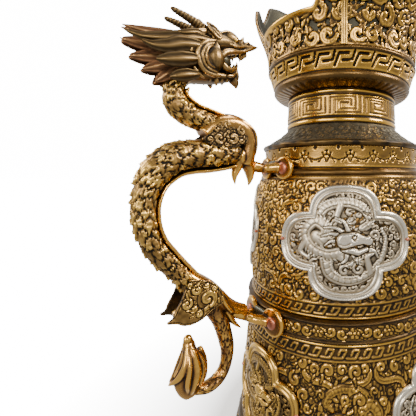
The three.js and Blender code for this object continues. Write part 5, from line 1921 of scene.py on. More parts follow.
class Casting:
    """A cast form: shapes run together, smoothed and then given a finish."""

    def __init__(self, name: str) -> None:
        """Starts empty."""
        self.name = name
        self.parts = MeshParts()

    def limb(self, rows: Line, flat: float = 1.0, sides: int = 16, count: int = 24, side: float = 1) -> "Casting":
        """Adds a tapering limb.

        Args:
            rows: Distance, height, aside and half width.
            flat: The thickness as a share of the width.
            sides: Points round it.
            count: Stations along it.
            side: 1, or -1 for its mirror image.

        Returns:
            The casting itself.
        """
        line = curve_through(sided(rows, side), count)
        self.parts.add(*tube(on_plane(*line.T[:3]), np.maximum(line[:, 3], 0.15), flat=flat, sides=sides), 0.5)
        return self

    def ball(self, r: float, z: float, y: float, size: Sequence[float]) -> "Casting":
        """Adds an egg shape.

        Args:
            r: Its centre's distance from the axis.
            z: Its height.
            y: Its distance aside.
            size: Its half sizes outwards, aside and up.

        Returns:
            The casting itself.
        """
        turn = np.linspace(-math.pi / 2, math.pi / 2, 14)
        path = on_plane(np.full(14, r), z + size[2] * np.sin(turn), y)
        half = np.maximum(size[1] * np.cos(turn), 0.05)
        self.parts.add(*tube(path, half, flat=size[0] / size[1], sides=18), 0.5)
        return self

    def cast(
        self, voxel: float, rounds: int, finish: Finish, replaces: Sequence[str], slot: str = "worn_gilt",
    ) -> bpy.types.Object:
        """Runs the shapes together into one smooth skin.

        Args:
            voxel: The size of the skin's cells in millimetres.
            rounds: How often it is smoothed.
            finish: Its finish.
            replaces: The CAD nodes that it stands for.
            slot: A slot name, handed on to dress.

        Returns:
            The object.
        """
        piece = self.parts.mesh(self.name)
        bpy.ops.object.select_all(action="DESELECT")
        bpy.context.view_layer.objects.active = piece
        piece.select_set(True)
        remesh = piece.modifiers.new("skin", "REMESH")
        remesh.mode, remesh.voxel_size = "VOXEL", voxel * MM
        bpy.ops.object.modifier_apply(modifier=remesh.name)
        soften = piece.modifiers.new("soften", "SMOOTH")
        soften.factor, soften.iterations = 0.5, rounds
        bpy.ops.object.modifier_apply(modifier=soften.name)
        dress(piece, finish, None, VESSEL, slot)
        if replaces:
            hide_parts(*replaces)
        return piece


def blade(
    rows: Line, thick: float, ribs: int, count: int, across: int, side: Sequence[float], notch: float = 0.0,
) -> Shape:
    """A leaf blade with grooves along it.

    Args:
        rows: Distance, height, aside and half width.
        thick: Its thickness at the middle.
        ribs: How many ridges run along it.
        count: Stations along it.
        across: Points across it.
        side: The direction in which it is broad.
        notch: The depth of the cuts in its edges.

    Returns:
        Points, faces, and values of rubbing and painted shade.
    """
    line = curve_through(rows, count)
    path = on_plane(*line.T[:3])
    along = np.gradient(path, axis=0)
    along /= np.linalg.norm(along, axis=1, keepdims=True) + TINY
    broad = np.broadcast_to(np.asarray(side, float), path.shape)
    broad = broad - (broad * along).sum(1, keepdims=True) * along
    broad /= np.linalg.norm(broad, axis=1, keepdims=True) + TINY
    out = np.cross(along, broad)
    u = np.linspace(-1.0, 1.0, across)
    t = np.linspace(0.0, 1.0, count)
    half = np.maximum(line[:, 3], 0.12) * (1.0 - notch * (0.5 - 0.5 * np.cos(t * math.tau * 4.0)))
    crown = np.sqrt(np.clip(1.0 - u**2, 0.0, 1.0))
    groove = 0.5 + 0.5 * np.cos(u * math.pi * ribs)
    depth = thick * 0.5 * np.minimum(1.0, half / (thick + 1e-6))[:, None] * (crown * (0.55 + 0.45 * groove))[None]
    middle = path[:, None] + broad[:, None] * (u[None, :, None] * half[:, None, None])
    rise = out[:, None] * depth[..., None]
    ring = np.concatenate([middle + rise, (middle - rise)[:, -2:0:-1]], axis=1)
    # Painted highlight on the ribs, painted shade in the grooves and at the edges.
    front = np.broadcast_to(0.18 + 0.62 * groove * crown, (count, across))
    shade = np.concatenate([front, front[:, -2:0:-1]], axis=1).ravel()
    points = np.vstack([ring.reshape(-1, 3), path[:1], path[-1:]])
    return points, tube_faces(count, ring.shape[1], True), np.concatenate([shade, [0.2, 0.7]])


@dataclass
class Trunk:
    """A run of the dragon's body, covered with overlapping scales.

    Args:
        name: The piece's name.
        rows: Distance, height and half width along it.
        replaces: The CAD nodes that it stands for.
        belly: Half the angle of the plain belly, in degrees.
        pitch: The scales' spacing along the run.
        height: How far the scales stand off.
        crest: How far the back's small spikes stand off.
        cell: The size of a relief cell.
        seed: Seeds the small irregularities.
        finish: The run's finish.
    """

    name: str
    rows: np.ndarray
    replaces: Sequence[str]
    belly: float = 40.0
    pitch: float = 4.9
    height: float = 1.25
    crest: float = 1.6
    cell: float = 0.62
    seed: int = 5
    finish: Finish = Finish.SCALE

    def build(self) -> bpy.types.Object:
        """Wraps a field of scales round the run.

        Returns:
            The object.
        """
        length = line_length(self.rows[:, :2])
        mean = float(self.rows[:, 2].mean())
        relief = Relief(math.tau * mean, length, self.cell, True, self.seed)
        relief.field = self._scales(relief, length, mean)
        line = curve_through(self.rows, relief.rows)
        path = on_plane(line[:, 0], line[:, 1])
        up = upward(path)
        turn = np.arange(relief.columns) / relief.columns * math.tau + math.pi / 2
        radius = line[:, 2:3] - 0.35 + relief.field
        wide, tall = np.cos(turn)[None] * radius * 1.08, np.sin(turn)[None] * radius
        ring = path[:, None] + ASIDE * wide[..., None] + up[:, None] * tall[..., None]
        # Painted shade: the scale roots and the gaps past the tips go near black, as the shadow the scale edges cast.
        shade = np.clip(0.62 * relief.field / self.height - 0.04 + 0.55 * relief.shade(self.height), 0.0, 1.0)
        points = np.vstack([ring.reshape(-1, 3), path[:1], path[-1:]])
        faces = tube_faces(relief.rows, relief.columns)
        parts = MeshParts().add(points, faces, np.concatenate([shade.ravel(), [0.3, 0.3]]))
        piece = parts.piece(self.name, self.finish, slot="worn_gilt")
        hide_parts(*self.replaces)
        return piece

    def _scales(self, relief: Relief, length: float, mean: float) -> np.ndarray:
        """The height of the scales over the run.

        Args:
            relief: The sheet, for its size.
            length: The run's length.
            mean: The run's mean half width.

        Returns:
            One height to the cell.
        """
        random = relief.random
        s = (np.arange(relief.rows) * relief.dy)[:, None]
        turn = (np.arange(relief.columns) / relief.columns * math.tau)[None]
        count = max(7, int(round(math.tau * mean / (self.pitch * 1.12))))
        lines = int(length / self.pitch) + 3
        field_ = np.zeros((relief.rows, relief.columns))
        step = math.tau / count
        for line in reversed(range(-2, lines)):
            s0 = line * self.pitch
            near = np.where((s[:, 0] > s0 - 1) & (s[:, 0] < s0 + self.pitch * 2.3))[0]
            if not len(near):
                continue
            for place in range(count):
                angle = (place + 0.5 * (line % 2)) * step + random.uniform(-0.2, 0.2) * step
                size, slip = random.uniform(0.86, 1.2), random.uniform(-0.22, 0.22) * self.pitch
                lift, cut = random.uniform(0.55, 1.2), random.uniform(0.0, math.tau)
                off = (turn - angle + math.pi) % math.tau - math.pi
                close = np.where(np.abs(off[0]) < step * 0.8)[0]
                u = off[:, close] / (step * 0.6 * size)
                v = (s[near] - s0 - slip) / (self.pitch * 1.5 * size)
                tip = 1.0 - 0.4 * u**2 + 0.11 * np.cos(u * 6.0 + cut) + 0.07 * np.cos(u * 14.0 + cut * 3)
                inside = (v > 0) & (v < tip) & (np.abs(u) < 1)
                # Past each tip a gap is cut down to the bare tube, which the shade below paints as the scale's shadow.
                gap = (v > 0.45) & (v < tip + 0.17) & (np.abs(u) < 1.05) & ~inside
                rough = 1.0 + 0.16 * np.cos(u * 7 + v * 9 + cut) * np.cos(v * 13 - u * 5 + cut * 2)
                edge = np.clip((tip - v) * 9.0, 0.0, 1.0) ** 0.5
                rise = self.height * lift * rough * (0.3 + 0.7 * v) * (1.0 - 0.3 * u**2) * edge
                patch = field_[np.ix_(near, close)]
                patch = np.where(gap, np.minimum(patch, 0.0), patch)
                field_[np.ix_(near, close)] = np.where(inside, np.maximum(patch, rise), patch)
        back = np.abs((turn + math.pi) % math.tau - math.pi)
        belly = np.clip((math.radians(self.belly) - back) / 0.16, 0.0, 1.0)
        field_ *= 1.0 - belly
        ridge = np.clip(1.0 - np.abs(turn - math.pi - 0.1 * np.sin(s * 1.9)) / 0.22, 0.0, 1.0)
        saw = 0.3 + 0.7 * ((s / (self.pitch * 1.05) + 0.3 * np.sin(s * 0.31)) % 1.0)
        field_ = np.maximum(field_, ridge * saw * self.crest)
        ends = np.clip(np.minimum(s, length - s) / 3.0, 0.0, 1.0)
        return field_ * ends


@dataclass
class ChasedPlate:
    """A flat plate on each side of the handle, chased with lined spirals.

    Args:
        name: The piece's name.
        outline: Its outline, as distance from the axis and height.
        aside: How far aside its face lies at the middle.
        eyes: The spirals, as distance, height, radius and hand.
        lean: How far it leans aside for each millimetre outwards and up.
        thick: Its thickness.
        finish: Its finish.
    """

    name: str
    outline: Line
    aside: float
    eyes: Line
    lean: tuple[float, float] = (0.0, 0.0)
    thick: float = 2.4
    finish: Finish = Finish.SCALE

    def build(self) -> bpy.types.Object:
        """Chases one plate and mirrors it.

        Returns:
            The object that holds both.
        """
        rows = along_line([*self.outline, self.outline[0]], 160, 2)
        high, low = rows.max(axis=0) + 0.5, rows.min(axis=0) - 0.5
        relief = Relief(high[0] - low[0], high[1] - low[1], 0.42, False, 400)
        line = np.stack([high[0] - rows[:, 0], rows[:, 1] - low[1]], axis=1)
        relief.field += 0.55
        for r, z, size, hand in self.eyes:
            x, y = high[0] - r, z - low[1]
            relief.leaf(x, y, size * 1.5, r + z, int(hand), 1.25, 0.5)
        for r, z, size, hand in self.eyes:
            x, y = high[0] - r, z - low[1]
            t = np.linspace(0.0, 1.0, 30)
            away = size * (1.25 - 0.15 * t)
            for start in (0.4, 2.6):
                turn = start + hand * t * 1.7
                relief.carve(np.stack([x + away * np.cos(turn), y + away * np.sin(turn)], axis=1), 0.42, 0.5)
        relief.carve(line * 0.93 + line.mean(axis=0) * 0.07, 0.35, 0.6)
        relief.hammered(0.1, 3.0)
        keep = inside_outline(*relief.cells()[:2], line)
        middle = rows.mean(axis=0)

        def place(x: np.ndarray, y: np.ndarray, lift: np.ndarray) -> np.ndarray:
            """Puts the plate's places on the near side.

            Args:
                x: The places along the sheet.
                y: The places up the sheet.
                lift: How far they stand proud.

            Returns:
                The points, in millimetres.
            """
            r, z = high[0] - x, y + low[1]
            out = self.aside + (r - middle[0]) * self.lean[0] + (z - middle[1]) * self.lean[1]
            return on_plane(r, z, -(out + lift))

        points, faces, shade = pierced_sheet(relief, keep, place, self.thick, 1.0)
        parts = MeshParts().add(points, faces, shade).add(points * [1.0, -1.0, 1.0], faces[:, ::-1], shade)
        return parts.piece(self.name, self.finish, slot="worn_gilt")


NECK_RUN = [
    (0.75, 1.475, 0.56), (0.795, 1.42, 0.57), (0.79, 1.356, 0.71), (0.734, 1.308, 0.76), (0.646, 1.276, 0.745),
    (0.536, 1.258, 0.74), (0.409, 1.226, 0.78), (0.301, 1.158, 0.6),
]
LOOP_RUN = [
    (0.27, 1.09, 0.74), (0.4, 1.078, 0.92), (0.543, 1.069, 1.02), (0.668, 1.059, 1.0), (0.799, 1.034, 0.98),
    (0.907, 0.973, 0.91), (0.97, 0.89, 0.74), (0.998, 0.788, 0.64), (0.986, 0.679, 0.6), (0.939, 0.581, 0.59),
    (0.867, 0.503, 0.59), (0.788, 0.431, 0.56), (0.706, 0.357, 0.555), (0.614, 0.271, 0.57),
]
TAIL_RUN = [
    (0.511, 0.173, 0.62), (0.434, 0.073, 0.6), (0.4, -0.009, 0.56), (0.373, -0.096, 0.52), (0.373, -0.17, 0.46),
    (0.4, -0.236, 0.44), (0.452, -0.279, 0.46), (0.536, -0.298, 0.46), (0.63, -0.287, 0.34), (0.74, -0.263, 0.14),
]


@dataclass
class DragonHandle:
    """The dragon's body: its scaled runs, belly straps, clasps, forks and tail bud.

    Args:
        root: The handle's lower root, as distance from the axis and height.
        span: The handle's length outwards and the rise between the forks.
        trunk_half: The trunk's half width.
        band_half: The belly straps' half width.
    """

    root: tuple[float, float] = (98.5, 136.0)
    span: tuple[float, float] = (90.0, 128.0)
    trunk_half: float = 10.6
    band_half: float = 5.6

    def build(self) -> None:
        """Builds everything on the handle."""
        neck, loop, tail = self._run(NECK_RUN), self._run(LOOP_RUN), self._run(TAIL_RUN)
        Trunk("dragon_neck_scales", neck, ["dragon_neck"], seed=5).build()
        Trunk("dragon_loop_scales", loop, ["dragon_loop"], pitch=6.9, height=1.9, crest=2.9, seed=6).build()
        Trunk("dragon_tail_scales", tail, ["dragon_tail"], 60, 6.4, 0.42, 0.5, 0.55, 7, Finish.BELLY).build()
        self.belly("neck_belly_band", neck, "neck_belly_strap", 0.02, 0.86)
        self.belly("loop_belly_band", loop, "loop_belly_strap", 0.0, 0.96)
        self.upper_clasp()
        self.lower_clasp()
        self.tail_bud()
        low, high = self.root[1], self.root[1] + self.span[1]
        self.fork("upper_fork", high, 86.0, 9.4, 13.5, [(110.0, 265.5, 0.0), (101.0, 264.0, 0.0)], 4.9)
        self.fork("lower_fork", low, 99.7, 11.0, 16.5, [(128.0, 149.0, 0.0), (117.5, 142.0, 0.0)], 4.4)

    def _run(self, shares: Line) -> np.ndarray:
        """Turns out, up and diameter shares into distance, height and half width.

        Args:
            shares: Rows of shares of the handle's length, of the rise between the forks and of the trunk's half width.

        Returns:
            Rows in millimetres.
        """
        rows = np.asarray(shares, float)
        places = np.asarray(self.root) + rows[:, :2] * self.span
        return np.column_stack([places, rows[:, 2] * self.trunk_half])

    def belly(self, name: str, rows: np.ndarray, node: str, start: float, end: float) -> None:
        """The smooth bright band along the hollow side of a run.

        Args:
            name: The piece's name.
            rows: The run's distance, height and half width.
            node: The CAD node that it stands for.
            start: Where it starts, as a share of the run.
            end: Where it ends.
        """
        count, sides = 150, 20
        line = curve_through(rows, count)
        path = on_plane(line[:, 0], line[:, 1])
        middle = path + upward(path) * (line[:, 2:3] + 1.1)
        keep = slice(int(count * start), int(count * end))
        middle, half = middle[keep], np.full(len(middle[keep]), self.band_half)
        half[:6] *= np.linspace(0.3, 1.0, 6)
        half[-6:] *= np.linspace(1.0, 0.3, 6)
        points, faces = tube(middle, half, flat=0.34, sides=sides)
        ring = np.arange(sides) / sides * math.tau
        # Painted highlight: the band's rounded edges are lighter than its face, and so are the edge beads.
        shade = np.tile(0.5 + 0.3 * np.abs(np.cos(ring)), len(middle))
        parts = MeshParts().add(points, faces, np.concatenate([shade, [0.4, 0.4]]))
        for side in (-1, 1):
            edge = middle + ASIDE * side * (half[:, None] - 0.4)
            parts.add(*tube(edge, 0.95, sides=10), 0.85)
        piece = parts.piece(name, Finish.BELLY, slot="gilt")
        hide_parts(node)

    def upper_clasp(self) -> None:
        """The upper clasp: a smooth sleeve that bends down into two tips, with a chased plate on each side."""
        cast = Casting("upper_clasp_sleeve")
        cast.limb(
            [
                (150, 287, 0, 9.0), (141, 295, 0, 10.6), (129, 297.4, 0, 10.8), (119, 293.4, 0, 10.6),
                (114.6, 284.6, 0, 9.8), (115.4, 274, 0, 9.0), (117, 266, 0, 7.8),
            ],
            0.8, 24, 44,
        )
        cast.limb([(115, 270, 0, 7.8), (112.4, 262, 0, 5.6), (111.8, 255, 0, 3.4), (113.2, 248.8, 0, 0.6)], 0.8, 20)
        cast.limb([(121.4, 271, 0, 7.4), (123.8, 263, 0, 4.8), (125.6, 256.6, 0, 2.8), (125.0, 250, 0, 0.6)], 0.8, 20)
        for side in (-1, 1):
            cast.limb(
                [
                    (134, 303.0, 7.4, 0.9), (120, 299.6, 8.4, 1.2), (112.0, 292.6, 8.8, 1.2), (109.8, 283, 8.4, 1.0),
                    (110.6, 274, 7.0, 0.6),
                ],
                sides=10, count=34, side=side,
            )
            cast.ball(121.4, 272.4, side * 4.6, (3.0, 3.6, 6.0))
        cast.cast(0.66, 4, Finish.BELLY, ["upper_clasp"])
        outline = [
            (142.3, 296.5), (130.9, 301.0), (122.4, 296.0), (118.2, 289.3), (118.4, 283.6), (127, 279.6),
            (134.8, 277.8), (144.5, 278.4), (151.5, 280.2), (154.6, 284.3), (148.8, 287.6), (145.2, 293.2),
        ]
        eyes = (
            (131.4, 286.2, 5.4, 1), (135.6, 296.2, 3.4, -1), (124.0, 292.4, 4.2, 1), (142.4, 284.8, 4.6, -1),
            (144.2, 291.2, 2.4, 1), (124.4, 284.2, 2.6, -1), (136.2, 280.6, 2.2, 1), (149.6, 283.2, 2.4, 1),
        )
        ChasedPlate("upper_clasp_plates", outline, 10.2, eyes, lean=(0.05, -0.02), finish=Finish.HIDE).build()

    def lower_clasp(self) -> None:
        """The lower clasp: a plate of scrolls on each side of a smooth arm."""
        cast = Casting("lower_clasp_arm")
        cast.limb(
            [
                (162, 186, 0, 7.4), (154, 178.6, 0, 9.6), (147, 172, 0, 10.2), (140, 164, 0, 9.8),
                (133, 156.2, 0, 9.0), (125, 150.6, 0, 7.6), (117, 147.4, 0, 5.8),
            ],
            0.62, 24, 44,
        )
        cast.limb([(134, 153, 0, 7.6), (129.4, 143.6, 0, 5.2), (124, 136.4, 0, 2.8), (119.4, 131.8, 0, 0.5)], 0.5, 16)
        cast.limb([(158, 178, 0, 7.6), (158, 168, 0, 9.0), (164, 161, 0, 7.4), (171, 158.6, 0, 5.0)], 0.7, 20)
        for side in (-1, 1):
            cast.limb(
                [
                    (149, 181, 6.0, 0.8), (143, 173.6, 7.4, 1.0), (136.4, 166, 7.4, 1.0), (130.4, 158.6, 6.2, 0.9),
                    (121, 152.4, 4.0, 0.7),
                ],
                sides=8, count=30, side=side,
            )
            cast.limb([(140.6, 168, 9.8, 1.0), (137, 159.6, 9.6, 1.4), (131.4, 151.4, 8.0, 1.1)], sides=8, side=side)
        cast.cast(0.7, 3, Finish.BELLY, ["lower_clasp"])
        outline = [
            (163.0, 185.0), (153.1, 182.4), (145.6, 178.6), (140.6, 171.9), (137.6, 163.3), (143.0, 160.6),
            (148.0, 159.6), (151.9, 156.4), (156.9, 153.6), (166.4, 153.6), (172.0, 157.8), (177.6, 158.6),
            (177.4, 159.8), (173.8, 161.0), (171.6, 166.5), (168.8, 170.8), (166.5, 177.0),
        ]
        eyes = (
            (150.6, 168.6, 6.6, 1), (165.2, 168.6, 3.8, -1), (158.2, 176.8, 3.8, 1), (157.2, 159.4, 3.0, -1),
            (146.2, 175.4, 2.6, -1), (160.4, 164.0, 2.6, 1), (151.8, 178.4, 2.2, 1), (163.0, 181.2, 2.0, -1),
        )
        ChasedPlate("lower_clasp_plates", outline, 9.8, eyes, lean=(-0.02, 0.02), thick=1.6).build()

    def tail_bud(self) -> None:
        """The bud of folded leaves that ends the tail."""
        cast = Casting("tail_bud_leaves")
        cast.limb(
            [
                (158, 99, 0, 4.4), (160.2, 105, 0, 6.0), (161.4, 113, 0, 6.8), (160.6, 122, 0, 5.2),
                (160.2, 130, 0, 3.4), (161.2, 136, 0, 3.0), (161.6, 141.6, 0, 1.6),
            ],
            1.42, 24, 40,
        )
        cast.limb([(164, 111, 0, 5.0), (169.4, 112.8, 0, 3.0), (174.6, 112.2, 0, 0.6)], 0.9, 16)
        cast.limb([(163.4, 130, 0, 2.4), (165.6, 123, 0, 2.4), (170.6, 116.0, 0, 1.4)], 0.9, 14)
        cast.limb([(153.6, 130, 0, 2.6), (150.8, 120, 0, 3.2), (150.4, 109, 0, 2.8), (153.6, 102.6, 0, 2.2)], 0.9, 14)
        cast.ball(161.6, 139.4, 0, (3.2, 3.0, 3.3))
        folds = (
            (
                (162.4, 138, 1.4, 1.4), (163.0, 130, 3.8, 2.2), (164.8, 123, 5.2, 2.6), (168.6, 116.6, 3.8, 2.2),
                (173.4, 113, 1.6, 0.7),
            ),
            (
                (160.8, 136, 2.2, 1.4), (158.8, 127, 5.6, 2.6), (157.8, 116, 7.2, 3.2), (160.0, 106, 5.4, 2.4),
                (161.0, 100, 3.0, 1.0),
            ),
            ((161.8, 132, 4.4, 1.0), (162.8, 122, 8.0, 1.7), (164.0, 112, 7.6, 1.9), (163.0, 104, 4.8, 1.0)),
            ((157.6, 131, 2.2, 1.4), (153.4, 121, 4.4, 2.4), (153.4, 110, 4.2, 2.2), (156.6, 102, 2.8, 1.2)),
        )
        for side in (-1, 1):
            for fold in folds:
                cast.limb(fold, sides=14, count=30, side=side)
        cast.cast(0.6, 3, Finish.BELLY, ["tail_leaf"], "gilt")

    def fork(self, node: str, z: float, radius: float, ear: float, spread: float, root: Line, half: float) -> None:
        """A fork with two ringed ears and a copper rivet in each, and a dark saddle between them that paints the shadow
        behind the fork.

        Args:
            node: The CAD node that it stands for.
            z: The height of its ears.
            radius: The wall's radius there.
            ear: The ears' radius.
            spread: How far aside each ear sits.
            root: The arm's first points, as distance, height and aside.
            half: The arm's half width.
        """
        cast = Casting(f"{node}_arms")
        lean = math.asin(spread / radius)
        for side in (-1.0, 1.0):
            face = around(side * (lean - 0.62 * ear / radius), radius + 2.2, z)
            near = (-float(face[0]), z, float(face[1]))
            out = around(side * lean, 1.0, 0.0)
            bend = ((root[-1][0] + near[0]) / 2 + 2.0, (root[-1][1] + z) / 2, near[2] * 0.6)
            rows = [(*point, half * (1.2 if i == 0 else 1.05)) for i, point in enumerate(root)]
            rows += [
                (*bend, half * 0.95), (near[0] + 2.6, z + 0.4, near[2] * 0.9, half * 1.2),
                (near[0] + 0.6, z, near[2], half * 1.3),
            ]
            cast.limb(rows, 0.85, 18, 34)
            foot = around(side * lean, radius + 0.35, z)
            tall = ear * 1.06
            boss, halves = np.outer([0.0, 0.4, 2.4, 3.2, 3.5], out), [tall - 0.3, tall, tall, tall - 0.6, tall - 1.6]
            cast.parts.add(*tube(foot + boss, halves, (0, 0, 1), 1.06, 40), 0.5)
        cast.cast(0.68, 3, Finish.BELLY, [node])
        # Painted shadow: a dark saddle between the ears, in the dark liner finish, stands for the shadow behind the
        # fork.
        shadow_saddle = Casting(f"{node}_saddle")
        for angle in np.linspace(-lean, lean, 13):
            place = around(float(angle), radius + 2.2, z + 1.0)
            shadow_saddle.ball(
                -float(place[0]), z + 1.0 + 1.6 * math.cos(angle / lean * math.pi / 2), float(place[1]),
                (2.6, 3.2, ear * 0.46),
            )
        shadow_saddle.cast(0.7, 3, Finish.LINER, [])
        for number, side in enumerate((-1.0, 1.0)):
            out = around(side * lean, 1.0, 0.0)
            foot = around(side * lean, radius, z)
            shank = tube(foot + np.outer([-4.8, 2.4], out), 2.2, (0, 0, 1), 1.0, 16)
            head = tube(foot + np.outer([3.2, 3.8, 4.8, 5.4, 5.65], out), [5.0, 5.3, 5.0, 3.9, 2.0], (0, 0, 1), 1.0, 22)
            parts = MeshParts().add(*shank, 0.3).add(*head, 0.62)
            piece = parts.piece(f"{node}_rivet_head_{number + 1}", Finish.COPPER, slot="copper")
            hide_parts(f"{node}_rivet_{number + 1}")


@dataclass
class DragonHead:
    """The dragon's head: a smooth mask with ringed cheeks and an open jaw, horns, ears and a mane of swept leaves.

    Args:
        eye_radius: An eye's radius.
        pupil_depth: How deep the pupils are sunk.
        horn_rings: How many rings a horn has.
    """

    eye_radius: float = 2.2
    pupil_depth: float = 0.5
    horn_rings: int = 13

    def build(self) -> None:
        """Builds the head's pieces."""
        self.skull()
        self.jaw()
        self.eyes()
        self.teeth()
        self.horns()
        self.ears()
        self.mane()

    def skull(self) -> None:
        """The skull with its brows, ringed cheeks, nostrils and upper lip."""
        cast = Casting("dragon_head_skull")
        cast.limb([(167, 336, 0, 9), (160, 342, 0, 11.6), (151, 347.4, 0, 13.4), (142.5, 351, 0, 12.6)], 0.95, 24)
        cast.limb(
            [
                (147, 355.5, 0, 12), (138, 358.4, 0, 10.8), (131, 359.6, 0, 9), (124, 360.8, 0, 6.8),
                (116, 362.4, 0, 4.6), (109, 364.9, 0, 2.8), (104, 367, 0, 0.5),
            ],
            0.72, 24, 34,
        )
        cast.limb(
            [(154, 356, 0, 9), (146, 361, 0, 9.6), (137, 363, 0, 8.4), (129, 362.6, 0, 6), (122, 362.4, 0, 3.4)], 0.6,
            20,
        )
        rings = (
            (
                1.75, (145.4, 354.9, 12.2), (152.8, 351.6, 13.2), (157.6, 346.2, 13.4), (158.8, 341, 13.4),
                (157.2, 335.1, 13), (153.2, 331.2, 11.6), (146, 330.4, 9.8), (139.7, 331.4, 8.4),
            ),
            (
                1.15, (146.4, 352.6, 12.8), (152.2, 349.2, 13.9), (155.2, 344.4, 14.3), (155.7, 339.6, 14.2),
                (153.9, 335.2, 13.4), (149.4, 332.9, 12), (143.4, 333, 10.2),
            ),
            (
                0.95, (147.8, 350.4, 13.2), (151.6, 347, 14.2), (153.1, 342.9, 14.6), (152.6, 338.6, 14.2),
                (150, 335.7, 13), (145.8, 335.1, 11.4),
            ),
        )
        for side in (-1, 1):
            cast.ball(149.2, 342.4, side * 6.2, (10.6, 7.0, 12.4))
            cast.ball(145.2, 343.4, side * 8.4, (7.4, 6.2, 8.8))
            cast.ball(131.4, 363.2, side * 5.8, (6.8, 3.9, 4.4))
            cast.ball(118.6, 355.4, side * 3.0, (2.6, 1.9, 2.9))
            for half, *line in rings:
                ends = (0, len(line) - 1)
                rows = [(*spot, half * (0.5 if place in ends else 1.0)) for place, spot in enumerate(line)]
                cast.limb(rows, sides=10, count=34, side=side)
            cast.limb(
                [
                    (139.0, 339.6, 9.4, 1.6), (140.4, 345.2, 10.2, 2.5), (137.2, 349.4, 9.8, 2.7),
                    (131.4, 352.2, 8.6, 2.4), (125, 354.4, 6.6, 1.7), (119.4, 357.2, 4.6, 1.5), (112, 362.4, 2.6, 1.1),
                    (106.4, 365.8, 1.0, 0.6),
                ],
                sides=12, count=40, side=side,
            )
            cast.limb([(133.4, 357.2, 9.0, 0.7), (126.6, 357.8, 7.2, 1.1), (120, 360.6, 4.9, 0.8)], sides=8, side=side)
            cast.limb(
                [
                    (140.6, 363.4, 8.6, 0.8), (135.4, 366.6, 7.6, 1.3), (129.6, 366.4, 7.2, 1.3),
                    (125, 363.4, 6.6, 1.1), (124.4, 360, 6.2, 0.7),
                ],
                sides=10, side=side,
            )
            cast.limb([(132, 360.6, 8.4, 0.7), (128, 358.8, 7.8, 1.0), (124, 359.4, 6.4, 0.7)], sides=8, side=side)
            cast.limb(
                [(121.6, 362.6, 4.2, 1.5), (119.8, 367, 2.8, 1.5), (118.2, 370.6, 2.0, 0.35)], sides=10, side=side,
            )
            cast.limb([(117.6, 364.4, 3.6, 0.8), (114.8, 366.4, 3.0, 1.1), (112.6, 365, 2.6, 0.8)], sides=8, side=side)
            cast.limb([(152, 360.4, 9.6, 2.2), (158, 357, 10.6, 2.6), (166, 354.4, 11.0, 1.4)], sides=10, side=side)
            cast.limb([(158, 351, 12.6, 0.8), (162, 346.4, 13.6, 1.1), (163, 341, 13.4, 0.8)], sides=8, side=side)
            cast.limb(
                [(160.6, 332.6, 11.6, 1.0), (157.8, 328.8, 10.8, 1.3), (152.6, 326.8, 9.4, 0.8)], sides=8, side=side,
            )
        cast.limb([(131, 368.0, 0, 1.2), (123, 366.2, 0, 1.5), (116, 366.6, 0, 1.2), (109, 367.2, 0, 0.7)], sides=8)
        cast.cast(0.54, 2, Finish.HIDE, ["dragon_head"])

    def jaw(self) -> None:
        """The lower jaw with its lip, tongue and tufts of beard, and a dark throat that paints the shade inside the
        mouth.
        """
        cast = Casting("dragon_jaw_lower")
        cast.limb(
            [
                (163, 327.4, 0, 8.2), (155, 329.8, 0, 9.4), (147, 331.2, 0, 9.4), (140, 332.4, 0, 8.2),
                (133, 334, 0, 6.6), (127.4, 336.8, 0, 4.8), (124.4, 341, 0, 3.2), (124, 344.6, 0, 1.6),
            ],
            0.56, 20, 36,
        )
        cast.ball(125.0, 337.4, 0, (3.4, 3.8, 5.2))
        for side in (-1, 1):
            cast.limb(
                [
                    (139.6, 341.6, 9.4, 1.8), (136.4, 338.6, 8.8, 2.4), (131, 338.8, 7.0, 2.0), (127, 341.4, 5, 1.4),
                    (124.6, 345.2, 2.6, 1.2), (124, 346, 0, 0.9),
                ],
                sides=10, count=30, side=side,
            )
            cast.limb(
                [(134.6, 333.4, 7.6, 1.0), (130.2, 334.6, 6.4, 1.5), (126.6, 338.2, 4.4, 1.0)], sides=8, side=side,
            )
            for r, z, y, half in (
                (142.4, 324.7, 6.0, 2.4), (138.2, 327.6, 5.2, 2.0), (133.8, 328.8, 4.4, 1.9), (147.4, 326.4, 6.6, 1.8),
            ):
                cast.limb(
                    [(r + 0.8, z + 5.0, y, half), (r + 0.2, z + 2.2, y, half * 0.8), (r, z, y, 0.4)], sides=8,
                    side=side,
                )
        cast.limb(
            [(127.6, 335, 0, 4.2), (125.2, 331.8, 0, 3.4), (124.2, 329, 0, 1.7), (124.7, 327.4, 0, 0.5)], sides=12,
        )
        cast.cast(0.5, 2, Finish.HIDE, ["dragon_jaw"])
        # Painted shade: a dark mass in the liner finish fills the mouth and stands for the shade inside it.
        throat = Casting("dragon_throat")
        throat.limb(
            [(150, 343.6, 0, 9.0), (142, 344.2, 0, 10.6), (135.6, 345.0, 0, 9.6), (131, 346.2, 0, 6.4)], 0.8, 18,
        )
        throat.cast(0.6, 2, Finish.LINER, [])
        line = curve_through(
            [(142.0, 341.4, 0, 4.6), (134.0, 340.6, 0, 4.2), (128.4, 342.6, 0, 3.0), (125.6, 346.4, 0, 0.8)], 24,
        )
        tongue = tube(on_plane(line[:, 0], line[:, 1]), line[:, 3], flat=0.34, sides=14)
        MeshParts().add(*tongue, 0.4).piece("dragon_tongue", Finish.MANE, slot="copper")

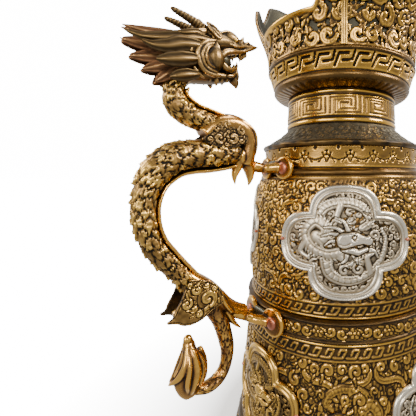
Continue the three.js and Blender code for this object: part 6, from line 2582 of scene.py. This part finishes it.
    def eyes(self) -> None:
        """The eyes: a bulging ball with a drilled pupil under a lid."""
        for number, side in enumerate((-1.0, 1.0)):
            bpy.ops.object.select_all(action="DESELECT")
            bpy.ops.mesh.primitive_uv_sphere_add(
                segments=32, ring_count=18, radius=self.eye_radius * MM, location=(-0.1284, side * 0.0074, 0.3624),
            )
            eye = bpy.context.object
            eye.name = f"dragon_eye_{number + 1}"
            bpy.ops.object.mode_set(mode="EDIT")
            mesh = bmesh.from_edit_mesh(eye.data)
            way = Vector((0.25, side, 0.12)).normalized()
            for face in mesh.faces:
                face.select = face.calc_center_median().normalized().dot(way) > 0.955
            bmesh.update_edit_mesh(eye.data)
            bpy.ops.mesh.inset(thickness=0.25 * MM, depth=-self.pupil_depth * MM)
            bpy.ops.object.mode_set(mode="OBJECT")
            bpy.ops.object.transform_apply(location=True, rotation=True, scale=True)
            dress(eye, Finish.GILT)

    def teeth(self) -> None:
        """The fangs and the small teeth of both jaws."""
        parts = MeshParts()
        upper = (
            (119.4, 355.4, 3.2, 1.3, 4.2), (124.2, 353.4, 6.2, 0.9, 2.6), (128.2, 352.0, 7.6, 0.8, 2.2),
            (132.2, 350.6, 8.6, 0.8, 2.0),
        )
        lower = ((125.0, 344.4, 2.8, 1.1, -3.6), (128.6, 341.0, 5.6, 0.8, -2.2), (132.4, 339.6, 7.4, 0.7, -1.8))
        for r, z, y, half, drop in upper + lower:
            for side in (-1, 1):
                rows = [(r, z, y, half), (r - 0.2, z - drop * 0.6, y, half * 0.7), (r + 0.3, z - drop, y, 0.12)]
                line = curve_through(sided(rows, side), 10)
                parts.add(*tube(on_plane(*line.T[:3]), line[:, 3], sides=8), 0.7)
        parts.piece("dragon_teeth", Finish.GILT)

    def horns(self) -> None:
        """The two ringed horns with a small peak at their roots."""
        for name, side in (("left", -1.0), ("right", 1.0)):
            rows = [
                (147.4, 360.4, 4.6, 4.3), (153.6, 364.2, 5.4, 3.8), (160, 366.2, 6.4, 3.1), (167, 367.6, 7.2, 2.4),
                (172.4, 368.4, 7.8, 1.7), (174.2, 368.7, 7.9, 0.7),
            ]
            line = curve_through(sided(rows, side), 90)
            rings = np.cos(np.linspace(0, 1, 90) * math.tau * self.horn_rings)
            points, faces = tube(on_plane(*line.T[:3]), line[:, 3] * (1.0 + 0.05 * rings), sides=18)
            # Painted highlight on each ring's ridge, painted shade in the groove between rings.
            shade = np.repeat(0.48 + 0.2 * rings, 18)
            parts = MeshParts().add(points, faces, np.concatenate([shade, [0.4, 0.9]]))
            peak = sided([(150, 363, 3.6, 1.6), (152.4, 368, 3.4, 1.7), (154.4, 371.2, 3.2, 0.3)], side)
            parts.add(*blade(peak, 1.6, 1, 14, 9, (1.0, 0.0, 0.3)))
            piece = parts.piece(f"dragon_horn_{name}", Finish.HIDE, slot="worn_gilt")
            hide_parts(f"horn_{name}")

    def ears(self) -> None:
        """The ears: pointed cups that open to the side."""
        for name, side in (("left", -1.0), ("right", 1.0)):
            cast = Casting(f"dragon_ear_{name}")
            loop = [
                (150.9, 367.0, 9.4), (146.8, 366.0, 10.0), (143.2, 363.4, 10.6), (141.0, 359.6, 11.0),
                (143.2, 357.6, 11.8), (146.8, 359.6, 12.2), (149.4, 362.6, 11.4), (150.9, 367.0, 9.6),
            ]
            cast.limb([(*spot, 1.05) for spot in loop], sides=10, count=50, side=side)
            cast.limb([(141.6, 359.2, 9.4, 3.0), (146, 361.8, 9.0, 3.4), (150, 365.6, 8.6, 1.2)], 0.8, 12, side=side)
            cast.cast(0.4, 1, Finish.HIDE, [f"ear_{name}"])

    def mane(self) -> None:
        """The mane: broad, lightly notched leaves on each side over a fan of grooved ones."""
        leaves = [
            (
                [
                    (146, 355.2, 10.2, 0.6), (153, 353.6, 11.6, 3.0), (164, 350.6, 12.8, 4.6), (177, 346.0, 12.8, 4.4),
                    (189, 343.6, 10.6, 3.0), (196, 344.4, 8.6, 1.6), (200.0, 345.8, 7.2, 0.4),
                ],
                2.6,
            ),
            (
                [
                    (152, 348.6, 12.2, 0.8), (159, 346.8, 13.6, 4.0), (169, 344.0, 14.4, 5.4), (178, 340.0, 14.2, 4.8),
                    (186, 338.8, 13.2, 2.8), (191.4, 340.4, 12.0, 0.9),
                ],
                3.0,
            ),
            (
                [
                    (155, 338.8, 12.6, 0.8), (161, 336.8, 14.0, 3.8), (168, 334.4, 15.0, 5.2), (176, 331.9, 15.2, 4.6),
                    (181.6, 330.7, 14.6, 2.8), (184.2, 330.3, 14.2, 0.9),
                ],
                3.6,
            ),
            (
                [
                    (154, 329.0, 10.0, 0.8), (160, 327.0, 11.8, 3.2), (166, 325.0, 12.8, 4.6), (172, 322.8, 13.0, 3.8),
                    (176.0, 321.4, 12.6, 1.0),
                ],
                3.4,
            ),
            (
                [(153, 357.0, 11.6, 1.4), (160, 355.4, 13.4, 2.6), (168, 352.2, 14.2, 2.0), (175.4, 350.6, 13.6, 0.4)],
                2.4,
            ),
        ]
        parts = MeshParts()
        for rows, thick in leaves:
            for side in (-1.0, 1.0):
                parts.add(*blade(sided(rows, side), thick, 2, 40, 17, (0.0, 0.3 * side, 1.0), 0.05))
        piece = parts.piece("dragon_mane_leaves", Finish.HIDE, slot="worn_gilt")
        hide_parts("mane")
        fan = [
            [(160, 352, 0, 5.0), (178, 350.4, 0, 4.6), (192, 350.2, 0, 2.6), (200.1, 350.4, 0, 0.4)],
            [
                (160, 347, 0, 6.4), (178, 344.2, 0, 6.0), (191, 342.0, 0, 4.4), (198.6, 341.4, 0, 2.2),
                (200.2, 341.3, 0, 0.9),
            ],
            [
                (160, 342, 0, 6.4), (176, 337.6, 0, 6.2), (188, 334.2, 0, 4.2), (194.6, 332.6, 0, 2.0),
                (196.2, 332.2, 0, 0.8),
            ],
            [(162, 338, 0, 5.0), (174, 332.4, 0, 5.4), (184, 327.8, 0, 3.6), (189.4, 325.6, 0, 1.0)],
            [(164, 334, 0, 4.0), (172, 328.4, 0, 4.6), (179, 322.0, 0, 3.2), (182.4, 318.8, 0, 0.9)],
        ]
        inner = MeshParts()
        for rows in fan:
            for side in (-1.0, 1.0):
                line = [(r, z, side * (2.2 + 5.4 * max(0.0, 1.0 - (r - 160) / 34.0)), half) for r, z, _, half in rows]
                inner.add(*blade(line, 2.2, 2, 30, 15, (0.0, 0.0, 1.0)))
        inner.piece("dragon_mane_inner", Finish.MANE, slot="copper")


# The spout and the lid


SPOUT_RUN = [(0, 0), (0.3, 0.01), (0.52, 0.08), (0.68, 0.22), (0.75, 0.42), (0.79, 0.62), (0.86, 0.82), (1.02, 1)]


@dataclass
class Spout:
    """The curved spout in the jaws of a sea beast's mask.

    Args:
        walls: The shared radii and heights.
        root: The height of its root.
        tip: The height of its tip.
        length: How far it reaches out.
        wall: The thickness of its wall.
    """

    walls: Walls
    root: float = 84.0
    tip: float = 332.0
    length: float = 95.0
    wall: float = 2.2

    def build(self) -> None:
        """Builds the tube, the lip and the mask."""
        self.start = float(self.walls.lower_radius(self.root))
        rows = [(self.start + out * self.length, self.root + up * (self.tip - self.root)) for out, up in SPOUT_RUN]
        self.line = curve_through(rows, 400)
        self.tube()
        self.lip()
        self.mask()

    def _ring(self, line: np.ndarray, radius: np.ndarray, sides: int) -> np.ndarray:
        """Rings of points round a run that lies in the spout's plane.

        Args:
            line: The run, as distance and height.
            radius: The radii, by the ring and the place round it.
            sides: How many places a ring has.

        Returns:
            The points, by the ring and the place round it.
        """
        path = np.stack([line[:, 0], np.zeros(len(line)), line[:, 1]], axis=1)
        turn = np.arange(sides) / sides * math.tau
        wide, tall = np.cos(turn)[None] * radius, np.sin(turn)[None] * radius
        return path[:, None] + ASIDE * wide[..., None] + upward(path)[:, None] * tall[..., None]

    def tube(self) -> None:
        """The tube: scrolls and bands over a plain bore."""
        length = line_length(self.line)
        relief = Relief(math.tau * 10.8, length, 1.02, True, 301)
        for place in np.arange(0.07, 0.98, 0.115):
            y = place * length
            relief.rail(y, 1.3, 0.8)
            relief.rail(y + 2.6, 0.8, 0.5)
        for low in np.arange(0.07, 0.9, 0.115):
            relief.scrolls((0, relief.width, low * length + 4.5, (low + 0.115) * length - 2.0), 9.0, 3.8, 0.85, 0.8)
        relief.hammered(0.1, 8.0)
        line = curve_through(self.line[::8], relief.rows)
        share = np.linspace(0.0, 1.0, relief.rows)[:, None]
        radius = 13.0 - 4.4 * share
        outer = self._ring(line, radius + relief.field - 0.3, relief.columns)
        bore = self._ring(line, np.broadcast_to(radius - self.wall, relief.field.shape), relief.columns)
        points = np.vstack([outer.reshape(-1, 3), bore[::-1].reshape(-1, 3)])
        shade = np.concatenate([relief.shade(0.9).ravel(), np.full(relief.rows * relief.columns, 0.15)])
        parts = MeshParts().add(points, ring_faces(2 * relief.rows, relief.columns), shade)
        piece = parts.piece("spout_pipe", Finish.GROUND)
        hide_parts("spout_tube")

    def lip(self) -> None:
        """The rounded ring at the spout's mouth."""
        end = self.line[-1]
        way = self.line[-1] - self.line[-6]
        way /= np.linalg.norm(way)
        section = [
            (9.0, -7.0), (10.2, -6.6), (10.8, -5.6), (10.2, -4.6), (9.6, -3.9), (10.4, -3.0), (11.1, -1.9),
            (11.0, -0.7), (10.2, 0.0), (9.0, 0.0),
        ]
        rings, sides = [], 48
        for radius, back in section:
            spot = np.stack([end + way * (back - 0.001), end + way * (back + 0.001)])
            rings.append(self._ring(spot, np.full((2, sides), radius), sides)[0])
        parts = MeshParts().add(np.vstack(rings), ring_faces(len(section), sides), 0.6)
        piece = parts.piece("spout_lip_ring", Finish.GILT)
        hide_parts("spout_lip")

    def mask(self) -> None:
        """The beast's mask: brows, eyes, snout, fangs and side curls round the spout."""
        cast = Casting("spout_mask_beast")
        base = -self.start

        def there(out: float, z: float, y: float, half: float) -> tuple[float, float, float, float]:
            """A row from the distance to the wall and the height over the spout's root."""
            return (base - out, self.root + z, y, half)

        ring = 20
        for out, size, half in (
            (1.5, 22.0, 5.0), (9.0, 20.0, 5.6), (17.0, 17.4, 4.6), (25.0, 15.6, 3.4), (32.0, 15.4, 3.0),
            (37.0, 15.0, 2.2),
        ):
            rows = []
            for place in range(ring + 1):
                angle = place / ring * math.tau
                rows.append(there(out, size * math.sin(angle), size * 1.02 * math.cos(angle), half))
            cast.limb(rows, sides=12, count=60)
        for side in (-1, 1):
            cast.limb(
                [there(4, 14, 14, 5.0), there(8, 22, 15, 4.6), there(6, 31, 17, 3.2), there(5, 38, 18.4, 0.6)],
                flat=0.7, side=side,
            )
            cast.limb(
                [there(10, 4, 21, 4.0), there(7, 2, 27, 3.6), there(5, 8, 30, 2.4), there(6, 12, 27, 1.4)], sides=12,
                side=side,
            )
            cast.limb([there(8, -10, 20, 4.0), there(6, -16, 25, 3.0), there(5, -13, 29, 1.6)], sides=12, side=side)
            cast.limb(
                [there(14, 17, 5, 2.6), there(17, 20, 10, 3.0), there(12, 17, 17, 2.2), there(8, 12, 22, 1.2)],
                sides=12, side=side,
            )
            cast.ball(base - 18, self.root + 14.5, side * 9.6, (3.4, 3.4, 3.4))
            cast.limb([there(34, -10, 8, 2.0), there(37, -14, 8.4, 1.5), there(39, -17.6, 8, 0.4)], sides=10, side=side)
            cast.limb([there(24, -13, 12, 2.0), there(18, -19, 14, 2.2), there(10, -24, 12, 0.8)], sides=10, side=side)
        cast.limb(
            [
                there(22, 15, 0, 5.0), there(30, 18, 0, 4.4), there(36, 22, 0, 3.4),
                there(39, 29, 0, 2.4), there(38.5, 38, 0, 0.8),
            ],
            sides=14,
        )
        cast.limb([there(16, -19, 0, 4.0), there(22, -22, 0, 2.8), there(28, -23, 0, 0.8)], sides=12)
        cast.cast(1.05, 3, Finish.GILT, ["spout_mask"], "gilt")


@dataclass
class Lid:
    """The lid: a domed cover with a ring of petals and a bud finial.

    Args:
        petals: Petals round the dome.
        turns: Steps round the finial.
    """

    petals: int = 24
    turns: int = 64

    def build(self) -> None:
        """Builds the cover and the finial."""
        outer = [
            (54.0, 333.2), (54.0, 342.0), (61.6, 342.0), (62.0, 343.0), (62.0, 344.4), (61.2, 345.6), (58.0, 347.0),
            (52.0, 351.0), (43.4, 356.5), (33.0, 361.0), (21.7, 364.2), (14.0, 366.4), (10.0, 367.4), (4.0, 367.5),
        ]
        inner = [(0.6, 367.5), (0.6, 335.6), (51.4, 335.6), (51.4, 333.2)]
        cover = TurnedWall(
            "lid_cover", outer, inner, 1.32, Finish.GILT, ["lid"], height=0.9, smooth=1, body=LID, seed=401,
        )
        relief, count = cover.relief, self.petals
        for place in range(count):
            x = (place + 0.5) * relief.width / count
            relief.stroke([(x, 28.0), (x, 40.0), (x, 52.0)], [5.6, 5.0, 2.4], 1.0)
            relief.stroke([(x, 28.0), (x, 52.0)], [1.0, 0.6], 1.4)
        relief.beads(24.6, 6.0, 2.0, 0.9)
        cover.build()
        profile = [
            (0.0, 367.5), (7.6, 367.6), (8.4, 368.6), (7.6, 370.0), (5.2, 371.4), (4.8, 373.0), (6.8, 374.8),
            (9.2, 378.0), (10.0, 381.6), (9.2, 385.4), (7.4, 388.6), (6.8, 390.6), (5.6, 392.4), (3.4, 395.0),
            (1.6, 397.2), (0.0, 398.4),
        ]
        bpy.ops.object.select_all(action="DESELECT")
        bpy.ops.mesh.primitive_circle_add(vertices=3, radius=MM)
        bud = bpy.context.object
        bud.name = "lid_finial_bud"
        bpy.ops.object.mode_set(mode="EDIT")
        mesh = bmesh.from_edit_mesh(bud.data)
        bmesh.ops.delete(mesh, geom=list(mesh.verts), context="VERTS")
        line = along_line(profile, 60, 1)
        made = [mesh.verts.new((max(r, 0.0) * MM, 0.0, z * MM)) for r, z in line]
        for first, second in zip(made, made[1:]):
            mesh.edges.new((first, second))
        for vertex in mesh.verts:
            vertex.select = True
        mesh.select_flush(True)
        bmesh.update_edit_mesh(bud.data)
        bpy.ops.mesh.spin(steps=self.turns, angle=math.tau, center=(0.0, 0.0, 0.0), axis=(0.0, 0.0, 1.0))
        bpy.ops.mesh.select_all(action="SELECT")
        bpy.ops.mesh.remove_doubles(threshold=0.00001)
        bpy.ops.mesh.normals_make_consistent(inside=False)
        bpy.ops.object.mode_set(mode="OBJECT")
        dress(bud, Finish.GILT, None, LID, "gilt")
        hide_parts("lid_finial")


# Camera, lights and floor


@dataclass
class Studio:
    """A pale floor, soft lights and the camera at the photograph's angle.

    Args:
        camera_angle: The camera's place round the axis, in degrees from -X towards -Y.
        camera_distance: Its distance from the axis, in metres.
        camera_height: Its height.
        yaw: How far it looks to the left of the axis, in degrees.
        pitch: How far it looks up, in degrees.
        lens: Its focal length for a 36 mm sensor.
        shift: The frame's shift.
    """

    camera_angle: float = 42.85
    camera_distance: float = 0.3123
    camera_height: float = 0.2561
    yaw: float = 4.16
    pitch: float = -0.36
    lens: float = 24.26
    shift: tuple[float, float] = (-0.27, -0.07)

    def build(self) -> None:
        """Sets everything up."""
        self.camera()
        self.lights()
        self.floor()

    def camera(self) -> None:
        """The camera."""
        data = bpy.data.cameras.new("camera")
        data.sensor_width, data.sensor_fit = 36.0, "HORIZONTAL"
        data.lens, data.shift_x, data.shift_y = self.lens, *self.shift
        data.clip_start, data.clip_end = 0.01, 50.0
        data.dof.use_dof = False
        camera = bpy.data.objects.new("camera", data)
        angle = math.radians(self.camera_angle)
        camera.location = (
            -self.camera_distance * math.cos(angle), -self.camera_distance * math.sin(angle), self.camera_height,
        )
        heading = math.radians(self.camera_angle + self.yaw)
        rise = math.radians(self.pitch)
        look = Vector((math.cos(heading) * math.cos(rise), math.sin(heading) * math.cos(rise), math.sin(rise)))
        camera.rotation_euler = look.to_track_quat("-Z", "Y").to_euler()
        bpy.context.scene.collection.objects.link(camera)
        bpy.context.scene.camera = camera

    def _area(self, name: str, place: Colour, size: float, power: float, colour: Colour) -> None:
        """A square soft light that looks at the ewer's middle.

        Args:
            name: Its name.
            place: Where it stands, in metres.
            size: Its side.
            power: Its power in watts.
            colour: Its colour.
        """
        data = bpy.data.lights.new(name, "AREA")
        data.size, data.energy, data.color = size, power, colour
        lamp = bpy.data.objects.new(name, data)
        lamp.location = place
        lamp.rotation_euler = (Vector((0.0, 0.0, 0.24)) - Vector(place)).to_track_quat("-Z", "Y").to_euler()
        bpy.context.scene.collection.objects.link(lamp)

    def lights(self) -> None:
        """Five soft lights, and a surround that is white to the camera and dim where the metal mirrors it."""
        self._area("key", (1.0, -1.3, 1.5), 0.6, 56.0, (1.0, 0.92, 0.80))
        self._area("front", (-0.9, -1.7, 0.9), 0.5, 15.0, (1.0, 0.93, 0.83))
        self._area("side", (-1.7, -0.4, 0.7), 0.9, 15.0, (1.0, 0.94, 0.86))
        self._area("rim", (-1.2, 1.3, 1.2), 0.8, 18.0, (1.0, 0.92, 0.81))
        self._area("top", (0.3, 0.0, 2.0), 0.6, 20.0, (1.0, 0.93, 0.83))
        world = bpy.data.worlds.new("studio")
        world.use_nodes = True
        shader = Shader.on(world.node_tree)
        way = shader.node("ShaderNodeTexCoord", output="Generated")
        behind = shader.node(
            "ShaderNodeVectorMath", {"operation": "DOT_PRODUCT"}, {0: way, 1: (0.68, 0.73, 0.0)}, output="Value",
        )
        height = shader.node("ShaderNodeSeparateXYZ", {}, {0: way}, output="Z")
        low = (1.2 - height * 1.1).clamp()
        seen = shader.node("ShaderNodeLightPath", output="Is Camera Ray")
        strength = 0.34 + low * ((behind * 1.4 - 0.1).clamp() * 0.9 + 0.22)
        strength = strength * (1.0 - seen) + seen * 16.0
        back = shader.node("ShaderNodeBackground", {}, {"Color": (1.0, 0.995, 0.985, 1.0), "Strength": strength})
        output = world.node_tree.nodes.new("ShaderNodeOutputWorld")
        world.node_tree.links.new(back.socket, output.inputs["Surface"])
        bpy.context.scene.world = world

    def floor(self) -> None:
        """A plain pale floor that glows white far from the ewer, so that it has no edge."""
        bpy.ops.object.select_all(action="DESELECT")
        bpy.ops.mesh.primitive_circle_add(vertices=96, radius=60.0, fill_type="NGON", location=(0.0, 0.0, -0.0004))
        floor = bpy.context.object
        floor.name = "studio_floor"
        floor.visible_glossy = floor.visible_diffuse = False
        shader = Shader("pale_floor")
        tint = shader.mix(shader.noise(3.0, 2.0), (0.86, 0.855, 0.845), (0.90, 0.895, 0.885))
        reach = shader.node("ShaderNodeVectorMath", {"operation": "LENGTH"}, {0: shader.coords}, output="Value")
        far = ((reach - 0.13) * 5.0).clamp()
        glow = shader.mix(far, (0.05, 0.05, 0.049), (1.0, 0.997, 0.99))
        floor.data.materials.append(
            shader.finish({"Base Color": tint, "Roughness": 0.75, "Emission Color": glow, "Emission Strength": 16.0})
        )


def finish_carried(nodes: dict[str, Finish]) -> None:
    """Gives the CAD nodes that stay in view their finish.

    Args:
        nodes: The finish of each node.
    """
    for name, finish in nodes.items():
        carried = bpy.data.objects.get(name)
        if carried is None:
            LOG.warning("no node %s", name)
            continue
        carried.data.materials.clear()
        carried.data.materials.append(Paint.of(finish))


def main() -> None:
    """Builds the studio and the ewer."""
    logging.basicConfig(level=logging.INFO, format="%(message)s")
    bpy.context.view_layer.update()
    Studio().build()
    Vessel(WALLS).build()
    Crown(WALLS).build()
    for number, eighth in enumerate((1, 3, 5, 7)):
        angle = math.radians(45 * eighth)
        upper = (UPPER_MIDDLE, *UPPER_FRAME, WALLS.upper_radius, Finish.SILVER, "silvered")
        Medallion("upper_medallion", number + 1, angle, *upper).build()
    for number, eighth in enumerate((0, 2, 6)):
        metal, slot = (Finish.GILT, "gilt") if eighth == 0 else (Finish.SILVER, "silvered")
        angle = math.radians(45 * eighth)
        lower = (LOWER_MIDDLE, *LOWER_FRAME, WALLS.lower_radius, metal, slot)
        Medallion("lower_medallion", number + 1, angle, *lower).build()
    DragonHandle().build()
    DragonHead().build()
    Spout(WALLS).build()
    Lid().build()
    finish_carried({"base_plate": Finish.DARK})
    bpy.context.view_layer.update()


if __name__ == "__main__":
    main()
